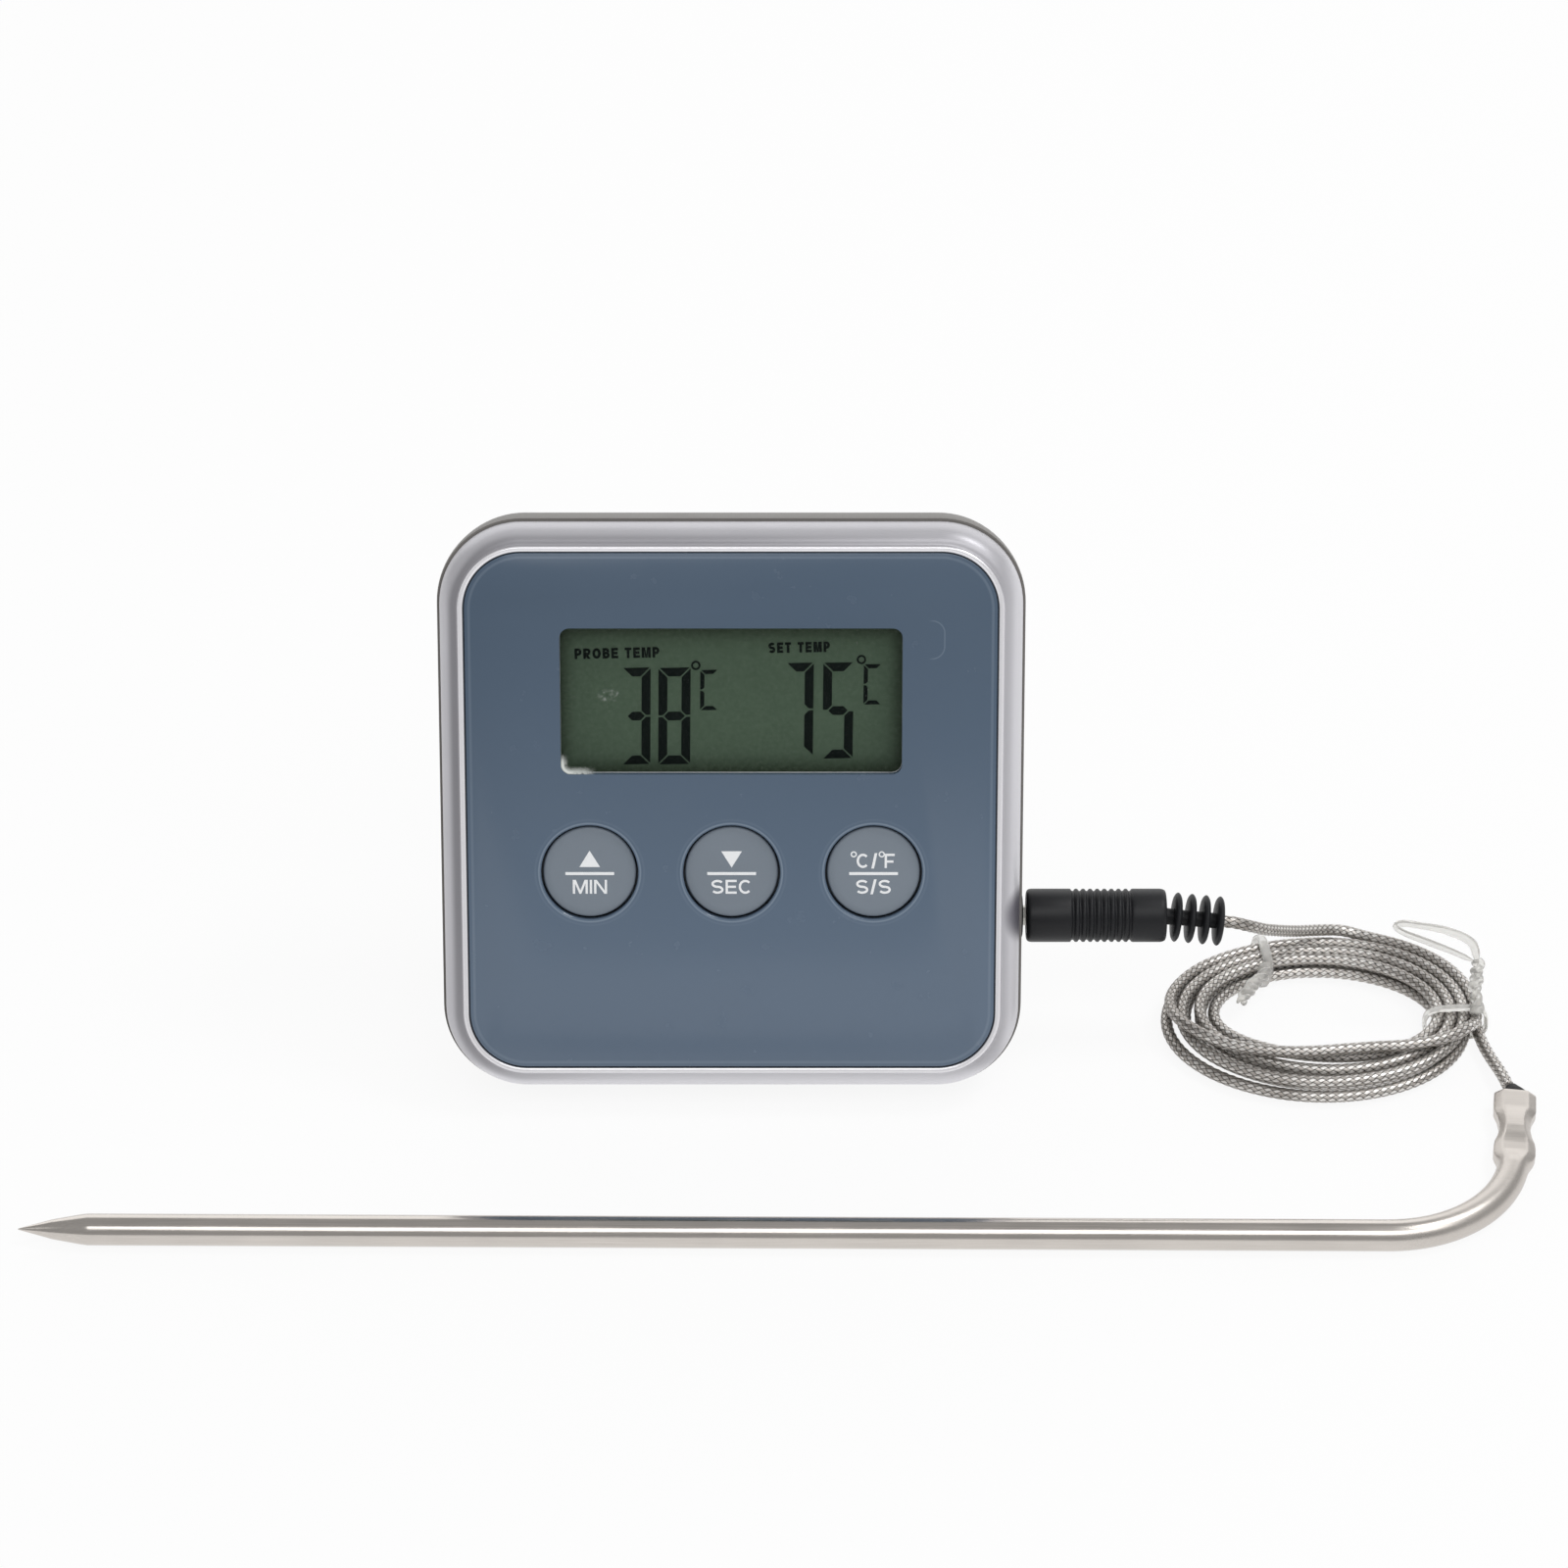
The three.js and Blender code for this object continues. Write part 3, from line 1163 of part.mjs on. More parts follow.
function thermistorBead() {
  const rows = [];
  for (let i = 0; i <= 5; i += 1) {
    const angle = rad(15 + 30 * i);
    rows.push([BEAD_START + (BEAD_LENGTH / 2) * (1 - Math.cos(angle)), 1.15 * Math.sin(angle)]);
  }
  return turned(rows, SMALL);
}

function sensorWires() {
  const start = BEAD_START + BEAD_LENGTH + SEAT;
  return probeLoft(start, PROBE_LENGTH - 2.6, () => [0.6, 0.6], 6);
}

// The seal starts inside the mouth, and outside it swings round to face the cord.
function probeSeal() {
  const point = probePoint(PROBE_LENGTH);
  const [wide, flat] = [CRIMP_WIDTH / 2 - PROBE_WALL - SEAT, CRIMP_THICK / 2 - PROBE_WALL - SEAT];
  const rows = [
    [-2.2, wide, flat, PROBE_BEND],
    [2.3, wide, flat, PROBE_BEND],
    [0.2, wide + 0.2, flat + 0.4, PROBE_BEND],
    [SEAL_LENGTH * 0.5, CORD * 0.95, CORD * 0.75, SEAL_FACING],
    [SEAL_LENGTH * 0.35, CORD * 0.6, CORD * 0.55, SEAL_FACING],
  ];
  const up = new THREE.Vector3(0, 0, 1);
  const rings = rows.map(([step, a, b, facing]) => {
    const ahead = new THREE.Vector3(Math.cos(rad(facing)), Math.sin(rad(facing)), 0);
    point.addScaledVector(ahead, step);
    return sectionRing(point, up.clone().cross(ahead), up, [a, b], SMALL);
  });
  return loft(rings);
}

// Cord

const COIL_LOW = TIE_THICK + TIE_ROOM + CORD / 2 + SKIN / 4;
const COIL_HIGH = COIL_LOW + COIL_PITCH * (COIL_LAYERS - 1);
const COIL_SWEEP = COIL_START - COIL_END + 360 * COIL_TURNS;

// The coil winds clockwise seen from above: in along the upper layer, down a layer in the half
// turn about the middle of its run, and out again along the lower layer.
function coilPoint(degrees) {
  const gone = degrees / 360;
  const half = COIL_SWEEP / 720;
  const inward = COIL_PITCH * (gone < half ? gone : 2 * half - gone);
  const fall = THREE.MathUtils.clamp((gone - half + 0.25) / 0.5, 0, 1);
  const angle = rad(COIL_START - degrees);
  return new THREE.Vector3(
    COIL_CENTRE[0] + (COIL_OUTER[0] - inward) * Math.cos(angle),
    COIL_CENTRE[1] + (COIL_OUTER[1] - inward) * Math.sin(angle),
    COIL_HIGH + (COIL_LOW - COIL_HIGH) * THREE.MathUtils.smoothstep(fall, 0, 1),
  );
}

function coilPoints() {
  const step = 15;
  const points = [];
  for (let d = 0; d <= COIL_SWEEP; d += step) points.push(coilPoint(d));
  if (COIL_SWEEP % step > 2) points.push(coilPoint(COIL_SWEEP));
  const [first, second] = points;
  const [last, previous] = [points.at(-1), points.at(-2)];
  points.unshift(first.clone().addScaledVector(first.clone().sub(second).normalize(), CORD));
  points.push(last.clone().addScaledVector(last.clone().sub(previous).normalize(), CORD));
  return points;
}

// Least distance between strands a quarter turn or more apart, less the cord's diameter.
function leastGap(points) {
  let least = Infinity;
  const segment = new THREE.Line3();
  const foot = new THREE.Vector3();
  points.forEach((point, i) => {
    for (let j = i + 6; j < points.length - 1; j += 1) {
      segment.set(points[j], points[j + 1]).closestPointToPoint(point, true, foot);
      least = Math.min(least, foot.distanceTo(point));
    }
  });
  return least - CORD;
}

function lengthOf(points) {
  return points.slice(1).reduce((sum, point, i) => sum + point.distanceTo(points[i]), 0);
}

const vectors = (rows) => rows.map(([x, y, z]) => new THREE.Vector3(x, y, z));
const coilRoute = coilPoints();
const leadRoute = vectors(LEAD_POINTS);
const tailRoute = vectors(TAIL_POINTS);

// Twist ties: a flat band round the bundle with a twisted end.

const COIL_INNER = COIL_OUTER.map((axis) => axis - (COIL_PITCH * COIL_SWEEP) / 720);

function onCoil(axes, degrees) {
  const x = COIL_CENTRE[0] + axes[0] * Math.cos(rad(degrees));
  const y = COIL_CENTRE[1] + axes[1] * Math.sin(rad(degrees));
  return new THREE.Vector3(x, y, (COIL_LOW + COIL_HIGH) / 2);
}

// The band crosses the bundle from one angle on its outside to another on its inside.
function tieBand(outerDegrees, innerDegrees) {
  const [outer, inner] = [onCoil(COIL_OUTER, outerDegrees), onCoil(COIL_INNER, innerDegrees)];
  const centre = outer.clone().lerp(inner, 0.5);
  const across = outer.clone().sub(inner).normalize();
  const up = new THREE.Vector3(0, 0, 1);
  const along = up.clone().cross(across);
  const clear = CORD / 2 + TIE_ROOM + TIE_THICK / 2;
  const reach = outer.distanceTo(inner) / 2 + clear + TIE_ROOM;
  const rise = (COIL_HIGH - COIL_LOW) / 2 + clear;
  const squared = (value) => Math.sign(value) * Math.abs(value) ** 0.45;
  const rings = Array.from({ length: TIE_STEPS }, (_, i) => {
    const turn = (2 * Math.PI * i) / TIE_STEPS;
    const point = centre
      .clone()
      .addScaledVector(across, reach * squared(Math.cos(turn)))
      .addScaledVector(up, rise * squared(Math.sin(turn)));
    const outward = point.clone().sub(centre);
    outward.addScaledVector(across, -outward.dot(across) * 0.75).normalize();
    return sectionRing(point, outward, along, [TIE_THICK / 2, TIE_WIDTH / 2], 6);
  });
  return loft(rings, true);
}

// A twisted stretch of tie: a flattened section that turns as it goes.
function tieTwist(points, turns) {
  const path = new THREE.CatmullRomCurve3(vectors(points));
  const steps = 4 * Math.ceil(turns * 2);
  const rings = [];
  for (let i = 0; i <= steps; i += 1) {
    const t = i / steps;
    const ahead = path.getTangent(t);
    const side = new THREE.Vector3(0.3, 0.5, 1).cross(ahead).normalize();
    const up = ahead.clone().cross(side);
    const angle = 2 * Math.PI * turns * t;
    const turnedSide = side.clone().multiplyScalar(Math.cos(angle)).addScaledVector(up, Math.sin(angle));
    const turnedUp = ahead.clone().cross(turnedSide);
    const size = [TIE_WIDTH * 0.62, TIE_WIDTH * 0.34];
    rings.push(sectionRing(path.getPoint(t), turnedSide, turnedUp, size, 6));
  }
  return loft(rings);
}

const LEFT_TWIST = [
  [68.0, 24.5, 4.0],
  [67.2, 23.6, 3.7],
  [66.0, 22.3, 3.5],
  [64.6, 20.6, 3.4],
  [63.8, 19.2, 2.6],
];
const RIGHT_TWIST = [
  [92.9, 16.2, 4.2],
  [93.3, 17.2, 5.2],
  [92.7, 18.0, 6.6],
  [92.9, 18.6, 8.5],
  [93.1, 18.9, 10.0],
];
const RIGHT_LOOP = [
  [92.9, 18.9, 9.8],
  [92.3, 20.1, 11.5],
  [89.7, 21.0, 12.6],
  [86.2, 21.5, 13.2],
  [83.2, 21.6, 13.5],
  [83.6, 21.0, 13.0],
  [86.6, 19.7, 12.1],
  [89.7, 19.0, 11.1],
  [92.3, 18.7, 10.0],
];
const LEFT_TIE = [109, 121]; // degrees on the bundle's outside and inside
const RIGHT_TIE = [-5, -8];

// Assembly

const caseSlope = rearRows(0);
const restHeight = BACK_FILLET
  - (-HALF + caseSlope.centreInset) * Math.cos(rad(LEAN))
  - caseSlope.centreZ * Math.sin(rad(LEAN));

const model = new THREE.Group();
const unit = new THREE.Group();
unit.rotation.x = rad(90 - LEAN);
unit.position.set(0, HALF * Math.sin(rad(LEAN)), restHeight);
model.add(unit);

addPiece(unit, 'front_bezel', frontBezel(), SATIN_SILVER);
addPiece(unit, 'face_panel', facePanel(), BLUE_GREY);
addPiece(unit, 'panel_adhesive', panelAdhesive(), TAPE);
addPiece(unit, 'lcd_cell', lcdCell(), DISPLAY_GREEN);
addPiece(unit, 'lcd_reflector', lcdReflector(), FILM);
addPiece(unit, 'lcd_frame', lcdFrame(), WHITE_PLASTIC);
addPiece(unit, 'zebra_strip', zebraStrip(), RUBBER);
addPiece(unit, 'circuit_board', circuitBoard(), BOARD_GREEN);
addPiece(unit, 'chip_blob', chipBlob(), CHIP_BLACK);

const BUTTON_NAMES = ['up_minutes', 'down_seconds', 'units_start'];
BUTTON_NAMES.forEach((name, i) => {
  addPiece(unit, `button_${name}`, buttonCap(BUTTON_XS[i]), BUTTON_GREY);
  addPiece(unit, `tact_body_${i + 1}`, tactBody(BUTTON_XS[i]), BLACK_PLASTIC);
  addPiece(unit, `tact_plunger_${i + 1}`, tactPlunger(BUTTON_XS[i]), WHITE_PLASTIC);
});

addPiece(unit, 'rear_cover', rearCover(), GREY_SHELL);
addPiece(unit, 'battery_cell', batteryCell(), CELL_JACKET);
addPiece(unit, 'battery_spring', batterySpring(), NICKEL);
addPiece(unit, 'battery_plate', batteryPlate(), NICKEL);
addPiece(unit, 'battery_door', batteryDoor(), GREY_SHELL);
addPiece(unit, 'magnet_left', magnet(-MAGNET_X), NICKEL);
addPiece(unit, 'magnet_right', magnet(MAGNET_X), NICKEL);
addPiece(unit, 'buzzer_disc', buzzerDisc(), BRASS);
addPiece(unit, 'power_switch_body', switchBody(-SWITCH_X), BLACK_PLASTIC);
addPiece(unit, 'power_switch_knob', switchKnob(-SWITCH_X), BLACK_PLASTIC);
addPiece(unit, 'mode_switch_body', switchBody(SWITCH_X), BLACK_PLASTIC);
addPiece(unit, 'mode_switch_knob', switchKnob(SWITCH_X), BLACK_PLASTIC);
CASE_SCREWS.forEach(([x, y], i) => {
  const made = screw(x, y, HEAD_BACK, SCREW_HEAD / 2, SCREW_HEAD_HEIGHT, SCREW_SHANK / 2, FLOOR_BACK - 1.5);
  addPiece(unit, `case_screw_${i + 1}`, made, NICKEL);
});
BOARD_SCREWS.forEach(([x, y], i) => {
  const made = screw(x, y, BOARD_BACK - SKIN - 1.2, 1.9, 1.2, BOARD_SHANK / 2, FLOOR_BACK - 0.8);
  addPiece(unit, `board_screw_${i + 1}`, made, NICKEL);
});

const hinge = new THREE.Group();
hinge.position.set(0, STAND_HINGE_Y, HINGE_Z);
hinge.rotation.x = rad(STAND_OPENING);
unit.add(hinge);
addPiece(hinge, 'stand', standFoot(standLength(restHeight)), GREY_SHELL);

addPiece(unit, 'jack_body', jackBody(), BLACK_PLASTIC);
addPiece(unit, 'jack_tip_spring', jackLeaf(JACK_LEAVES[0]), BRASS);
addPiece(unit, 'jack_ground_spring', jackLeaf(JACK_LEAVES[1]), BRASS);
addPiece(unit, 'plug_tip', plugTip(), NICKEL);
addPiece(unit, 'plug_insulator', plugInsulator(), CHIP_BLACK);
addPiece(unit, 'plug_sleeve', plugSleeve(), NICKEL);
addPiece(unit, 'plug_handle', plugHandle(), BLACK_PLASTIC);

unit.updateMatrixWorld(true);
const relief = new THREE.Group();
const pivotX = HANDLE_START + HANDLE_LENGTH - RELIEF_PIVOT;
relief.position.copy(unit.localToWorld(new THREE.Vector3(pivotX, JACK_Y, JACK_Z)));
relief.rotation.y = rad(RELIEF_DROOP);
model.add(relief);
addPiece(relief, 'strain_relief', strainRelief(), BLACK_PLASTIC);

const probe = new THREE.Group();
probe.position.set(PROBE_TIP[0], PROBE_TIP[1], PROBE_DIAMETER / 2);
probe.rotation.z = rad(PROBE_TURN);
model.add(probe);
addPiece(probe, 'probe_tube', probeTube(), STEEL);
addPiece(probe, 'thermistor_bead', thermistorBead(), EPOXY);
addPiece(probe, 'sensor_wires', sensorWires(), WIRE_SLEEVE);
addPiece(probe, 'probe_seal', probeSeal(), RUBBER);

addPiece(model, 'cord_lead', tubeAlong(leadRoute, CORD / 2, 8, 12), BRAID);
addPiece(model, 'cord_coil', levelTube(coilRoute, () => [CORD / 2, CORD / 2], 6), BRAID);
addPiece(model, 'cord_tail', tubeAlong(tailRoute, CORD / 2, 8, 4), BRAID);
addPiece(model, 'twist_tie_left', join(tieBand(...LEFT_TIE), tieTwist(LEFT_TWIST, 3)), CLEAR_TIE);
addPiece(
  model,
  'twist_tie_right',
  join(
    tieBand(...RIGHT_TIE),
    tieTwist(RIGHT_TWIST, 2.5),
    tubeAlong(vectors(RIGHT_LOOP), TIE_WIDTH * 0.4, 6, 20),
  ),
  CLEAR_TIE,
);

// The origin is on the table, under the middle of the unit and its probe.
const CORD_PIECES = ['cord_', 'twist_', 'plug_', 'strain_'];
const footprint = new THREE.Box3();
model.updateMatrixWorld(true);
model.traverse((item) => {
  const onCord = CORD_PIECES.some((start) => item.name.startsWith(start));
  if (item.isMesh && !onCord) footprint.expandByObject(item, true);
});
const middle = footprint.getCenter(new THREE.Vector3());
model.position.set(-middle.x, -middle.y, -footprint.min.z);

console.log(`least gap between the coil's strands: ${leastGap(coilRoute).toFixed(2)} mm`);
const cordLength = lengthOf(leadRoute) + lengthOf(coilRoute) + lengthOf(tailRoute);
console.log(`cord length: ${cordLength.toFixed(0)} mm`);

export default model;
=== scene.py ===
# %% [markdown]
# # A kitchen thermometer with a plug-in probe
#
# The object is a 70 mm square display unit that leans back on a fold-out stand. A black plug in
# its right side holds a braided steel lead, which lies in a tied bundle and ends in a bent
# needle probe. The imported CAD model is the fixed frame. This script dresses it: it puts smoother,
# more detailed pieces over the visible solids and gives every solid a finish made of nodes.

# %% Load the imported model
import math

import bmesh
import bpy
import numpy as np
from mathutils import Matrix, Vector


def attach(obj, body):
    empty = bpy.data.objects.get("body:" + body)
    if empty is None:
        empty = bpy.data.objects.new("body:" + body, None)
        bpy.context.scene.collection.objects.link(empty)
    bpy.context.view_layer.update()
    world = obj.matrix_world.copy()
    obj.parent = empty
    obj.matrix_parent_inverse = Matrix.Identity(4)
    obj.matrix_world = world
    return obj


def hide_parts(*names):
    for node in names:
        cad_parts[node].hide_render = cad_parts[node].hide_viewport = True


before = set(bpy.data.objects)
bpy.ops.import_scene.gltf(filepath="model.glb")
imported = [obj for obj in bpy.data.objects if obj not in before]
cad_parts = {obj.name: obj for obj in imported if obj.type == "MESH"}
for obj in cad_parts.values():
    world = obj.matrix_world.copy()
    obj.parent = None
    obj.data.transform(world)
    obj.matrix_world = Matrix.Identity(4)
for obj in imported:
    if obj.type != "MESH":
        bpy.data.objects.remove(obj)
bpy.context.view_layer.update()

# %% [markdown]
# ## Two drawings and one frame
#
# The unit was drawn flat: x to the right, y up its face, z out of it, from the middle of the
# panel's surface. The probe and the cord were drawn on the table. Both drawings are in
# millimetres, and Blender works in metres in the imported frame. One function for each drawing
# turns its numbers into that frame, so every size below can be read off the real thing.

# %% From the drawings to the frame
MM = 0.001
LEAN = math.radians(21.5)
TABLE_SHIFT = np.array([-7.189853, -7.269205, 0.0])
UNIT_ORIGIN = np.array([-7.189853, 5.558338, 36.628395])
UP_THE_FACE = np.array([0.0, math.sin(LEAN), math.cos(LEAN)])
OUT_OF_FACE = np.array([0.0, -math.cos(LEAN), math.sin(LEAN)])


def on_table(points):
    return (np.asarray(points, float) + TABLE_SHIFT) * MM


def on_unit(points):
    p = np.asarray(points, float)
    across = np.array([1.0, 0.0, 0.0])
    placed = p[..., :1] * across + p[..., 1:2] * UP_THE_FACE + p[..., 2:3] * OUT_OF_FACE
    return (placed + UNIT_ORIGIN) * MM


print("middle of the face", on_unit([0, 0, 0]))

# %% [markdown]
# ## Camera
#
# The photograph looks down at 35 degrees, straight on, from a little over half a metre, which a
# 105 mm lens shows as a nearly parallel view. The numbers were found by fitting the corners of
# the panel, the buttons and the probe's ends to their places in the picture.

# %% Camera
SENSOR, LENS, LOOK_DOWN = 36, 105.09, 35
EYE = (-0.000862, -0.44385, 0.35562)

camera_data = bpy.data.cameras.new("camera")
camera_data.sensor_fit = "HORIZONTAL"
camera_data.sensor_width = SENSOR
camera_data.lens = LENS
camera = bpy.data.objects.new("camera", camera_data)
camera.location = EYE
camera.rotation_euler = (math.radians(90 - LOOK_DOWN), 0, 0)
bpy.context.scene.collection.objects.link(camera)
bpy.context.scene.camera = camera
bpy.context.scene.view_settings.view_transform = "Standard"
print("camera at", tuple(round(v, 3) for v in camera.location))

# %% [markdown]
# ## The cord's route
#
# The braided lead is one piece of cable, 0.7 m long and 1.45 mm thick. It leaves the plug,
# drops behind the bundle, runs seven times round and comes out at the probe. A curve object
# could carry it, but the braid needs its own rings and a map round and along it, so the route is
# a row of points here and the tube is built on it later. The points come from the CAD drawing.
#
# A hand-wound bundle is never even. The two ties pull its strands together, and on the long
# way round between them each turn lies where it fell. The first turn even climbs over the others
# and crosses them. So the even spiral of the drawing gets a small shift for each turn.

# %% Points along the cord
CORD = 1.45
LEAD_POINTS = [
    (60.1, 16.98, 17.37), (62.0, 17.0, 17.1), (63.4, 17.3, 16.5), (64.8, 18.3, 15.4),
    (66.2, 20.0, 13.8), (67.6, 22.1, 12.1), (69.0, 24.4, 10.3), (70.4, 26.6, 8.6),
    (71.8, 28.6, 7.1), (73.2, 30.3, 5.9), (74.6, 31.7, 4.9), (76.0, 32.7, 4.2),
    (77.3, 33.2, 3.8), (78.6, 33.3, 3.5), (79.8, 33.0, 3.3),
]
TAIL_POINTS = [
    (93.4, 13.85, 1.35), (93.6, 12.5, 1.35), (93.88, 11.1, 1.4), (94.22, 9.6, 1.5),
    (94.58, 8.1, 1.65), (94.92, 6.6, 1.8), (95.22, 5.2, 1.88), (95.45, 3.75, 1.92),
]
COIL_CENTRE = np.array([73.9, 17.45])
COIL_OUTER = np.array([20.15, 16.0])
COIL_PITCH, TIED_PITCH = 1.95, 1.56
COIL_SWEEP = 2595
COIL_START = 68
COIL_LOW, COIL_HIGH, TIED_HIGH = 1.35, 3.30, 2.97
RIGHT_TIE, LONG_WAY = 74, 239
STRAY = (0.0, 1.6, 0.35, -0.95, -0.5, 0.15, 1.35, 0.0)
TOP_STRAY = (1.0, 0.75, 0.4, 0.1, -0.1, 0.25, 0.6, 0.9)
WAVER, WAVER_LENGTH, WAVER_SHIFT = 0.16, 23, 2.1
CROSSING = ((0, 2.49), (72, -2.7), (178, 2.5), (LONG_WAY, 1.455))
CLIMB, CLIMB_BY, DOWN_FROM, DOWN_BY = 1.55, 22, 150, 196
DRAWN_BY, HALF_FALL = 60, 0.25


def ease(value, start, end):
    """Rises smoothly from 0 to 1 as the value goes from start to end."""
    share = min(max((value - start) / (end - start), 0.0), 1.0)
    return share * share * (3 - 2 * share)


def crossing_turn(along):
    """Where the first turn lies across the bundle as it climbs over the others."""
    for (a, low), (b, high) in zip(CROSSING[:-1], CROSSING[1:]):
        if along <= b:
            return low + (high - low) * ease(along, a, b)
    return CROSSING[-1][1]


def coil_point(degrees):
    """The bundle: in along the upper layer, down a layer half way, out along the lower one."""
    gone, half = degrees / 360, COIL_SWEEP / 720
    strand = gone if gone < half else 2 * half - gone
    fall = ease(gone, half - HALF_FALL, half + HALF_FALL)
    drawn = ease(degrees, 0, DRAWN_BY)
    pitch = COIL_PITCH + (TIED_PITCH - COIL_PITCH) * drawn
    turn, along = divmod(degrees - RIGHT_TIE, 360)
    outward = (half / 2 - strand) * pitch
    rise = 0.0
    if turn == 0 and along < LONG_WAY:
        outward = crossing_turn(along)
        rise = CLIMB * ease(along, 0, CLIMB_BY) * (1 - ease(along, DOWN_FROM, DOWN_BY))
    elif along < LONG_WAY:
        loose = math.sin(math.pi * along / LONG_WAY) ** 2
        waver = WAVER * math.sin(along / WAVER_LENGTH + WAVER_SHIFT * turn)
        outward += loose * (STRAY[int(turn)] + waver)
    else:
        loose = math.sin(math.pi * (along - LONG_WAY) / (360 - LONG_WAY)) ** 2
        outward += loose * TOP_STRAY[int(turn) + 1] * drawn
    angle = math.radians(COIL_START - degrees)
    inward = COIL_PITCH * half / 2 - outward
    return (
        COIL_CENTRE[0] + (COIL_OUTER[0] - inward) * math.cos(angle),
        COIL_CENTRE[1] + (COIL_OUTER[1] - inward) * math.sin(angle),
        COIL_LOW + (COIL_HIGH + (TIED_HIGH - COIL_HIGH) * drawn - COIL_LOW) * (1 - fall) + rise,
    )


def part_way(a, b, start, end, t):
    return (end - t) / (end - start) * a + (t - start) / (end - start) * b


def smooth_line(points, step):
    """Points at even steps along a centripetal Catmull-Rom curve, and the curve's length."""
    p = np.asarray(points, float)
    p = np.vstack([2 * p[0] - p[1], p, 2 * p[-1] - p[-2]])
    dense = []
    for p0, p1, p2, p3 in zip(p[:-3], p[1:-2], p[2:-1], p[3:]):
        gaps = [max(np.linalg.norm(b - a), 1e-6) ** 0.5 for a, b in ((p0, p1), (p1, p2), (p2, p3))]
        t0, t1, t2, t3 = np.cumsum([0.0] + gaps)
        pieces = max(4, int(np.linalg.norm(p2 - p1) / step) + 2)
        for t in np.linspace(t1, t2, pieces, endpoint=False):
            middle = part_way(p1, p2, t1, t2, t)
            before = part_way(part_way(p0, p1, t0, t1, t), middle, t0, t2, t)
            after = part_way(middle, part_way(p2, p3, t2, t3, t), t1, t3, t)
            dense.append(part_way(before, after, t1, t2, t))
    dense = np.array(dense + [p[-2]])
    reach = np.concatenate([[0], np.cumsum(np.linalg.norm(np.diff(dense, axis=0), axis=1))])
    wanted = np.linspace(0, reach[-1], max(3, int(round(reach[-1] / step)) + 1))
    return np.column_stack([np.interp(wanted, reach, dense[:, k]) for k in range(3)]), reach[-1]


BRAID_PITCH, COIL_STEP = 1.1, 15
coil_points = [coil_point(d) for d in range(0, COIL_SWEEP, COIL_STEP)] + [coil_point(COIL_SWEEP)]
cord_line, cord_length = smooth_line(LEAD_POINTS + coil_points + TAIL_POINTS, BRAID_PITCH / 2)
print(f"cord {cord_length:.0f} mm in {len(cord_line)} rings")

# %% [markdown]
# ## Finishes
#
# A finish is a material with one Principled shader. Its pattern is arithmetic on the position,
# and nodes are wordy to write by hand, so a small class wraps an output socket and lets plain
# +, -, * and / make the nodes. Colours are mixed by Mix nodes and vectors by Vector Math.


# %% Arithmetic that makes nodes
def colour(red, green, blue):
    """A colour as a paint chart gives it, 0 to 255, in the linear values that Blender mixes."""
    def linear(v):
        v /= 255
        return v / 12.92 if v <= 0.04045 else ((v + 0.055) / 1.055) ** 2.4
    return (linear(red), linear(green), linear(blue), 1.0)


def link_object(name, data):
    item = bpy.data.objects.new(name, data)
    bpy.context.scene.collection.objects.link(item)
    return item


def maths(operation, swapped=False):
    """A method that makes one Math node of a wire and another value."""
    def method(wire, *others):
        values = [*others, wire] if swapped else [wire, *others]
        return wire.finish.node("ShaderNodeMath", {"operation": operation}, dict(enumerate(values)))
    return method


class Wire:
    """An output socket of a finish, on which arithmetic makes Math nodes."""

    def __init__(self, finish, socket):
        self.finish, self.socket = finish, socket

    __add__ = __radd__ = maths("ADD")
    __sub__ = maths("SUBTRACT")
    __rsub__ = maths("SUBTRACT", swapped=True)
    __mul__ = __rmul__ = maths("MULTIPLY")
    __truediv__ = maths("DIVIDE")
    __pow__ = maths("POWER")
    low = maths("MINIMUM")
    high = maths("MAXIMUM")
    size = maths("ABSOLUTE")
    sine = maths("SINE")
    part = maths("FRACT")
    whole = maths("FLOOR")

    def ramp(self, start, end, low=0.0, high=1.0):
        """Rises smoothly from low to high as the value goes from start to end."""
        return self.finish.node(
            "ShaderNodeMapRange", {"interpolation_type": "SMOOTHSTEP"},
            {"Value": self, "From Min": start, "From Max": end, "To Min": low, "To Max": high})


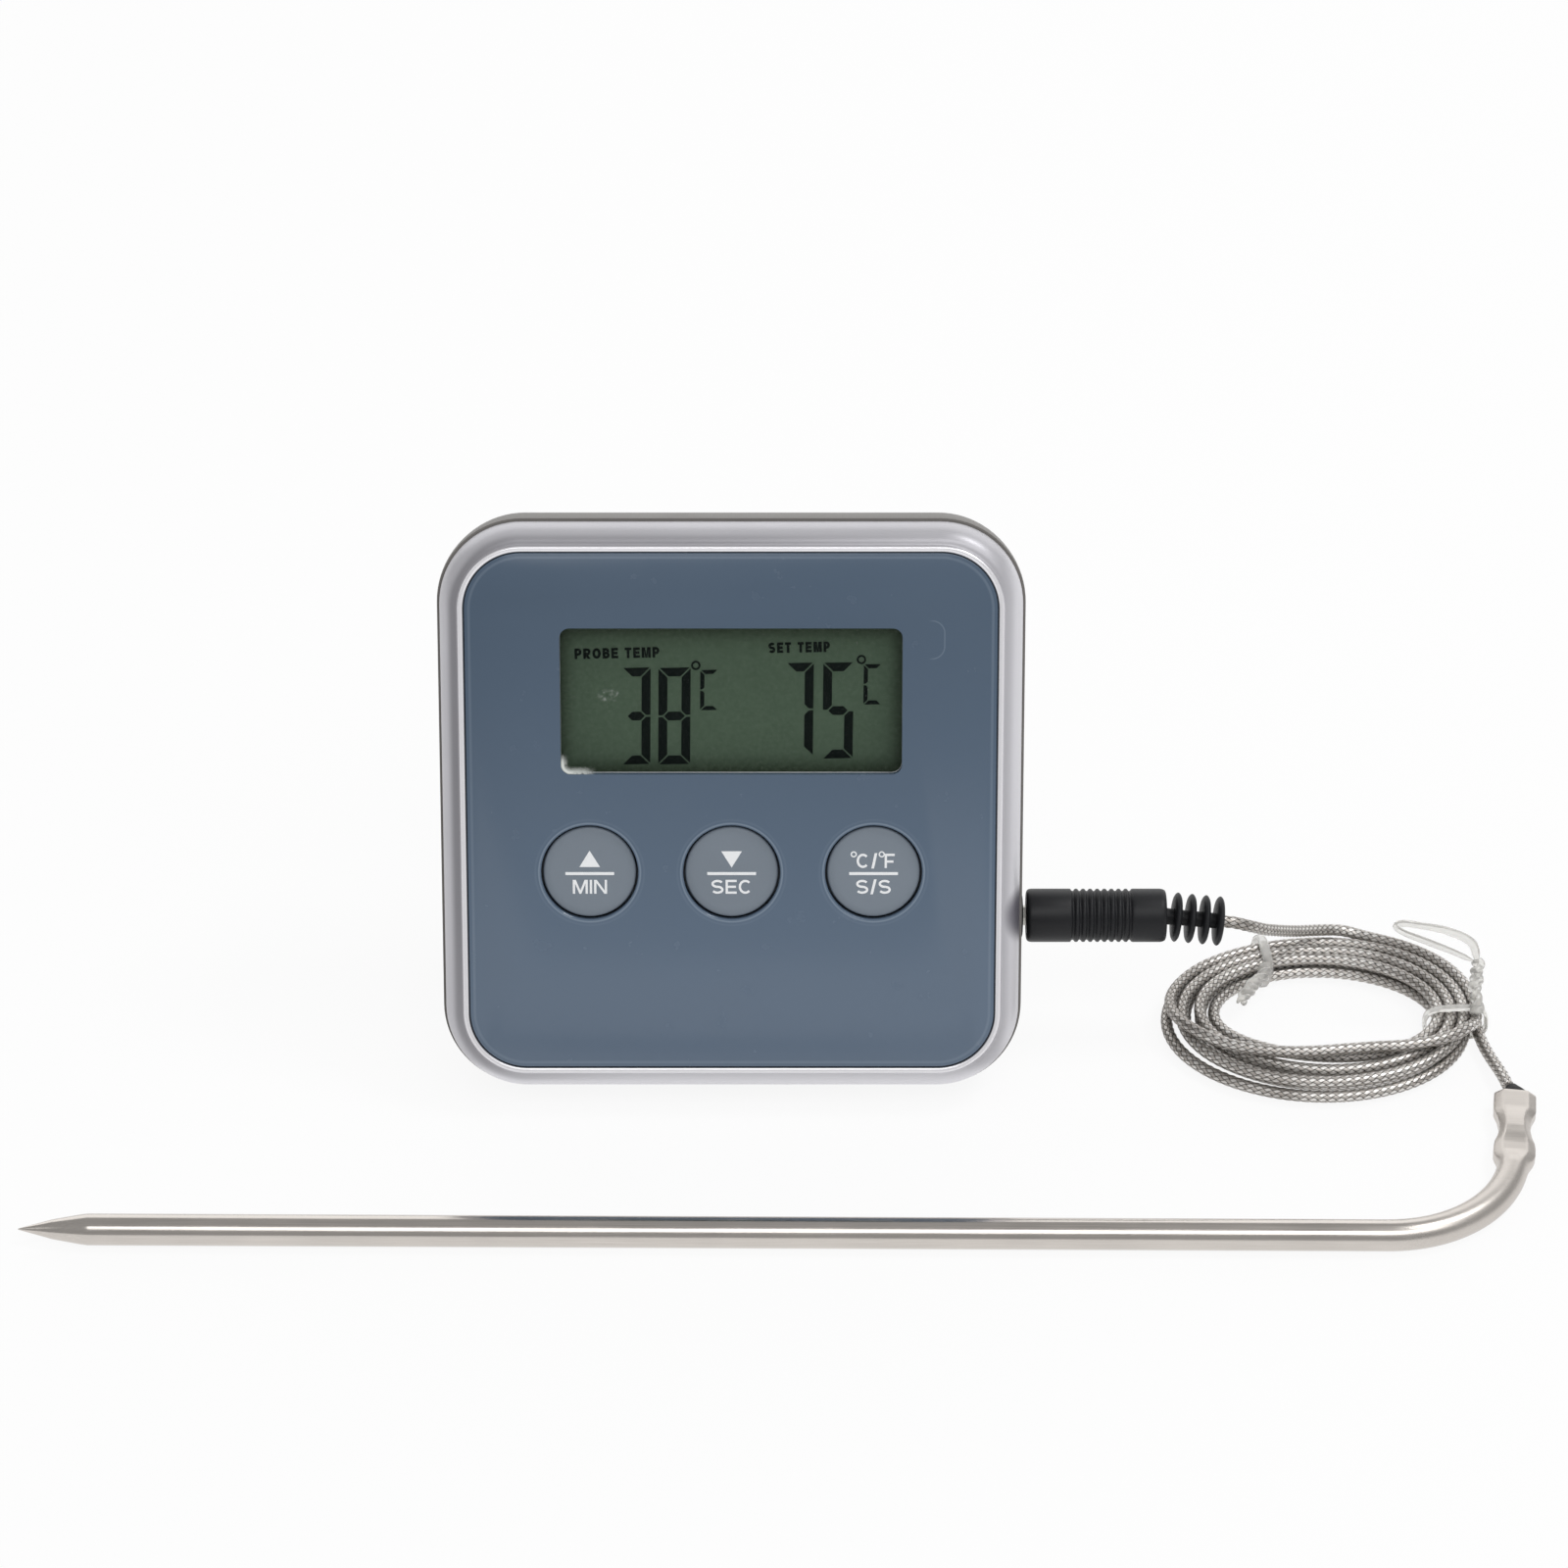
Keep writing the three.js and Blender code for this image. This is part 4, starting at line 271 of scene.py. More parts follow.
class Finish:
    """A material with one Principled shader and the nodes that drive it."""

    def __init__(self, name, base, roughness, metallic=0.0, **more):
        self.material = bpy.data.materials.new(name)
        self.material.use_nodes = True
        self.material.diffuse_color = base
        self.tree = self.material.node_tree
        self.shader = self.tree.nodes["Principled BSDF"]
        self.base = base
        settings = {"Base Color": base, "Roughness": roughness, "Metallic": metallic, **more}
        for socket, value in settings.items():
            self.shader.inputs[socket.replace("_", " ")].default_value = value

    def node(self, kind, settings=None, inputs=None, output=0):
        made = self.tree.nodes.new(kind)
        for key, value in (settings or {}).items():
            setattr(made, key, value)
        for key, value in (inputs or {}).items():
            if isinstance(value, Wire):
                self.tree.links.new(value.socket, made.inputs[key])
            else:
                made.inputs[key].default_value = value
        return Wire(self, made.outputs[output])

    def drive(self, socket, wire):
        self.tree.links.new(wire.socket, self.shader.inputs[socket])
        return self

    def vector(self, operation, *values, output=0):
        inputs = dict(enumerate(values))
        return self.node("ShaderNodeVectorMath", {"operation": operation}, inputs, output)

    def mix(self, factor, first, second):
        settings = {"data_type": "RGBA", "clamp_factor": True}
        return self.node("ShaderNodeMix", settings, {0: factor, 6: first, 7: second}, 2)

    def place(self):
        """Object coordinates in millimetres."""
        spot = self.node("ShaderNodeTexCoord", output="Object")
        return self.vector("MULTIPLY", spot, (1000.0, 1000.0, 1000.0))

    def axis(self, direction, origin=(0.0, 0.0, 0.0)):
        """How far a point lies along a direction from an origin, in millimetres."""
        away = self.vector("SUBTRACT", self.place(), tuple(origin))
        return self.vector("DOT_PRODUCT", away, tuple(direction), output="Value")

    def face_axes(self):
        """Position on the unit's face: across and up."""
        return [self.axis(direction, UNIT_ORIGIN) for direction in ((1.0, 0.0, 0.0), UP_THE_FACE)]

    def noise(self, scale, detail, where=None, roughness=0.5):
        """Noise from 0 to 1, with scale in features per millimetre."""
        inputs = {"Vector": where or self.place(), "Scale": scale, "Detail": detail,
                  "Roughness": roughness}
        return self.node("ShaderNodeTexNoise", {}, inputs, "Fac")

    def bump(self, height, strength, distance):
        inputs = {"Height": height, "Strength": strength, "Distance": distance}
        return self.drive("Normal", self.node("ShaderNodeBump", {}, inputs, "Normal"))

    def shade(self, amount, wire):
        """The base colour, darker and lighter by amount as wire goes from 0 to 1."""
        dark = tuple(v * (1 - amount) for v in self.base[:3]) + (1.0,)
        light = tuple(min(v * (1 + amount), 1.0) for v in self.base[:3]) + (1.0,)
        return self.mix(wire, dark, light)


print("material helpers ready")

# %% [markdown]
# ## Plastics
#
# Moulded plastic is never perfectly even. The silver frame is sprayed, and its flakes sparkle a
# little. Its narrow lip round the panel is glossier than the rest and has a painted highlight.
# The frame also has painted shade in its valley and beside the panel, painted light on its lower
# and right sides, and a painted shadow beside the plug. The rear shell has a fine spark-eroded
# grain. The black plug is smoother and shows soft highlights. Noise at the scale of the real
# grain gives each of them its colour and its bump.


# %% Plastic finishes
def rounded_distance(x, y, half_x, half_y, radius):
    """Distance inside a rounded rectangle's edge, in millimetres, as a Wire."""
    out_x = x.size() - (half_x - radius)
    out_y = y.size() - (half_y - radius)
    corner = (out_x.high(0.0) ** 2.0 + out_y.high(0.0) ** 2.0) ** 0.5
    inside = out_x.high(out_y).low(0.0)
    return radius - (corner + inside)


GRAIN_DEPTH = 0.00003


def plastic(name, base, roughness, grain, depth, metallic=0.0, spread=0.05, **more):
    made = Finish(name, base, roughness, metallic, **more)
    fine = made.noise(grain, 3.0)
    slow = made.noise(0.09, 2.0)
    made.drive("Base Color", made.shade(spread, (fine * 0.4 + slow * 0.6).ramp(0.25, 0.75)))
    made.drive("Roughness", slow.ramp(0.2, 0.8, roughness * 0.88, roughness * 1.12))
    return made.bump(fine, depth, GRAIN_DEPTH)


CASE_HALF, CASE_CORNER = 35.0, 10.0
LIP_START, GAP_SHADE_START, JACK_SHADE_Y = 2.34, 2.92, -13.0


def silver_paint():
    made = Finish("satin_silver", colour(196, 195, 200), 0.33, 0.4)
    x, y = made.face_axes()
    inset = rounded_distance(x, y, CASE_HALF, CASE_HALF, CASE_CORNER)
    flakes = made.noise(14.0, 3.0)
    cloud = made.noise(0.12, 2.0)
    sprayed = made.shade(0.035, (flakes * 0.5 + cloud * 0.5).ramp(0.25, 0.75))
    # Painted light from the floor: the lower band is lighter, and the right side a little.
    painted_floor_light = (y * -1.0).ramp(31.0, 33.6).high(x.ramp(32.0, 34.0) * 0.55)
    sprayed = made.mix(painted_floor_light, sprayed, colour(234, 233, 238))
    # Painted shade: the valley between the round and the lip is darker, most of all on the top and left
    # sides.
    painted_shade_top_left = (y * 0.8 - x * 1.2).ramp(-20.0, 36.0, 0.2, 1.0)
    painted_valley_shade = inset.ramp(0.8, 1.7) * inset.ramp(LIP_START + 0.11, LIP_START - 0.24) * painted_shade_top_left
    valley = made.mix(painted_valley_shade, sprayed, colour(146, 145, 150))
    # Painted highlight: the lip's colour goes near white. Its lower roughness also makes it glossier.
    lip = inset.ramp(LIP_START, LIP_START + 0.12)
    # Painted shade: a dark band on the frame next to the gap round the panel.
    painted_gap_shade = inset.ramp(GAP_SHADE_START, GAP_SHADE_START + 0.08)
    # Painted shadow and reflection of the plug on the frame's side beside the jack.
    from_jack = ((y - JACK_SHADE_Y) / 3.9) ** 2.0 + ((x - CASE_HALF - 0.2) / 2.5) ** 2.0
    painted_jack_shadow = from_jack.ramp(1.0, 0.1)
    bright = made.mix(painted_gap_shade, made.mix(lip, valley, colour(246, 245, 249)), colour(70, 74, 82))
    made.drive("Base Color", made.mix(painted_jack_shadow * 0.88, bright, colour(74, 71, 84)))
    made.drive("Roughness", 0.36 + flakes * 0.08 - lip * 0.16)
    return made.bump(flakes, 0.1, 0.00002)


satin_silver = silver_paint()
grey_shell = plastic("grey_shell", colour(124, 121, 118), 0.5, 6.0, 0.35, 0.1, 0.04)
black_plastic = plastic("black_plastic", colour(27, 28, 31), 0.45, 5.0, 0.3, 0.0, 0.16,
                        Specular_IOR_Level=0.3)
button_grey = plastic("button_grey", colour(125, 135, 146), 0.5, 7.0, 0.15, 0.0, 0.04)
white_plastic = plastic("white_plastic", colour(222, 222, 216), 0.5, 4.0, 0.15)
rubber = plastic("rubber", colour(26, 26, 28), 0.65, 4.0, 0.4, 0.0, 0.2)
print("plastics", satin_silver.material.name, grey_shell.material.name)

# %% [markdown]
# ## Panel
#
# The panel is clear acrylic printed from behind in blue-grey. Its face is glossy, and a painted
# reflection makes it a little lighter towards the bottom. Light caught in the thickness of the
# acrylic is painted as a hair line round each button hole and, fainter, just inside the edge. The
# line needs the distance to a rounded square, which a few Math nodes give. Faint scuffs show as
# slightly rougher patches.

# %% Panel finish
PANEL_HALF, PANEL_CORNER = 31.85, 6.85
BUTTON_Y, BUTTON_PITCH, HOLE = -7.4, 17.15, 6.0

panel_blue = Finish("panel_blue", colour(91, 110, 129), 0.2, 0.0, Specular_IOR_Level=0.4)
px, py = panel_blue.face_axes()
# Painted reflection: the face is lighter towards the bottom.
height = py.ramp(-30.0, 30.0)
shade = panel_blue.mix(height, colour(101, 118, 138), colour(80, 97, 116))
edge = rounded_distance(px, py, PANEL_HALF, PANEL_HALF, PANEL_CORNER)
# Painted highlights: hair lines just inside the edge and round each button hole, and a faint ring outside it.
line = edge.ramp(0.35, 0.5) * edge.ramp(0.85, 0.6)
around = ((px.size() - BUTTON_PITCH) ** 2.0 + (py - BUTTON_Y) ** 2.0) ** 0.5
middle = (px ** 2.0 + (py - BUTTON_Y) ** 2.0) ** 0.5
ring = around.low(middle)
hole_line = ring.ramp(HOLE + 0.26, HOLE + 0.18) * ring.ramp(HOLE, HOLE + 0.08)
halo = ring.ramp(HOLE + 0.75, HOLE + 0.6) * ring.ramp(HOLE + 0.4, HOLE + 0.5)
tab = rounded_distance(px - 23.3, py - 21.3, 2.3, 2.4, 1.6)
tab_line = tab.ramp(-0.02, 0.05) * tab.ramp(0.2, 0.12) * px.ramp(23.4, 24.4)
scuff = panel_blue.noise(0.35, 6.0).ramp(0.6, 0.8) * 0.25
lines = (line * 0.12).high(hole_line * 0.3).high(halo * 0.04).high(tab_line * 0.16)
cast = panel_blue.mix(panel_blue.noise(0.05, 2.0).ramp(0.3, 0.7) * 0.12, shade, colour(98, 112, 128))
panel_blue.drive("Base Color", panel_blue.mix(lines, cast, colour(176, 190, 204)))
panel_blue.drive("Roughness", (0.19 + scuff).low(0.5))
panel_blue.bump(panel_blue.noise(0.08, 1.0), 0.08, 0.0004)
print("panel half width", PANEL_HALF)

# %% [markdown]
# ## Metals
#
# The probe is drawn stainless tube, so fine scratches run along it. Along its axis the noise is
# stretched, across it the noise is tight. The lead's jacket is a braid of thin steel wires: two
# sets of ribbons wind round it in opposite ways and pass over and under each other. The tube's
# map has a turn per unit across and millimetres along, so two sloping sums give the two sets.
# The ribbons that lie over get a painted highlight, and the gaps between them painted shade.

# %% Metal finishes
BEND_AT = (66.0, 82.0)
RIBBONS = 7.0
WIRES = 31.4

brushed_steel = Finish("brushed_steel", colour(206, 200, 194), 0.22, 1.0)
rest = brushed_steel.vector("MULTIPLY", brushed_steel.place(), (0.12, 9.0, 9.0))
lines = brushed_steel.noise(1.0, 3.0, rest)
blotch = brushed_steel.noise(0.12, 2.0)
brushed_steel.drive("Base Color", brushed_steel.shade(0.07, (lines * 0.6 + blotch * 0.4).ramp(0.3, 0.7)))
bend = brushed_steel.axis((1.0, 0.0, 0.0)).ramp(*BEND_AT)
brushed_steel.drive("Roughness", lines * 0.12 + blotch * 0.08 + 0.10 + bend * 0.16)
brushed_steel.bump(lines, 0.1, 0.00002)


def braid_finish():
    made = Finish("steel_braid", colour(196, 188, 181), 0.36, 0.8)
    spot = made.node("ShaderNodeUVMap", {"uv_map": "braid"}, output="UV")
    turn = made.node("ShaderNodeSeparateXYZ", {}, {0: spot}, "X")
    run = Wire(made, turn.socket.node.outputs["Y"])
    right = turn * RIBBONS + run / BRAID_PITCH
    left = turn * RIBBONS - run / BRAID_PITCH
    over = ((right.whole() + left.whole()) / 2.0).part().ramp(0.2, 0.3)
    right_ribbon = (right.part() * math.pi).sine()
    left_ribbon = (left.part() * math.pi).sine()
    top = over * right_ribbon + (1.0 - over) * left_ribbon
    wires = over * (right.part() * WIRES).sine() + (1.0 - over) * (left.part() * WIRES).sine()
    height = top ** 0.6 * 0.85 + wires * 0.08
    # Painted highlight: the ribbons that lie over are lighter.
    glint = over * 0.5 + wires * 0.1 + made.noise(0.5, 2.0) * 0.45 + 0.05
    body = made.mix(glint, colour(166, 158, 150), colour(255, 253, 250))
    # Darker in slow random blotches.
    blotched_darker = made.mix(made.noise(0.07, 2.0).ramp(0.38, 0.62) * 0.5, body, colour(128, 120, 112))
    # Painted shade: the gaps between the ribbons are dark.
    made.drive("Base Color", made.mix(top.ramp(0.6, 0.2), blotched_darker, colour(46, 42, 38)))
    made.drive("Roughness", 0.42 - glint * 0.14)
    return made.bump(height, 0.6, 0.00008)


steel_braid = braid_finish()
nickel = plastic("nickel", colour(188, 186, 181), 0.26, 3.0, 0.1, 0.95, 0.05)
brass = plastic("brass", colour(190, 158, 98), 0.3, 3.0, 0.1, 0.9, 0.08)
print("metals", brushed_steel.material.name, steel_braid.material.name)

# %% [markdown]
# ## Display and clear plastics
#
# The window shows a grey-green liquid crystal cell a few millimetres down. Its well throws a
# shadow round the edge, which is painted into the colour: it darkens there, most of all under
# the top edge. The pane in front is nearly invisible but for a painted smear of light that runs
# round its lower left corner. The ties are clear soft plastic, which bends the light: that gives
# them their own dark and bright lines, with no paint.

# %% Display, film and clear finishes
WINDOW = (20.5, 8.95, 1.2)
WINDOW_Y, PANE_GAP = 13.75, 0.02
PANE = tuple(v - PANE_GAP for v in WINDOW)
display_green = Finish("display_green", colour(84, 102, 84), 0.3, 0.0, Specular_IOR_Level=0.12)
dx, dy = display_green.face_axes()
# Painted shadow of the well: the cell's colour darkens round the edge, most of all under the top edge.
well = rounded_distance(dx, dy - WINDOW_Y, *WINDOW)
field = display_green.mix(well.ramp(-1.0, 2.2), colour(42, 54, 40), colour(71, 88, 72))
top_edge_shadow = (dy - WINDOW_Y).ramp(4.5, 8.6)
field = display_green.mix(top_edge_shadow * 0.35, field, colour(56, 68, 50))
mottle = display_green.noise(2.2, 4.0)
speckled = display_green.mix(mottle.ramp(0.3, 0.8) * 0.12, field, colour(120, 138, 118))
display_green.drive("Base Color", speckled)
display_green.drive("Roughness", 0.28 + mottle * 0.1)


def ink(name, base, roughness, spread, grain, **more):
    made = Finish(name, base, roughness, **more)
    return made.drive("Base Color", made.shade(spread, made.noise(grain, 3.0)))


segment_ink = ink("segment_ink", colour(10, 18, 16), 0.5, 0.25, 1.5, Specular_IOR_Level=0.05)
legend_ink = ink("legend_ink", colour(250, 252, 255), 0.5, 0.02, 3.0)
mark_ink = ink("mark_ink", colour(208, 208, 204), 0.55, 0.03, 3.0)

clear_tie = Finish("clear_tie", colour(254, 253, 250), 0.07, 0.0, IOR=1.45, Transmission_Weight=0.7)
clear_tie.drive("Roughness", 0.04 + clear_tie.noise(0.8, 2.0) * 0.12)
clear_tie.bump(clear_tie.noise(0.9, 2.0), 0.25, 0.0002)

window_film = Finish("window_film", colour(226, 230, 226), 0.25, Specular_IOR_Level=0.1)
wx, wy = window_film.face_axes()
rim = rounded_distance(wx, wy - WINDOW_Y, *PANE)
from_left = wx + WINDOW[0]
from_foot = wy - (WINDOW_Y - WINDOW[1])
# Painted glare: a smear of light and a bright line round the lower left corner of the pane. The trace and the
# specks are faint marks on it.
near = from_left.ramp(4.4, 2.2) * from_foot.ramp(2.6, 1.0)
smudge_and_glare = window_film.noise(1.6, 5.0, roughness=0.75)
smear = near * rim.ramp(1.0, 0.1) * smudge_and_glare.ramp(0.36, 0.5)
arc_light = near * rim.ramp(0.55, 0.25) * rim.ramp(0.0, 0.12) * from_left.ramp(2.6, 0.9)
trace = (((wx + 14.6) / 1.6) ** 2.0 + ((wy - 14.5) / 1.0) ** 2.0).ramp(1.0, 0.2) * smudge_and_glare.ramp(0.5, 0.66)
specks = window_film.noise(2.6, 2.0).ramp(0.76, 0.8)
veil = (smear * 0.6).high(arc_light * 0.95).high(trace * 0.22).high(specks * 0.2)
window_film.drive("Alpha", (0.002 + veil).low(0.96))
print("display finishes ready")

# %% [markdown]
# ## What lies inside
#
# Nobody sees the board, the cell or the contacts unless the door is off, yet each has its real
# finish: solder mask green, a printed jacket, tin, tape and epoxy.

# %% Finishes inside the case
board_green = plastic("board_green", colour(44, 92, 58), 0.4, 2.0, 0.3, 0.0, 0.15)
chip_black = plastic("chip_black", colour(22, 22, 22), 0.3, 1.5, 0.2, 0.0, 0.2)
tape_grey = plastic("tape_grey", colour(205, 208, 212), 0.65, 2.0, 0.3)
film_silver = plastic("film_silver", colour(150, 156, 146), 0.35, 4.0, 0.1, 0.4)
cell_jacket = plastic("cell_jacket", colour(64, 78, 92), 0.32, 2.0, 0.1, 0.25, 0.08)
epoxy = plastic("epoxy", colour(44, 36, 32), 0.28, 1.5, 0.2)
wire_sleeve = plastic("wire_sleeve", colour(232, 229, 216), 0.5, 2.0, 0.2)
print("inner finishes ready")

# %% [markdown]
# ## Floor and light
#
# The photograph is a cut-out on white. Its metal shows how it was lit: one broad soft box in
# front and above, a pale wall behind and a darker gap overhead. Its buttons and digits throw
# their shade from a smaller lamp at the upper right. The same plain studio stands here. The
# floor is a pale plane, and a share of it glows for camera, glossy and see-through rays alone.
# That keeps it near white, also in reflections, while the shadows stay and the object gets no
# extra light from it.

# %% Floor and world
GLOW_SHARE, FLOOR_REACH, SKY = 0.9, 3.0, 0.41
floor_corners = [(FLOOR_REACH * x, FLOOR_REACH * y, 0) for x, y in ((-1, -1), (1, -1), (1, 1), (-1, 1))]
floor_mesh = bpy.data.meshes.new("floor")
floor_mesh.from_pydata(floor_corners, [], [(0, 1, 2, 3)])
floor = link_object("floor", floor_mesh)

floor_paint = Finish("floor_paint", colour(246, 246, 246), 0.6, Specular_IOR_Level=0.2)
seen, glossy, through = [floor_paint.node("ShaderNodeLightPath", output=f"Is {ray} Ray")
                         for ray in ("Camera", "Glossy", "Transmission")]
plain = Wire(floor_paint, floor_paint.shader.outputs[0])
glow = floor_paint.node("ShaderNodeEmission")
share = seen.high(glossy).high(through) * GLOW_SHARE
both = floor_paint.node("ShaderNodeMixShader", {}, {0: share, 1: plain, 2: glow})
floor_paint.tree.links.new(both.socket, floor_paint.tree.nodes["Material Output"].inputs["Surface"])
floor_mesh.materials.append(floor_paint.material)

world = bpy.data.worlds.new("studio")
bpy.context.scene.world = world
world.use_nodes = True
background = world.node_tree.nodes["Background"]
background.inputs["Color"].default_value = (1, 1, 1, 1)
background.inputs["Strength"].default_value = SKY

# %% Lamps
AIM = Vector((0.0, 0.0, 0.03))


def softbox(name, place, size, watts):
    lamp = bpy.data.lights.new(name, "AREA")
    lamp.shape = "RECTANGLE"
    lamp.size, lamp.size_y = size
    lamp.energy = watts
    item = link_object(name, lamp)
    item.location = place
    item.rotation_euler = (AIM - Vector(place)).to_track_quat("-Z", "Y").to_euler()


softbox("front_softbox", (0.20, -0.50, 0.74), (1.0, 0.36), 2.6)
softbox("back_softbox", (0.0, 0.90, 0.42), (2.0, 0.75), 4.4)
softbox("left_softbox", (-0.80, -0.25, 0.45), (0.5, 0.5), 0.45)
softbox("raking_softbox", (0.46, 0.06, 0.80), (0.24, 0.24), 1.9)

# %% [markdown]
# ## Building meshes
#
# Most pieces here are skins over rings of points: a tube, a turned handle, a rounded case. One
# function joins rings into a closed mesh, another puts a mesh in the scene with smooth faces and
# sharp edges, and a third carves one piece with others by Boolean modifiers, as a mill would.


# %% Mesh helpers
def skin(rings, loop=False):
    """Points and faces of a skin over rings with equal counts: closed at its ends, or a loop."""
    count = len(rings[0])
    points = np.concatenate([np.asarray(r, float) for r in rings])
    faces = []
    spans = len(rings) if loop else len(rings) - 1
    for i in range(spans):
        a, b = i * count, ((i + 1) % len(rings)) * count
        for j in range(count):
            k = (j + 1) % count
            faces.append((a + j, a + k, b + k, b + j))
    if not loop:
        faces.append(tuple(range(count))[::-1])
        last = (len(rings) - 1) * count
        faces.append(tuple(range(last, last + count)))
    return points, faces


def smooth(mesh, sharp):
    mesh.shade_smooth()
    mesh.set_sharp_from_angle(angle=math.radians(sharp))


def rework(mesh, merge=0.0, flatten=0.0):
    """Merges points closer than a distance, melts flat edges and turns the faces outward."""
    work = bmesh.new()
    work.from_mesh(mesh)
    if merge:
        bmesh.ops.remove_doubles(work, verts=work.verts, dist=merge)
    if flatten:
        bmesh.ops.dissolve_limit(work, angle_limit=math.radians(flatten), verts=work.verts, edges=work.edges)
    else:
        bmesh.ops.recalc_face_normals(work, faces=work.faces)
    work.to_mesh(mesh)
    work.free()


SHARP = 32.0


def make_piece(name, points, faces, finish=None, sharp=SHARP):
    """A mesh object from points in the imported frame. What only cuts or joins has no finish."""
    mesh = bpy.data.meshes.new(name)
    mesh.from_pydata([tuple(p) for p in points], [], faces)
    rework(mesh, merge=1e-7)
    if finish:
        mesh.materials.append(finish.material)
    smooth(mesh, sharp)
    return link_object(name, mesh)


def skin_piece(name, rings, finish=None, sharp=SHARP, place=on_unit, loop=False):
    """A skin over rings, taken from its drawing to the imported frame."""
    points, faces = skin(rings, loop)
    return make_piece(name, place(points), faces, finish, sharp)


def merged(skins):
    """Several skins as one list of points and one of faces."""
    points, faces = [], []
    for more, made in skins:
        faces += [tuple(v + len(points) for v in face) for face in made]
        points += list(more)
    return np.array(points), faces


def apply_all(piece):
    """Turns the piece's mesh into the one that its modifiers give, and removes them."""
    graph = bpy.context.evaluated_depsgraph_get()
    graph.update()
    made = bpy.data.meshes.new_from_object(piece.evaluated_get(graph))
    piece.modifiers.clear()
    old, piece.data = piece.data, made
    bpy.data.meshes.remove(old)


def carve(piece, cutters, operation="DIFFERENCE"):
    """Cuts the cutters out of a piece, or joins them on, and removes them."""
    for cutter in cutters:
        step = piece.modifiers.new("carve", "BOOLEAN")
        step.operation, step.object, step.solver = operation, cutter, "EXACT"
    finish = piece.data.materials[0] if piece.data.materials else None
    apply_all(piece)
    piece.data.materials.clear()
    if finish:
        piece.data.materials.append(finish)
    smooth(piece.data, SHARP)
    for cutter in cutters:
        bpy.data.objects.remove(cutter)


dressed = []


def dress(piece, body, slot, *replaced):
    """Hangs a finished piece on its body and hides the CAD nodes that it stands for. Its slot is not used."""
    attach(piece, body)
    if replaced:
        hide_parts(*replaced)
    dressed.append(piece.name)
    return piece


# %% Shapes drawn in millimetres
def rounded_ring(half_x, half_y, radius, z, steps, x=0.0, y=0.0):
    """A rounded rectangle as a ring of points at height z."""
    radius = max(min(radius, half_x, half_y), 0.01)
    ring = []
    for corner in range(4):
        middle = math.radians(45 + 90 * corner)
        cx = x + math.copysign(half_x - radius, math.cos(middle))
        cy = y + math.copysign(half_y - radius, math.sin(middle))
        for i in range(steps + 1):
            angle = math.radians(90 * corner + 90 * i / steps)
            ring.append((cx + radius * math.cos(angle), cy + radius * math.sin(angle), z))
    return np.array(ring)


CORNER_STEPS = 20


def case_rings(rows):
    """The case's rounded square at rows of inset and height."""
    rings = []
    for inset, z in rows:
        half = CASE_HALF - inset
        rings.append(rounded_ring(half, half, max(CASE_CORNER - inset, 0.6), z, CORNER_STEPS))
    return rings


def case_block(name, rows, finish=None):
    return skin_piece(name, case_rings(rows), finish)


def disc_ring(x, y, z, radius, sides):
    turn = np.linspace(0, 2 * math.pi, sides, endpoint=False)
    return np.column_stack([x + radius * np.cos(turn), y + radius * np.sin(turn), np.full(sides, z)])


def post(name, x, y, rows, finish=None, sides=64):
    """A turned piece that stands out of the face: rows of height and radius."""
    return skin_piece(name, [disc_ring(x, y, z, radius, sides) for z, radius in rows], finish)


def block(name, x, y, z, finish=None, radius=0.0, steps=4):
    """A block from pairs of low and high x, y and z, with rounded corners in plan."""
    rings = [rounded_ring((x[1] - x[0]) / 2, (y[1] - y[0]) / 2, radius, level,
                          steps if radius else 1, (x[0] + x[1]) / 2, (y[0] + y[1]) / 2) for level in z]
    return skin_piece(name, rings, finish)


def about(middle, half):
    """The low and high ends of a span."""
    return middle - half, middle + half


def both_ways(name, half_x, y, z):
    """A plain block, as wide to the left of the middle as to the right."""
    return block(name, about(0, half_x), y, z)


def posts(name, places, rows, sides=64):
    """A plain turned piece at each place."""
    return [post(name, x, y, rows, None, sides) for x, y in places]


def turned_along_x(rows, y, z, sides=64):
    """Rings of a turned piece that lies along x: rows of x and radius."""
    turn = np.linspace(0, 2 * math.pi, sides, endpoint=False)
    return [np.column_stack([np.full(sides, x), y + r * np.cos(turn), z + r * np.sin(turn)])
            for x, r in rows]


def frames_along(line, up=(0.0, 0.0, 1.0)):
    """A side and an up for each point, turned along the line without twisting."""
    ahead = np.gradient(line, axis=0)
    ahead /= np.linalg.norm(ahead, axis=1)[:, None]
    side = np.cross(up, ahead[0])
    side /= np.linalg.norm(side)
    sides = []
    for direction in ahead:
        side = side - direction * side.dot(direction)
        side /= np.linalg.norm(side)
        sides.append(side)
    sides = np.array(sides)
    return sides, np.cross(ahead, sides)


print("mesh helpers ready")

# %% [markdown]
# ## The braided lead
#
# A smooth tube with a picture of a braid would look painted. Here the rings stand half a strand
# apart and every other point is raised, like the crossings of the real braid, so that its
# outline and its highlights sparkle. The finer wires come from the bump of the finish.


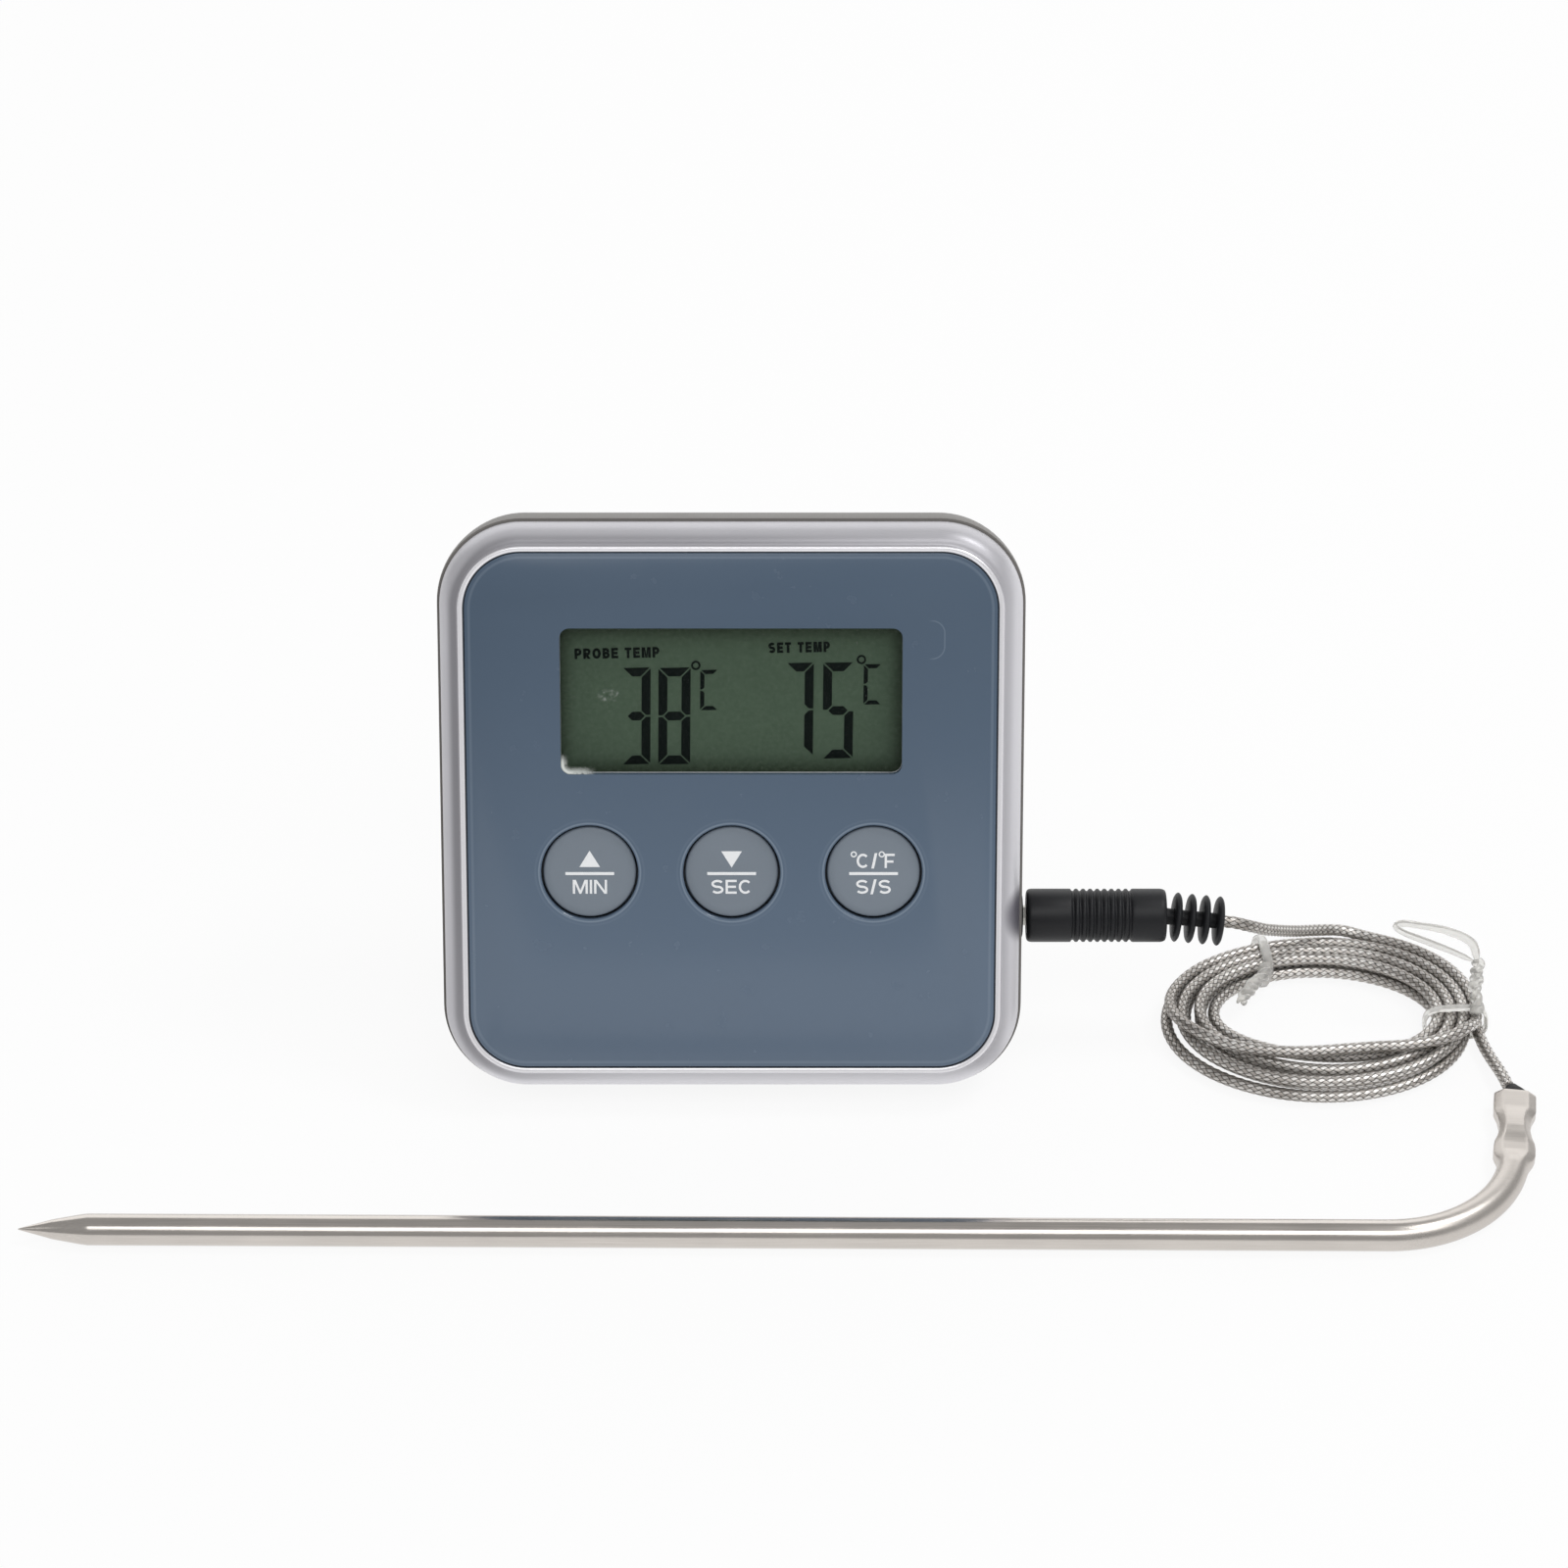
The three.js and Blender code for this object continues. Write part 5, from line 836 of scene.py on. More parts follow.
# %% Braided cord
def braided_tube(name, line, radius, relief, finish):
    sides = 2 * int(RIBBONS)
    side, up = frames_along(line)
    turn = np.linspace(0, 2 * math.pi, sides, endpoint=False)
    rings = []
    for j, point in enumerate(line):
        raised = radius + relief * np.where((np.arange(sides) + j) % 2 == 1, 1.0, -1.0)
        rings.append(point + np.outer(raised * np.cos(turn), side[j])
                     + np.outer(raised * np.sin(turn), up[j]))
    points, faces = skin(rings)
    mesh = bpy.data.meshes.new(name)
    mesh.from_pydata([tuple(p) for p in on_table(points)], [], faces)
    layer = mesh.uv_layers.new(name="braid")
    uv = np.zeros((len(mesh.loops), 2))
    step = np.linalg.norm(line[1] - line[0])
    at = 0
    for face in faces:
        columns = [v % sides for v in face]
        wraps = len(face) == 4 and max(columns) - min(columns) > 1
        for v, column in zip(face, columns):
            uv[at] = ((column + (sides if wraps and column == 0 else 0)) / sides, v // sides * step)
            at += 1
    layer.data.foreach_set("uv", uv.ravel())
    rework(mesh)
    mesh.materials.append(finish.material)
    mesh.shade_smooth()
    return link_object(name, mesh)


BRAID_RELIEF = 0.045
cord = braided_tube("braided_lead", cord_line, CORD / 2, BRAID_RELIEF, steel_braid)
dress(cord, "probe_lead", "braid", "cord_lead", "cord_coil", "cord_tail")
print("cord faces", len(cord.data.polygons))

# %% [markdown]
# ## Twist ties
#
# Two clear ties hold the bundle. Each is a soft strip that goes round all the strands, and its
# two ends are twisted together. The band is a strip swept round a squared loop, and it leans a
# little, as a loop on a cord does. The twist is two strands wound round each other, which gives
# the lumps that catch the light, and on the right the strands end in a thin open loop.

# %% Ties
TIE_THICK, TIE_WIDTH, TIE_ROOM = 0.52, 1.2, 0.04
BAND_SQUARE, BAND_STEPS, BAND_SWELL = 0.62, 96, 0.07
TWIST_RADIUS, STRAND_FLATNESS, TIE_SHARP = 0.5, 0.86, 80
TIE_UP, LOOP_UP = (0.3, 0.5, 1.0), (0.2, 1.0, 0.3)
BUNDLE = COIL_SWEEP / 720
DRAWN_IN = (COIL_PITCH - TIED_PITCH) * BUNDLE / 2
COIL_INNER = COIL_OUTER - COIL_PITCH * BUNDLE
Z_AXIS = np.array([0.0, 0.0, 1.0])


def on_coil(axes, degrees):
    angle = math.radians(degrees)
    x, y = COIL_CENTRE + axes * np.array([math.cos(angle), math.sin(angle)])
    return np.array([x, y, (COIL_LOW + TIED_HIGH) / 2])


def squared(value, power):
    """A sine or cosine that stays near its ends longer, which makes a round shape squarer."""
    return np.sign(value) * np.abs(value) ** power


def oval(point, wide, tall, half_wide, half_tall, sides, power=1.0):
    turn = np.linspace(0, 2 * math.pi, sides, endpoint=False)
    across = np.outer(half_wide * squared(np.cos(turn), power), wide)
    return point + across + np.outer(half_tall * squared(np.sin(turn), power), tall)


def tie_band(name, outer_degrees, inner_degrees, lean):
    outer = on_coil(COIL_OUTER - DRAWN_IN, outer_degrees)
    inner = on_coil(COIL_INNER + DRAWN_IN, inner_degrees)
    centre = (outer + inner) / 2
    across = (outer - inner) / np.linalg.norm(outer - inner)
    along = np.cross(Z_AXIS, across)
    clear = CORD / 2 + TIE_ROOM + TIE_THICK / 2
    reach = np.linalg.norm(outer - inner) / 2 + clear
    rise = (TIED_HIGH - COIL_LOW) / 2 + clear
    rings = []
    for turn in np.linspace(0, 2 * math.pi, BAND_STEPS, endpoint=False):
        height = rise * squared(math.sin(turn), BAND_SQUARE)
        sideways = across * reach * squared(math.cos(turn), BAND_SQUARE)
        point = centre + sideways + Z_AXIS * height + along * lean * height
        outward = point - centre
        outward = outward - along * outward.dot(along) - across * outward.dot(across) * 0.6
        outward /= np.linalg.norm(outward)
        swell = 1 + BAND_SWELL * math.sin(5 * turn)
        rings.append(oval(point, outward, along, TIE_THICK / 2, TIE_WIDTH / 2 * swell, 14, 0.8))
    return skin_piece(name, rings, clear_tie, TIE_SHARP, on_table, loop=True)


def tube_skin(line, radii):
    side, up = frames_along(line, TIE_UP)
    return skin([oval(p, side[i], up[i], radii[i], radii[i] * STRAND_FLATNESS, 12)
                 for i, p in enumerate(line)])


def tie_twist(name, points, turns):
    """Two clear strands wound round each other along a line."""
    line = smooth_line(points, 0.1)[0]
    side, up = frames_along(line, TIE_UP)
    share = np.linspace(0, 1, len(line))
    strands = []
    for start in (0.0, math.pi):
        angle = start + 2 * math.pi * turns * share + 0.5 * np.sin(9 * share)
        apart = TWIST_RADIUS * (0.82 + 0.2 * np.sin(7 * share + start))
        strand = line + side * (apart * np.cos(angle))[:, None] + up * (apart * np.sin(angle))[:, None]
        close = np.minimum(1.0, 0.35 + 9 * np.minimum(share, 1 - share))
        radii = TWIST_RADIUS * close * (1 + 0.12 * np.sin(13 * share + 2 * start))
        strands.append(tube_skin(strand, radii))
    points, faces = merged(strands)
    return make_piece(name, on_table(points), faces, clear_tie, TIE_SHARP)


def tie_strip(name, points, half_width, half_thick):
    line = smooth_line(points, 0.2)[0]
    side, up = frames_along(line, LOOP_UP)
    rings = []
    for i, p in enumerate(line):
        share = i / (len(line) - 1)
        slim = min(1.0, 0.45 + 12 * min(share, 1 - share)) * (1 + 0.12 * math.sin(11 * share))
        rings.append(oval(p, side[i], up[i], half_width * slim, half_thick * slim, 14, 0.85))
    return skin_piece(name, rings, clear_tie, TIE_SHARP, on_table)


def dress_tie(piece, node):
    return dress(piece, "probe_lead", "clear_tie", node)


LEFT_TWIST = [(67.5, 25.5, 3.9), (67.1, 24.2, 3.9), (66.0, 22.4, 3.7), (64.6, 20.6, 3.5), (63.8, 19.2, 2.7)]
RIGHT_TWIST = [(92.6, 15.6, 3.8), (93.1, 16.6, 4.8), (92.7, 17.6, 6.4), (92.9, 18.4, 8.3), (93.1, 18.9, 10.0)]
RIGHT_LOOP = [(92.9, 18.9, 9.6), (92.3, 20.1, 11.5), (89.7, 21.0, 12.6), (86.2, 21.5, 13.2),
              (83.2, 21.6, 13.5), (82.7, 21.3, 13.25), (83.4, 20.8, 12.9), (86.6, 19.7, 12.1),
              (89.7, 19.0, 11.1), (92.3, 18.7, 9.9)]
left_band = dress_tie(tie_band("left_tie_band", 111, 118, -0.25), "twist_tie_left")
left_twist = dress_tie(tie_twist("left_tie_twist", LEFT_TWIST, 3.5), "twist_tie_left")
right_band = dress_tie(tie_band("right_tie_band", -4, -9, 0.3), "twist_tie_right")
right_twist = dress_tie(tie_twist("right_tie_twist", RIGHT_TWIST, 3.2), "twist_tie_right")
right_loop = dress_tie(tie_strip("right_tie_loop", RIGHT_LOOP, 0.5, 0.38), "twist_tie_right")
print("ties", left_band.name, right_band.name)

# %% [markdown]
# ## Plug handle and strain relief
#
# The handle is turned: a slightly domed end, a plain half and a grip with nine ring grooves.
# The relief behind it is a thin core with four fins. One fin is drawn once, and Geometry Nodes
# repeats it at even steps along the core.

# %% Repeating a shape with Geometry Nodes
JACK_Y, JACK_Z = -15.58, -10.6
HANDLE_START, HANDLE_LENGTH, HANDLE_RADIUS = 36.2, 17.2, 3.3


def repeat_tree(name):
    """A node tree that lays copies of its geometry in a row."""
    tree = bpy.data.node_groups.new(name, "GeometryNodeTree")
    for label, kind, way in (("Shape", "Geometry", "INPUT"), ("Count", "Int", "INPUT"),
                             ("Step", "Vector", "INPUT"), ("Finish", "Material", "INPUT"),
                             ("Row", "Geometry", "OUTPUT")):
        tree.interface.new_socket(name=label, in_out=way, socket_type=f"NodeSocket{kind}")
    given, result, row, copies, real, paint = [tree.nodes.new(kind) for kind in (
        "NodeGroupInput", "NodeGroupOutput", "GeometryNodeMeshLine", "GeometryNodeInstanceOnPoints",
        "GeometryNodeRealizeInstances", "GeometryNodeSetMaterial")]
    for source, leaving, target, entering in (
            (given, "Count", row, "Count"), (given, "Step", row, "Offset"),
            (row, "Mesh", copies, "Points"), (given, "Shape", copies, "Instance"),
            (copies, "Instances", real, "Geometry"), (real, "Geometry", paint, "Geometry"),
            (given, "Finish", paint, "Material"), (paint, "Geometry", result, "Row")):
        tree.links.new(source.outputs[leaving], target.inputs[entering])
    return tree


ROW_TREE = repeat_tree("row_of_copies")


def repeat(piece, count, step, finish, sharp=SHARP):
    """Replaces a piece's mesh by a row of copies of it, a step apart in metres."""
    modifier = piece.modifiers.new("row", "NODES")
    modifier.node_group = ROW_TREE
    sockets = {s.name: s.identifier for s in ROW_TREE.interface.items_tree if s.in_out == "INPUT"}
    modifier[sockets["Count"]] = count
    modifier[sockets["Step"]] = tuple(step)
    modifier[sockets["Finish"]] = finish.material
    apply_all(piece)
    smooth(piece.data, sharp)


# %% Handle
GROOVES, GROOVE_PITCH, FIRST_GROOVE, GRIP_END = 9, 0.875, 5.45, 13.5
GROOVE_SHAPE = ((0.0, 0.03), (0.10, 0.16), (0.24, 0.28), (0.38, 0.28), (0.52, 0.16), (0.62, 0.04), (0.8, 0.0))
TURNED_SHARP = 50


def handle_rows():
    r = HANDLE_RADIUS
    rows = [(0.0, 0.9), (0.0, 2.82), (0.04, 2.98), (0.13, 3.13), (0.28, 3.23), (0.48, 3.28), (0.7, r)]
    rows.append((FIRST_GROOVE - 0.1, r))
    for i in range(GROOVES):
        start = FIRST_GROOVE + GROOVE_PITCH * i
        rows += [(start + GROOVE_PITCH * share, r - depth) for share, depth in GROOVE_SHAPE]
    rows += [(GRIP_END, r), (HANDLE_LENGTH - 0.7, r), (HANDLE_LENGTH - 0.35, r - 0.06),
             (HANDLE_LENGTH - 0.1, r - 0.2), (HANDLE_LENGTH, r - 0.4), (HANDLE_LENGTH, 0.9)]
    return [(HANDLE_START + x, radius) for x, radius in rows]


handle = skin_piece("plug_grip", turned_along_x(handle_rows(), JACK_Y, JACK_Z), black_plastic, TURNED_SHARP)
dress(handle, "probe_lead", "black_plastic", "plug_handle")
print("handle faces", len(handle.data.polygons))

# %% Strain relief
DROOP, SUNK_IN = math.radians(6.5), 1.15
relief_pivot = np.array([HANDLE_START + HANDLE_LENGTH - SUNK_IN, JACK_Y, JACK_Z])


def on_relief(points):
    """The relief's own drawing: along x from its pivot in the handle, drooping a little."""
    p = np.asarray(points, float)
    x = p[..., 0] * math.cos(DROOP) + p[..., 2] * math.sin(DROOP)
    z = -p[..., 0] * math.sin(DROOP) + p[..., 2] * math.cos(DROOP)
    return np.stack([x, p[..., 1], z], axis=-1) * MM + on_unit(relief_pivot)


FINS, FIN_PITCH, FIN_THICK = 4, 1.76, 0.8
fin_start = SUNK_IN + FIN_PITCH - FIN_THICK
near_side = [(0.0, 0.8), (0.0, 2.5), (0.04, 2.68), (0.13, 2.85), (0.24, 2.98), (0.34, 3.04)]
far_side = [(FIN_THICK - x, r) for x, r in reversed(near_side)]
fin_rows = [*near_side, (FIN_THICK / 2, 3.06), *far_side]
fin_rings = turned_along_x([(fin_start + x, r) for x, r in fin_rows], 0, 0)
fins = skin_piece("relief_fins", fin_rings, black_plastic, TURNED_SHARP, on_relief)
fin_step = on_relief([FIN_PITCH, 0, 0]) - on_relief([0, 0, 0])
repeat(fins, FINS, fin_step, black_plastic, TURNED_SHARP)
core_rows = [(0.4, 0.7), (0.4, 1.1), (1.5, 1.02), (4.0, 0.95), (8.0, 0.95), (8.15, 0.9), (8.19, 0.75)]
core_rings = turned_along_x(core_rows, 0, 0, 40)
core = skin_piece("relief_core", core_rings, black_plastic, TURNED_SHARP, on_relief)
dress(fins, "probe_lead", "black_plastic", "strain_relief")
dress(core, "probe_lead", "black_plastic", "strain_relief")
print("fin step", fin_step)

# %% [markdown]
# ## Probe
#
# The probe is one stainless tube: a ground cone point, a long straight stem, a bend of a right
# angle and a mouth that a press has crimped in two places. Its section is an oval whose half
# width and half height follow the crimps. The press leaves flat faces with edges between them, so
# the round section turns into an eight-sided one there. A curve with a bevel couldn't change its
# section like this, and rings can.

# %% Probe tube
PROBE_RADIUS = 1.89
PROBE_STRAIGHT, BEND_RADIUS, BEND, LEG = 162.0, 16.8, math.radians(82.6), 11.4
PROBE_LENGTH = PROBE_STRAIGHT + BEND * BEND_RADIUS + LEG
PROBE_TURN = math.radians(-0.4)
PROBE_CORNER = (84.3, 23.2)
CONE_END, CRIMPED = 8.3, 14.2
MOUTH_OPEN, MOUTH_END, MOUTH_DEPTH = 0.86, 0.84, 1.6
SIZES_TIP = [(0.0, 0.05), (0.25, 0.14), (1.2, 0.40), (4.05, 1.18), (7.4, 1.78), (8.3, 1.89)]
SIZES_MOUTH = [
    (0.0, 2.46, 1.3, 1.0), (0.25, 2.55, 1.38, 1.0), (3.3, 2.55, 1.38, 1.0), (3.7, 2.42, 1.42, 1.0),
    (4.6, 2.12, 1.55, 0.9), (5.8, 1.92, 1.66, 0.8), (7.2, 1.9, 1.7, 0.8), (8.4, 2.1, 1.6, 0.9),
    (9.4, 2.4, 1.45, 1.0), (10.2, 2.5, 1.38, 1.0), (11.6, 2.5, 1.38, 1.0), (12.3, 2.34, 1.5, 0.8),
    (13.3, 2.0, 1.78, 0.3), (CRIMPED, 1.89, 1.89, 0.0)]


def probe_point(s):
    turn = min(max((s - PROBE_STRAIGHT) / BEND_RADIUS, 0.0), BEND)
    rest = max(s - PROBE_STRAIGHT - BEND * BEND_RADIUS, 0.0)
    x = min(s, PROBE_STRAIGHT) + BEND_RADIUS * math.sin(turn) + rest * math.cos(turn)
    y = BEND_RADIUS * (1 - math.cos(turn)) + rest * math.sin(turn)
    return np.array([x, y, 0.0])


def probe_size(s):
    """Half width, half height and how flat the faces are, at a distance from the point."""
    if s < CONE_END:
        at, size = zip(*SIZES_TIP)
        half = float(np.interp(s, at, size))
        return half, half, 0.0
    at, wide, tall, flat = zip(*SIZES_MOUTH)
    return tuple(float(np.interp(PROBE_LENGTH - s, at, sizes)) for sizes in (wide, tall, flat))


def pressed_ring(point, side, wide, tall, flat):
    """A round section, or an eight-sided one with small rounds, or one between the two."""
    turn = np.linspace(0, 2 * math.pi, 64, endpoint=False)
    x, y = np.cos(turn), np.sin(turn)
    planes = ((1, 0, 1.0), (0, 1, 1.0), (0.80, 0.60, 1.06), (0.80, -0.60, 1.06))
    reach = np.min([limit / np.maximum(np.abs(a * x + b * y), 1e-6) for a, b, limit in planes], axis=0)
    radius = 1 + (np.minimum(reach, 1.22) - 1) * flat
    return point + np.outer(wide * radius * x, side) + np.outer(tall * radius * y, Z_AXIS)


def on_probe(points):
    p = np.asarray(points, float)
    x = p[..., 0] * math.cos(PROBE_TURN) - p[..., 1] * math.sin(PROBE_TURN)
    y = p[..., 0] * math.sin(PROBE_TURN) + p[..., 1] * math.cos(PROBE_TURN)
    return on_table(np.stack([x - PROBE_CORNER[0], y - PROBE_CORNER[1], p[..., 2] + PROBE_RADIUS], axis=-1))


stations = [0, 0.1, 0.25, 0.5, 0.8, 1.2, 2.5, 4.05, 5.7, 7.4, 7.8, CONE_END, 8.6]
for start, end, count in ((10, PROBE_STRAIGHT, 20),
                          (PROBE_STRAIGHT + 0.8, PROBE_LENGTH - CRIMPED - 0.2, 30),
                          (PROBE_LENGTH - CRIMPED, PROBE_LENGTH, 72)):
    stations += list(np.linspace(start, end, count))
rings = []
for s in stations:
    ahead = probe_point(s + 0.05) - probe_point(s - 0.05)
    ahead /= np.linalg.norm(ahead)
    rings.append(pressed_ring(probe_point(s), np.cross(Z_AXIS, ahead), *probe_size(s)))
mouth = rings[-1]
centre = mouth.mean(axis=0)
rings.append(centre + (mouth - centre) * MOUTH_OPEN)
rings.append(centre - ahead * MOUTH_DEPTH + (mouth - centre) * MOUTH_END)
probe = skin_piece("needle_probe", rings, brushed_steel, 24, on_probe)
dress(probe, "probe_lead", "steel", "probe_tube")
print("probe length", round(PROBE_LENGTH, 1), "mm")

# %% [markdown]
# ## Seal
#
# A small black seal closes the mouth. It starts inside the flattened tube and swings round to
# face the cord. It is the same ring skin, with its rows further apart where it turns.

# %% Seal
seal_rows = [
    (-1.4, 1.9, 0.95, 82.6), (1.5, 1.95, 1.0, 82.6), (0.2, 1.9, 1.05, 84.0), (0.35, 1.6, 1.1, 92.0),
    (0.4, 1.25, 1.0, 100.0), (0.4, 0.98, 0.9, 106.0), (0.35, 0.87, 0.82, 109.0), (0.15, 0.72, 0.7, 109.0)]
point = probe_point(PROBE_LENGTH)
rings = []
for step, half_wide, half_tall, facing in seal_rows:
    facing = math.radians(facing)
    ahead = np.array([math.cos(facing), math.sin(facing), 0.0])
    point = point + ahead * step
    rings.append(oval(point, np.cross(Z_AXIS, ahead), Z_AXIS, half_wide, half_tall, 32))
seal = skin_piece("probe_mouth_seal", rings, rubber, TURNED_SHARP, on_probe)
dress(seal, "probe_lead", "rubber", "probe_seal")
print("seal ends at", on_probe(point), "cord ends at", on_table(cord_line[-1]))

# %% [markdown]
# ## Silver frame
#
# The frame's section is a quarter round that falls to the outline, then a shallow valley and a
# narrow bright lip round the panel. It is lofted from rounded squares and milled like the CAD
# solid: a pocket for the panel, an opening for the display and three holes for the buttons.

# %% Front frame
ROUND_IN, ROUND_DEEP, JOINT_Z, ROUND_STEPS = 2.2, 3.46, -3.7, 14
button_places = [(x, BUTTON_Y) for x in (-BUTTON_PITCH, 0.0, BUTTON_PITCH)]
rows = []
for i in range(ROUND_STEPS + 1):
    angle = math.radians(90 * i / ROUND_STEPS)
    rows.append((ROUND_IN * (1 - math.cos(angle)), JOINT_Z + ROUND_DEEP * math.sin(angle)))
rows += [(2.26, -0.2), (2.32, -0.06), (2.42, 0.05), (2.54, 0.10), (2.68, 0.11), (2.82, 0.07),
         (2.98, 0.02), (3.05, -0.04)]
silver_frame = case_block("silver_frame", rows, satin_silver)
pocket = case_block("pocket", [(3.08, -1.5), (3.08, 1.0)])
hollow = case_block("hollow", [(2.4, -5.0), (2.4, -2.7)])
opening = block("opening", about(0, 20.8), (4.5, 23.0), (-4, 0), None, 1.5, 8)
holes = posts("hole", button_places, [(-4, HOLE + 0.03), (0, HOLE + 0.03)])
carve(silver_frame, [pocket, hollow, opening, *holes])
dress(silver_frame, "unit", "satin_silver", "front_bezel")
print("frame faces", len(silver_frame.data.polygons))

# %% [markdown]
# ## Panel and window
#
# The panel is a slab with the window and the button holes cut through it. A separate clear pane
# fills the window: it carries the smear of light that the photograph shows at its lower left.

# %% Panel with its window
panel_rows = [(3.24, -1.0), (3.16, -0.92), (3.15, -0.14), (3.19, -0.05), (3.27, -0.01)]
hole_rows = [(-2, HOLE - 0.125), (-0.12, HOLE - 0.125), (0.02, HOLE), (1, HOLE)]
panel = case_block("printed_panel", panel_rows, panel_blue)


def window_block(name, form, z, finish=None):
    half_x, half_y, radius = form
    return block(name, about(0, half_x), about(WINDOW_Y, half_y), z, finish, radius, 8)


window_cut = window_block("window_cut", WINDOW, (-2, 1))
carve(panel, [window_cut, *posts("hole", button_places, hole_rows, 72)])
dress(panel, "unit", "panel", "face_panel")
dress(window_block("window_pane", PANE, (-0.35, -0.02), window_film), "unit", "panel")
print("panel faces", len(panel.data.polygons))

# %% [markdown]
# ## Lettering
#
# The legends are plain capitals of an even stroke. Blender's text objects would bring their own
# typeface, which is narrower and runs together when it is made bolder. So each letter is drawn
# here as closed outlines for a given width and stroke: straight ones as corners, round ones as a
# ribbon along a line. A word is stretched to the box that it fills on the real object and
# becomes one thin mesh. All of it is generic: units, START/STOP letters, ON and OFF.


# %% Letters as outlines
def ribbon(points, width):
    """The closed outline of a stroke of even width along a line."""
    line = np.asarray(points, float)
    ahead = np.gradient(line, axis=0)
    ahead /= np.linalg.norm(ahead, axis=1)[:, None]
    side = np.column_stack([-ahead[:, 1], ahead[:, 0]]) * width / 2
    return np.vstack([line + side, (line - side)[::-1]])


def arc(x, y, reach_x, reach_y, start, end, steps=16):
    turn = np.radians(np.linspace(start, end, steps))
    return np.column_stack([x + reach_x * np.cos(turn), y + reach_y * np.sin(turn)])


def bowl(w, s, low, high, start=-90, end=90):
    """The round part of P, R and B: out from the stem, round and back."""
    reach = (high - low) / 2
    turn = arc(w - s / 2 - reach * 0.9, (low + high) / 2, reach * 0.9, reach, start, end)
    stem = s * 0.97
    first = [(stem, low), (stem + 0.04, low)] if start == -90 else []
    last = [(stem + 0.04, high), (stem, high)] if end == 90 else []
    return ribbon([*first, *turn, *last], s)


def glyph(letter, w, s):
    """Outlines of a capital of height 1 with a width and a stroke. A pair is a ring."""
    m, h = s / 2, 0.5
    stem = [(0, 0), (s, 0), (s, 1), (0, 1)]
    if letter == "I":
        return [stem]
    if letter == "E":
        return [[(0, 0), (w, 0), (w, s), (s, s), (s, h - m), (0.93 * w, h - m), (0.93 * w, h + m),
                 (s, h + m), (s, 1 - s), (w, 1 - s), (w, 1), (0, 1)]]
    if letter == "F":
        return [[(0, 0), (s, 0), (s, 0.45 - m), (0.88 * w, 0.45 - m), (0.88 * w, 0.45 + m),
                 (s, 0.45 + m), (s, 1 - s), (w, 1 - s), (w, 1), (0, 1)]]
    if letter == "T":
        return [[(w / 2 - m, 0), (w / 2 + m, 0), (w / 2 + m, 1 - s), (w, 1 - s), (w, 1), (0, 1),
                 (0, 1 - s), (w / 2 - m, 1 - s)]]
    if letter == "M":
        return [[(0, 0), (s, 0), (s, 0.74), (w / 2 - 0.42 * s, 0), (w / 2 + 0.42 * s, 0),
                 (w - s, 0.74), (w - s, 0), (w, 0), (w, 1), (w - 1.35 * s, 1), (w / 2, 0.24),
                 (1.35 * s, 1), (0, 1)]]
    if letter == "N":
        return [[(0, 0), (s, 0), (s, 0.78), (w - 1.15 * s, 0), (w, 0), (w, 1), (w - s, 1),
                 (w - s, 0.22), (1.15 * s, 1), (0, 1)]]
    if letter == "/":
        return [[(0, -0.04), (1.15 * s, -0.04), (w, 1.04), (w - 1.15 * s, 1.04)]]
    if letter == "C":
        return [ribbon(arc(w / 2, h, w / 2 - m, h - m, 44, 316, 30), s)]
    if letter == "O":
        return [(arc(w / 2, h, w / 2, h, 0, 350, 36), arc(w / 2, h, w / 2 - s, h - s, 0, 350, 36))]
    if letter == "S":
        upper = arc(w / 2, 0.75 - m / 2, w / 2 - m, 0.25 - m / 2, 28, 262)
        lower = arc(w / 2, 0.25 + m / 2, w / 2 - m, 0.25 - m / 2, 82, -152)
        return [ribbon(np.vstack([upper, lower]), s)]
    if letter == "P":
        return [stem, bowl(w, s, 0.44, 1 - m)]
    if letter == "R":
        leg = [(w - 1.2 * s, 0), (w, 0), (0.66 * w, 0.46 - m), (0.66 * w - 1.15 * s, 0.46 - m)]
        return [stem, bowl(w, s, 0.46, 1 - m), leg]
    if letter == "B":
        return [stem, bowl(w * 0.95, s, 0.52, 1 - m), bowl(w, s, m, 0.50, -90, 50)]
    return []


LETTER_WIDTH = {"E": 0.64, "F": 0.6, "T": 0.64, "M": 0.86, "N": 0.74, "/": 0.36, "C": 0.76, "O": 0.8,
                "S": 0.7, "P": 0.66, "R": 0.7, "B": 0.68, " ": 0.3}


INK_THICK, INK_SHARP = 0.03, 30


def leaned(shape, tilt, x, y):
    """A flat shape turned by a small slope and moved to its place."""
    return np.column_stack([shape[:, 0] - tilt * shape[:, 1] + x, shape[:, 1] + tilt * shape[:, 0] + y])


def levels(shape, *heights):
    """A flat shape as one ring for each height."""
    return [np.column_stack([shape, np.full(len(shape), height)]) for height in heights]


def printed(name, skins, finish, place=on_unit):
    """Thin skins as one piece of print."""
    points, faces = merged(skins)
    return make_piece(name, place(points), faces, finish, INK_SHARP)


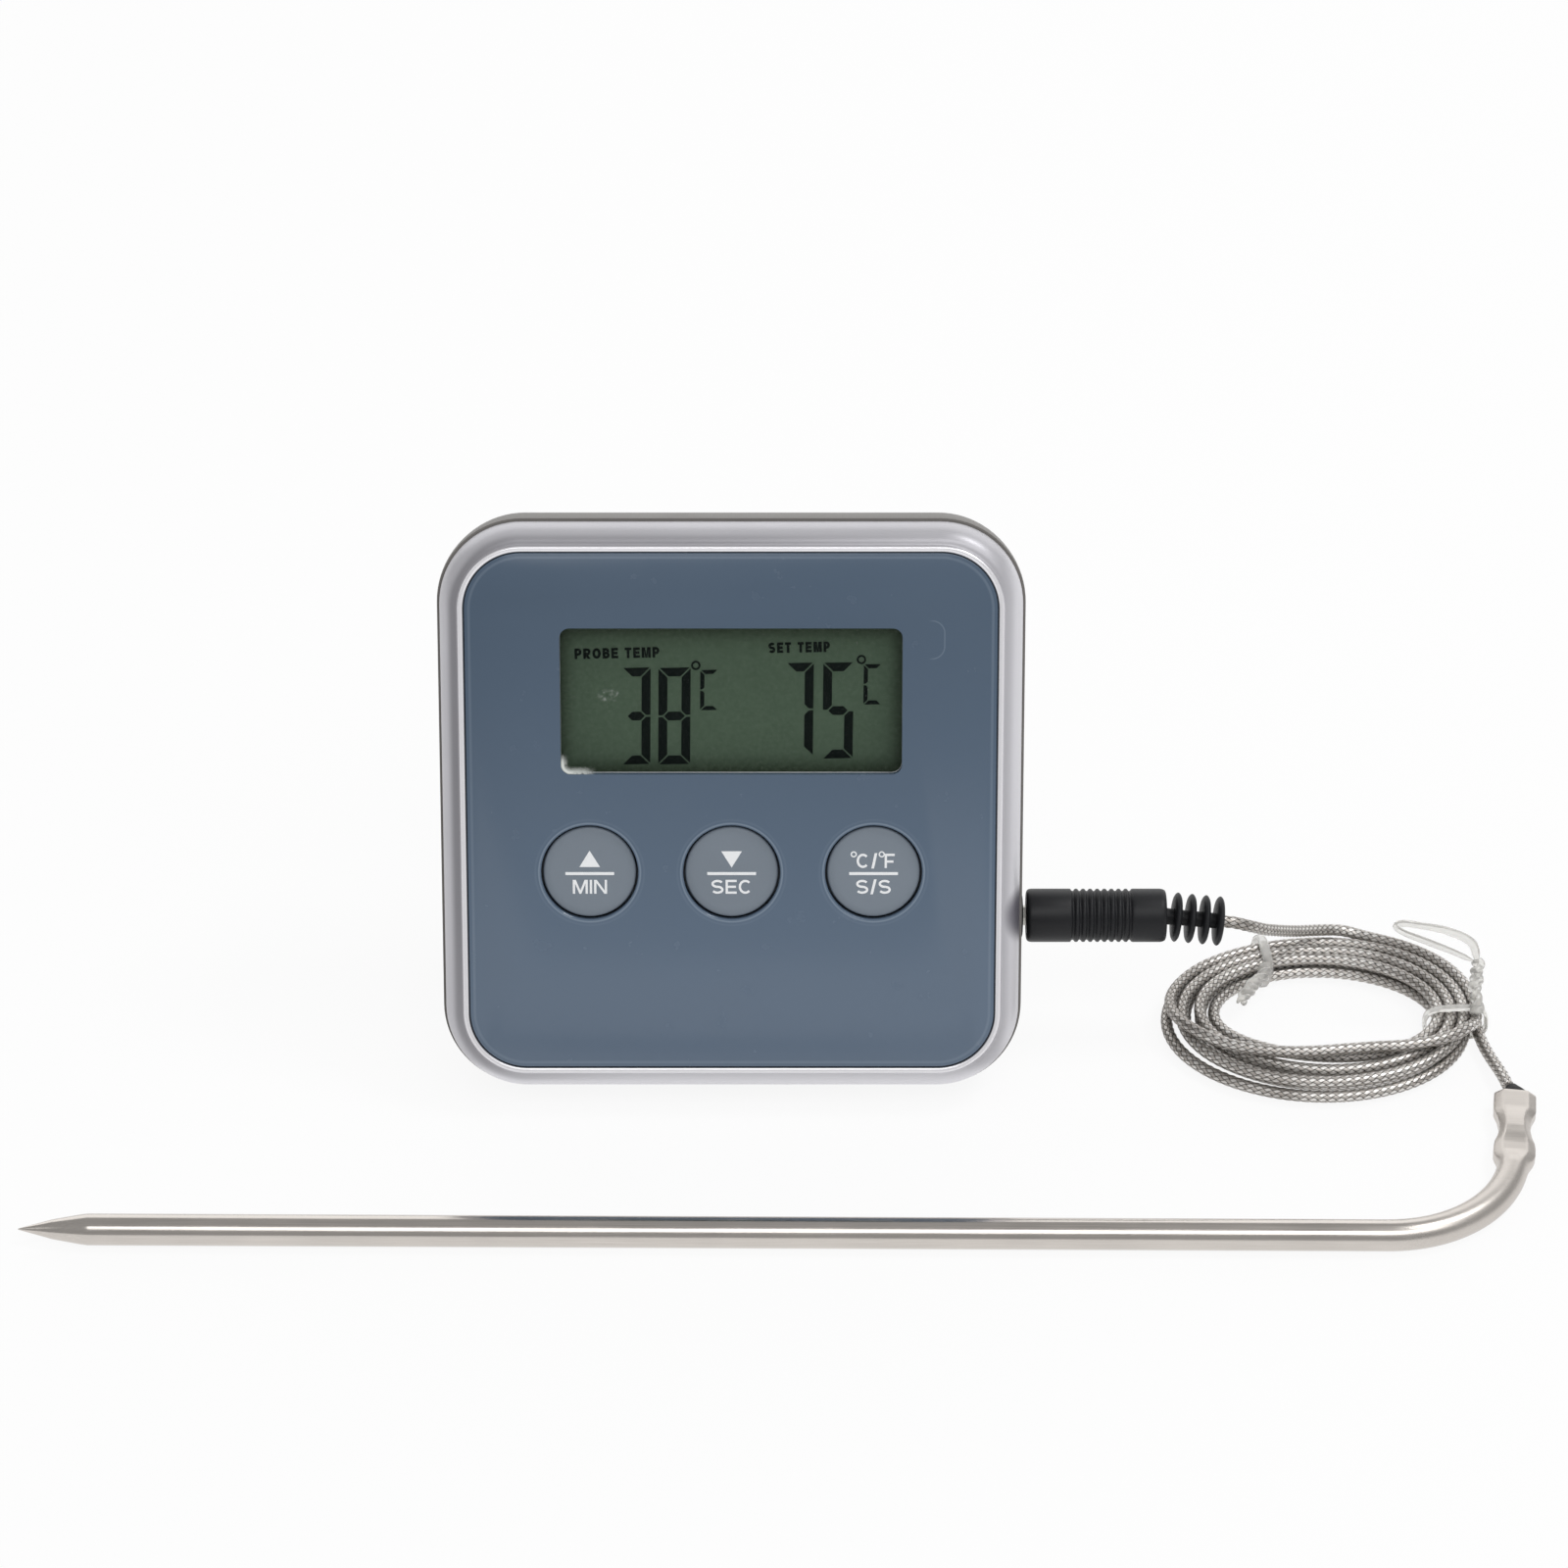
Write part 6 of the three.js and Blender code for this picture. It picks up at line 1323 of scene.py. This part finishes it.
def word(name, text, x, y, z, finish, stroke, tilt=0.0, place=on_unit):
    """Letters as one thin mesh that fills a box, each letter on the same low and high level."""
    size = y[1] - y[0]
    gap = 0.09 + stroke * 0.3
    fixed = gap * (len(text) - 1) + stroke * text.count("I")
    stretch = ((x[1] - x[0]) / size - fixed) / sum(LETTER_WIDTH[c] for c in text if c != "I")
    low, high = z, z + INK_THICK
    skins, at = [], 0.0
    for letter in text:
        width = stroke if letter == "I" else LETTER_WIDTH[letter] * stretch
        for outline in glyph(letter, width, stroke):
            ring = isinstance(outline, tuple)
            shapes = [np.asarray(shape, float) * size + [at * size, 0]
                      for shape in (outline if ring else [outline])]
            shapes = [leaned(shape, tilt, x[0], y[0]) for shape in shapes]
            rings = levels(shapes[0], low, high)
            if ring:
                rings += levels(shapes[1], high, low)
            skins.append(skin(rings, loop=ring))
        at += width + gap
    return printed(name, skins, finish, place)


def flat_shape(name, outline, z, finish, place=on_unit):
    """A thin plate with a drawn outline."""
    return printed(name, [skin(levels(outline, z, z + INK_THICK))], finish, place)


def ring_shape(name, x, y, outer, inner, z, finish):
    """A thin flat ring, as a degree sign has."""
    rows = ((z, inner), (z, outer), (z + INK_THICK, outer), (z + INK_THICK, inner))
    rings = [disc_ring(x, y, height, radius, 36) for height, radius in rows]
    return printed(name, [skin(rings, loop=True)], finish)


print("letters", "".join(LETTER_WIDTH))

# %% [markdown]
# ## Buttons
#
# Each cap is turned, with a rounded rim, and sits a little below the panel, so that its hole
# throws a dark crescent on the side of the light. Its legend is printed in white: a triangle or
# letters over a line and a word. A row gives the low and high edge of a line of print.

# %% Caps and legends
CAP_TOP = -0.42
cap_rows = [(-3.0, 5.62), (-0.80, 5.62), (-0.62, 5.59), (-0.50, 5.51), (CAP_TOP, 5.36), (CAP_TOP, 4.6)]
flange_rows = [(-5.4, 1.6), (-3.8, 1.6), (-3.8, 6.6), (-3.0, 6.6)]
KEYS = (("up_minutes", -BUTTON_PITCH), ("down_seconds", 0.0), ("units_start", BUTTON_PITCH))
INK, LEGEND_STROKE = CAP_TOP + 0.004, 0.16
WORD_ROW = (BUTTON_Y - 2.72, BUTTON_Y - 0.98)
UNITS_ROW = (BUTTON_Y + 0.5, BUTTON_Y + 2.28)
BAR_ROW = (BUTTON_Y - 0.38, BUTTON_Y - 0.02)
BAR_HALF, ARROW_HALF = 2.95, 1.25


def legend(key, piece):
    return dress(piece, f"{key}_key", "white_plastic")


def legend_word(key, name, text, x, y=WORD_ROW):
    return legend(key, word(name, text, x, y, INK, legend_ink, LEGEND_STROKE))


def legend_shape(key, name, outline):
    return legend(key, flat_shape(name, outline, INK, legend_ink))


for key, x in KEYS:
    cap = post(f"cap_{key}", x, BUTTON_Y, flange_rows + cap_rows, button_grey, 72)
    dress(cap, f"{key}_key", "button", f"button_{key}")
    left, right = about(x, BAR_HALF)
    low, high = BAR_ROW
    legend_shape(key, f"bar_{key}", [(left, low), (right, low), (right, high), (left, high)])
x = -BUTTON_PITCH
low, high = BUTTON_Y + 0.62, BUTTON_Y + 2.66
legend_shape("up_minutes", "arrow_up", [(x - ARROW_HALF, low), (x + ARROW_HALF, low), (x, high)])
legend_word("up_minutes", "word_min", "MIN", about(x, 2.07))
low, high = BUTTON_Y + 0.55, BUTTON_Y + 2.58
legend_shape("down_seconds", "arrow_down", [(-ARROW_HALF, high), (0, low), (ARROW_HALF, high)])
legend_word("down_seconds", "word_sec", "SEC", about(0, 2.45))
x = BUTTON_PITCH
legend_word("units_start", "word_units_c", "C/", (x - 2.05, x + 0.45), UNITS_ROW)
legend_word("units_start", "word_units_f", "F", (x + 1.33, x + 2.55), UNITS_ROW)
for name, at in (("degree_c", x - 2.4), ("degree_f", x + 0.98)):
    legend("units_start", ring_shape(name, at, BUTTON_Y + 2.2, 0.38, 0.22, INK, legend_ink))
legend_word("units_start", "word_start", "S/S", about(x, 2.1))
print("legends ready")

# %% [markdown]
# ## Display
#
# The liquid crystal shows two temperatures. A digit is seven bars with mitred ends and narrow
# gaps, drawn at a slight lean, and the cell itself sits a little askew in its well. The bars are
# thin plates just above the cell. The small words are bold capitals in the same ink.

# %% Digits
DISPLAY_Z, BAR_THICK = -2.98, 0.02
ASKEW, SLANT, LABEL_STROKE = 0.02, 0.03, 0.245
SEGMENTS = {"3": "abgcd", "5": "afgcd", "7": "abc", "8": "abcdefg", "C": "aefd"}


def digit_bars(letter, width, height, thick, gap):
    """Outlines of a digit's bars, from its lower left corner."""
    w, h, t, g = width, height, thick, gap
    m, half = h / 2, t / 2
    outlines = {
        "a": [(g, h), (w - g, h), (w - t - g, h - t), (t + g, h - t)],
        "d": [(g, 0), (t + g, t), (w - t - g, t), (w - g, 0)],
        "g": [(half + g, m), (t + g, m + half), (w - t - g, m + half), (w - half - g, m),
              (w - t - g, m - half), (t + g, m - half)],
        "f": [(0, h - g), (t, h - t - g), (t, m + half + g), (half, m + g), (0, m + g)],
        "e": [(0, g), (0, m - g), (half, m - g), (t, m - half - g), (t, t + g)],
        "b": [(w, h - g), (w, m + g), (w - half, m + g), (w - t, m + half + g), (w - t, h - t - g)],
        "c": [(w, g), (w - t, t + g), (w - t, m - half - g), (w - half, m - g), (w, m - g)],
    }
    return [outlines[name] for name in SEGMENTS[letter]]


def digit(name, letter, x, y, width, height, thick, gap):
    skins = []
    for outline in digit_bars(letter, width, height, thick, gap):
        bar = np.array(outline, float)
        bar[:, 0] += SLANT * bar[:, 1]
        skins.append(skin(levels(leaned(bar, ASKEW, x, y), DISPLAY_Z, DISPLAY_Z + BAR_THICK)))
    return printed(name, skins, segment_ink)


BIG, SMALL = (1.07, 0.13), (0.5, 0.1)
DIGITS = (("digit_probe_tens", "3", -13.22, 5.35, 3.4, 11.9, *BIG),
          ("digit_probe_units", "8", -8.86, 5.35, 3.85, 11.9, *BIG),
          ("digit_set_tens", "7", 6.5, 6.35, 3.3, 11.5, *BIG),
          ("digit_set_units", "5", 10.95, 6.08, 3.65, 11.8, *BIG),
          ("unit_probe", "C", -3.78, 12.05, 2.15, 4.95, *SMALL),
          ("unit_set", "C", 15.88, 12.75, 2.15, 4.95, *SMALL))
for row in DIGITS:
    dress(digit(*row), "unit", "display")
for name, x, y in (("degree_probe", -4.27, 17.57), ("degree_set", 15.63, 18.29)):
    dress(ring_shape(name, x, y, 0.57, 0.33, DISPLAY_Z, segment_ink), "unit", "display")
LABELS = (("label_probe", "PROBE TEMP", (-18.8, -8.62), (18.35, 19.63)),
          ("label_set", "SET TEMP", (4.48, 11.86), (19.08, 20.36)))
for name, text, x, y in LABELS:
    dress(word(name, text, x, y, DISPLAY_Z, segment_ink, LABEL_STROKE, ASKEW), "unit", "display")
print("digits", [row[1] for row in DIGITS])

# %% [markdown]
# ## Rear shell
#
# The rear shell is one moulding: a tray that is widest just behind the silver frame, where it
# shows as a grey band with a dark joint line, and that rounds into a flat back. Inside it has a
# battery bay, screw bosses and pockets. It is built the way its mould is cut: a lofted outside,
# the hollow taken out, the blocks joined on, and then every opening milled through. A cutter that
# goes right through reaches beyond the outline or behind the back. The lower back edge rests on
# the table and is worn flat there.

# %% Outside and inside forms
BACK, WALL, RIM = -18.0, 1.4, -4.0
SHELL_SIDE = [(-0.32, RIM), (-0.38, -5.0), (-0.32, -6.5), (-0.14, -8.5), (0.2, -10.8), (0.66, -12.8),
              (1.2, -14.4), (1.9, -15.8), (2.85, -16.95), (3.95, -17.65), (5.0, -17.95), (5.9, BACK)]
side_line, side_length = smooth_line([(inset, z, 0.0) for inset, z in SHELL_SIDE], 0.6)
side_rows = [(float(inset), float(z)) for inset, z, _ in side_line]
CELL_MIDDLE, CELL_BACK, CELL_FRONT = 23.6, -16.6, -5.6
DOOR_HALF, DOOR_LOW = 24.65, 16.8
MAGNETS = ((-23.5, -1.0), (23.5, -1.0))
SCREWS = ((-27.1, 12.0), (27.1, 12.0), (-24.8, -27.4), (24.8, -27.4))
SWITCHES = (("power", -17.0), ("mode", 17.0))
SWITCH_Y, BUZZER_Y = 10.2, 8.926
HINGE_Y, HINGE_Z, HINGE_BORE = -1.5, -16.6, 1.1
BOSS_LOW, CUP_LOW, BEYOND, WORN_TO = -13.9, -14.5, 37.0, 0.05
print("shell side", round(side_length, 1), "mm")


# %% Outside, hollow and the blocks inside
def turned_piece(name, rows, y, z, sides=48):
    """A plain turned piece that lies along x."""
    return skin_piece(name, turned_along_x(rows, y, z, sides))


points, faces = skin(case_rings(side_rows))
shell_points = on_unit(points)
sunk = np.minimum(shell_points[:, 2] - WORN_TO * MM, 0.0)
shell_points -= np.outer(sunk / UP_THE_FACE[2], UP_THE_FACE)
shell = make_piece("rear_shell", shell_points, faces, grey_shell)
inside = [(0.9, RIM + 1), (0.9, RIM)]
inside += [(inset + WALL, min(z, -5.0)) for inset, z in side_rows if z > BACK + WALL + 0.3]
inside.append((inside[-1][0] + 0.4, BACK + WALL))
carve(shell, [case_block("inside", inside)])
boss_rows = [(BACK + 0.3, 3.4), (BOSS_LOW, 3.4), (BOSS_LOW, 2.3), (-9.3, 2.3)]
walls = [both_ways("hinge_block", 14.9, (-30.0, 2.35), (BACK + 0.3, -13.6)),
         both_ways("hinge_foot", 14.9, (-33.05, -29.0), (-15.9, -13.6)),
         both_ways("cell_box", 25.4, about(CELL_MIDDLE, 6.5), (BACK + 0.9, -4.95)),
         both_ways("collar", 26.75, (DOOR_LOW - 1.3, 31.6), (BACK + 0.9, -15.3))]
bosses = posts("boss", SCREWS, boss_rows, 40)
cups = posts("cup", MAGNETS, [(BACK + 0.5, 6.3), (CUP_LOW, 6.3)], 48)
carve(shell, [*bosses, *cups, *walls], "UNION")
print("shell before milling", len(shell.data.polygons), "faces")

# %% Openings in the shell
BEHIND = BACK - 1
SLOT_DEPTH = (BEHIND, BACK + 1.6)
bay = [both_ways("cell_space", 24.4, about(CELL_MIDDLE, 5.5), (CELL_BACK - 0.1, CELL_FRONT)),
       both_ways("door_gap", DOOR_HALF + 0.3, (DOOR_LOW - 0.3, BEYOND), (BEHIND, CELL_BACK + 0.3)),
       both_ways("rail_gap", DOOR_HALF + 1.1, (DOOR_LOW - 0.3, BEYOND), (CELL_BACK - 0.8, CELL_BACK + 0.3))]
recess = [both_ways("stand_recess", 13.3, (-BEYOND, 0.952), (BEHIND, -15.0)),
          turned_piece("hinge_bore", [(-14.6, HINGE_BORE), (14.6, HINGE_BORE)], HINGE_Y, HINGE_Z, 32)]
pockets = posts("magnet_pocket", MAGNETS, [(BEHIND, 5.1), (-15.9, 5.1)], 72)
wells = posts("screw_well", SCREWS, [(BEHIND, 2.4), (-15.3, 2.4), (-15.3, 0.95), (-9.0, 0.95)], 40)
slots = [block("slot", about(x, 3.05), about(SWITCH_Y, 1.6), SLOT_DEPTH, None, 0.8, 6) for _, x in SWITCHES]
sound = [block("sound_slot", about(0, 4 - abs(i)), about(BUZZER_Y + 2 * i, 0.45), SLOT_DEPTH,
               None, 0.44, 6) for i in (-2, -1, 0, 1, 2)]
jack_hole = turned_piece("jack_hole", [(27.0, 3.5), (34.7, 3.5), (34.7, 4.5), (BEYOND, 4.5)], JACK_Y, JACK_Z)
carve(shell, [*bay, *recess, *pockets, *wells, *slots, *sound, jack_hole])
dress(shell, "unit", "grey_shell", "rear_cover")
print("shell faces", len(shell.data.polygons))

# %% [markdown]
# ## Battery door
#
# The door is a slice of the shell's own form, so its outer end curves with the case. It has a
# thin rail on each side, a grip of moulded ridges and a printed arrow that shows which way
# it slides. It is the shell's loft again, cut to a box.

# %% Sliding door
door = case_block("sliding_door", side_rows, grey_shell)
carve(door, [both_ways("door_box", DOOR_HALF, (DOOR_LOW, BEYOND), (BEHIND, CELL_BACK))], "INTERSECT")
rails = case_block("rails", side_rows)
rail_z = (CELL_BACK - 0.5, CELL_BACK - 0.02)
carve(rails, [both_ways("rail_box", DOOR_HALF + 0.8, (DOOR_LOW + 0.02, BEYOND), rail_z)], "INTERSECT")
carve(door, [rails], "UNION")
grip_rows = [DOOR_LOW + 1.1 * i for i in range(5)]
carve(door, [both_ways("grip", 6, (y + 1.4, y + 1.95), (BEHIND, BACK + 0.35)) for y in grip_rows])
dress(door, "door", "grey_shell", "battery_door")


BACK_STROKE = 0.17


def on_back(points):
    """A drawing on the back face, seen from behind: x to the reader's right, z out of the back."""
    p = np.asarray(points, float)
    return on_unit(np.stack([-p[..., 0], p[..., 1], BACK - p[..., 2]], axis=-1))


def back_word(name, text, x, y, body):
    made = word(name, text, x, y, 0.0, mark_ink, BACK_STROKE, place=on_back)
    return dress(made, body, "white_plastic")


arrow = flat_shape("door_arrow", [(-1.7, 25.7), (1.7, 25.7), (0.0, 28.1)], 0.0, mark_ink, on_back)
dress(arrow, "door", "white_plastic")
back_word("word_open", "OPEN", (3.2, 8.6), (26.0, 27.6), "door")
print("door faces", len(door.data.polygons))

# %% [markdown]
# ## Slide switches
#
# Two ribbed knobs stand in slots. Each is a stem with three grooves for the fingertip, and a
# wide flange inside that keeps it in. The words beside them are printed.

# %% Knobs and their words
for name, x in SWITCHES:
    left = x - 1.25
    knob = block(f"{name}_knob_ribbed", about(left, 1.5), about(SWITCH_Y, 1.3), (BACK + 0.3, -12.9),
                 black_plastic, 0.25)
    carve(knob, [block("flange", about(left, 3.1), about(SWITCH_Y, 2.4), (-16.3, -15.5))], "UNION")
    carve(knob, [block("rib", about(left + 0.8 * i, 0.2), about(SWITCH_Y, 3), (BACK, BACK + 0.7))
                 for i in (-1, 0, 1)])
    dress(knob, f"{name}_knob", "black_plastic", f"{name}_switch_knob")
WORDS = (("word_on", "ON", (18.2, 20.4)), ("word_off", "OFF", (13.4, 16.5)),
         ("word_temp", "TEMP", (-16.6, -12.4)), ("word_time", "TIME", (-22.0, -18.2)))
for name, text, x in WORDS:
    back_word(name, text, x, (13.0, 14.3), "unit")
print("switches ready")

# %% [markdown]
# ## Screws and magnets
#
# Four cross-head screws close the case, in two pairs. One head is turned and its cross milled,
# and the node tree repeats it. The two magnets are nickel-plated discs with a small chamfer.

# %% Screws in pairs
screw_rows = [(-17.0, 0.5), (-16.98, 1.1), (-16.88, 1.6), (-16.7, 1.92), (-16.45, 2.08), (-16.2, 2.1),
              (-15.6, 2.1), (-15.6, 1.12), (-5.4, 1.12), (-4.3, 0.25)]
CROSS = ((1.3, 0.26), (0.26, 1.3))
PAIRS = (("upper_screws", SCREWS[0], "case_screw_1", "case_screw_2"),
         ("lower_screws", SCREWS[2], "case_screw_3", "case_screw_4"))
for name, (x, y), *solids in PAIRS:
    screw = post(name, x, y, screw_rows, nickel, 40)
    carve(screw, [block("cross", about(x, a), about(y, b), (-18, -16.35)) for a, b in CROSS])
    repeat(screw, 2, (-2 * x * MM, 0.0, 0.0), nickel)
    dress(screw, "unit", "nickel", *solids)
magnet_rows = [(-18.2, 4.6), (-18.17, 4.78), (-18.08, 4.93), (-17.9, 5.0), (-16.1, 5.0), (-16.0, 4.9)]
for side, (x, y) in zip(("left", "right"), MAGNETS):
    magnet = post(f"{side}_magnet_disc", x, y, magnet_rows, nickel, 96)
    dress(magnet, "unit", "nickel", f"magnet_{side}")
print("screws and magnets ready")

# %% [markdown]
# ## Jack
#
# The jack is a black block inside the case with a bored nose that comes out of its side. The
# nose flares against the case, which is the dark cone beside the plug in the photograph.

# %% Jack with its nose
jack = block("jack_socket", (20.5, 31.7), about(JACK_Y, 2.5), about(JACK_Z, 2.5), black_plastic)
nose_rows = [(31.2, 2.4), (31.5, 3.2), (34.72, 3.2), (34.74, 4.25), (34.9, 4.3), (35.05, 4.15),
             (35.68, 2.6), (35.72, 2.45), (35.72, 1.0)]
carve(jack, [turned_piece("nose", nose_rows, JACK_Y, JACK_Z)], "UNION")
bore = turned_piece("bore", [(21.5, 1.55), (BEYOND, 1.55)], JACK_Y, JACK_Z)
windows = [block("leaf_window", about(x, 1.3), about(JACK_Y, 1), (JACK_Z - 3.5, JACK_Z))
           for x in (23.5, 28.5)]
carve(jack, [bore, *windows])
dress(jack, "unit", "black_plastic", "jack_body")
print("jack faces", len(jack.data.polygons))

# %% [markdown]
# ## Stand
#
# The foot is a moulded plate that turns on two stub pins. The CAD solid has the right form, with
# its window, notch and ribs, and only its edges are too sharp. So a copy of its mesh is merged
# and its edges are rounded, as the mould would leave them.

# %% Rounded copy of a solid
EDGE_ROUND, EDGE_ANGLE = 0.22, 40.0


def rounded_copy(name, node, finish):
    """A solid's mesh, merged, with the edges sharper than an angle rounded as a mould leaves them."""
    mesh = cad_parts[node].data.copy()
    mesh.name = name
    rework(mesh, 1e-6, 1.0)
    mesh.materials.clear()
    mesh.materials.append(finish.material)
    piece = link_object(name, mesh)
    step = piece.modifiers.new("round", "BEVEL")
    step.width, step.segments, step.harden_normals = EDGE_ROUND * MM, 3, False
    step.limit_method, step.angle_limit = "ANGLE", math.radians(EDGE_ANGLE)
    apply_all(piece)
    smooth(piece.data, EDGE_ANGLE)
    return piece


stand = rounded_copy("fold_stand", "stand", grey_shell)
dress(stand, "stand_leg", "grey_shell", "stand")
print("stand faces", len(stand.data.polygons))

# %% [markdown]
# ## Solids that keep their CAD shape
#
# The pieces inside the case are right as they are. Each keeps its mesh and gets the finish of
# its material. The solids that a piece stands for get it too.

# %% Finishes for the carried-over solids
FINISH_OF = {
    satin_silver: ["front_bezel"],
    grey_shell: ["rear_cover", "battery_door", "stand"],
    panel_blue: ["face_panel"],
    button_grey: ["button_up_minutes", "button_down_seconds", "button_units_start"],
    display_green: ["lcd_cell"],
    film_silver: ["lcd_reflector"],
    white_plastic: ["lcd_frame", "tact_plunger_1", "tact_plunger_2", "tact_plunger_3"],
    black_plastic: ["jack_body", "plug_handle", "strain_relief", "tact_body_1", "tact_body_2",
                    "tact_body_3", "power_switch_body", "mode_switch_body", "power_switch_knob",
                    "mode_switch_knob"],
    chip_black: ["chip_blob", "plug_insulator"],
    rubber: ["zebra_strip", "probe_seal"],
    board_green: ["circuit_board"],
    tape_grey: ["panel_adhesive"],
    brushed_steel: ["probe_tube"],
    steel_braid: ["cord_lead", "cord_coil", "cord_tail"],
    brass: ["buzzer_disc", "jack_tip_spring", "jack_ground_spring"],
    nickel: ["battery_spring", "battery_plate", "magnet_left", "magnet_right", "plug_tip",
             "plug_sleeve", "case_screw_1", "case_screw_2", "case_screw_3", "case_screw_4",
             "board_screw_1", "board_screw_2"],
    cell_jacket: ["battery_cell"],
    clear_tie: ["twist_tie_left", "twist_tie_right"],
    epoxy: ["thermistor_bead"],
    wire_sleeve: ["sensor_wires"],
}
for finish, names in FINISH_OF.items():
    for name in names:
        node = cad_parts[name]
        if not node.material_slots:
            node.data.materials.append(finish.material)
        for place in node.material_slots:
            place.material = finish.material
finished = sum(len(names) for names in FINISH_OF.values())
print("carried over", finished, "of", len(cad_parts), "nodes")

# %% [markdown]
# ## The cord's plug end and points
#
# The cord is one free cable.

# %% Cord facts
tuple(on_unit([35.6, JACK_Y, JACK_Z]))
[tuple(p) for p in on_table(cord_line)]
print("dressed", len(dressed), "pieces")
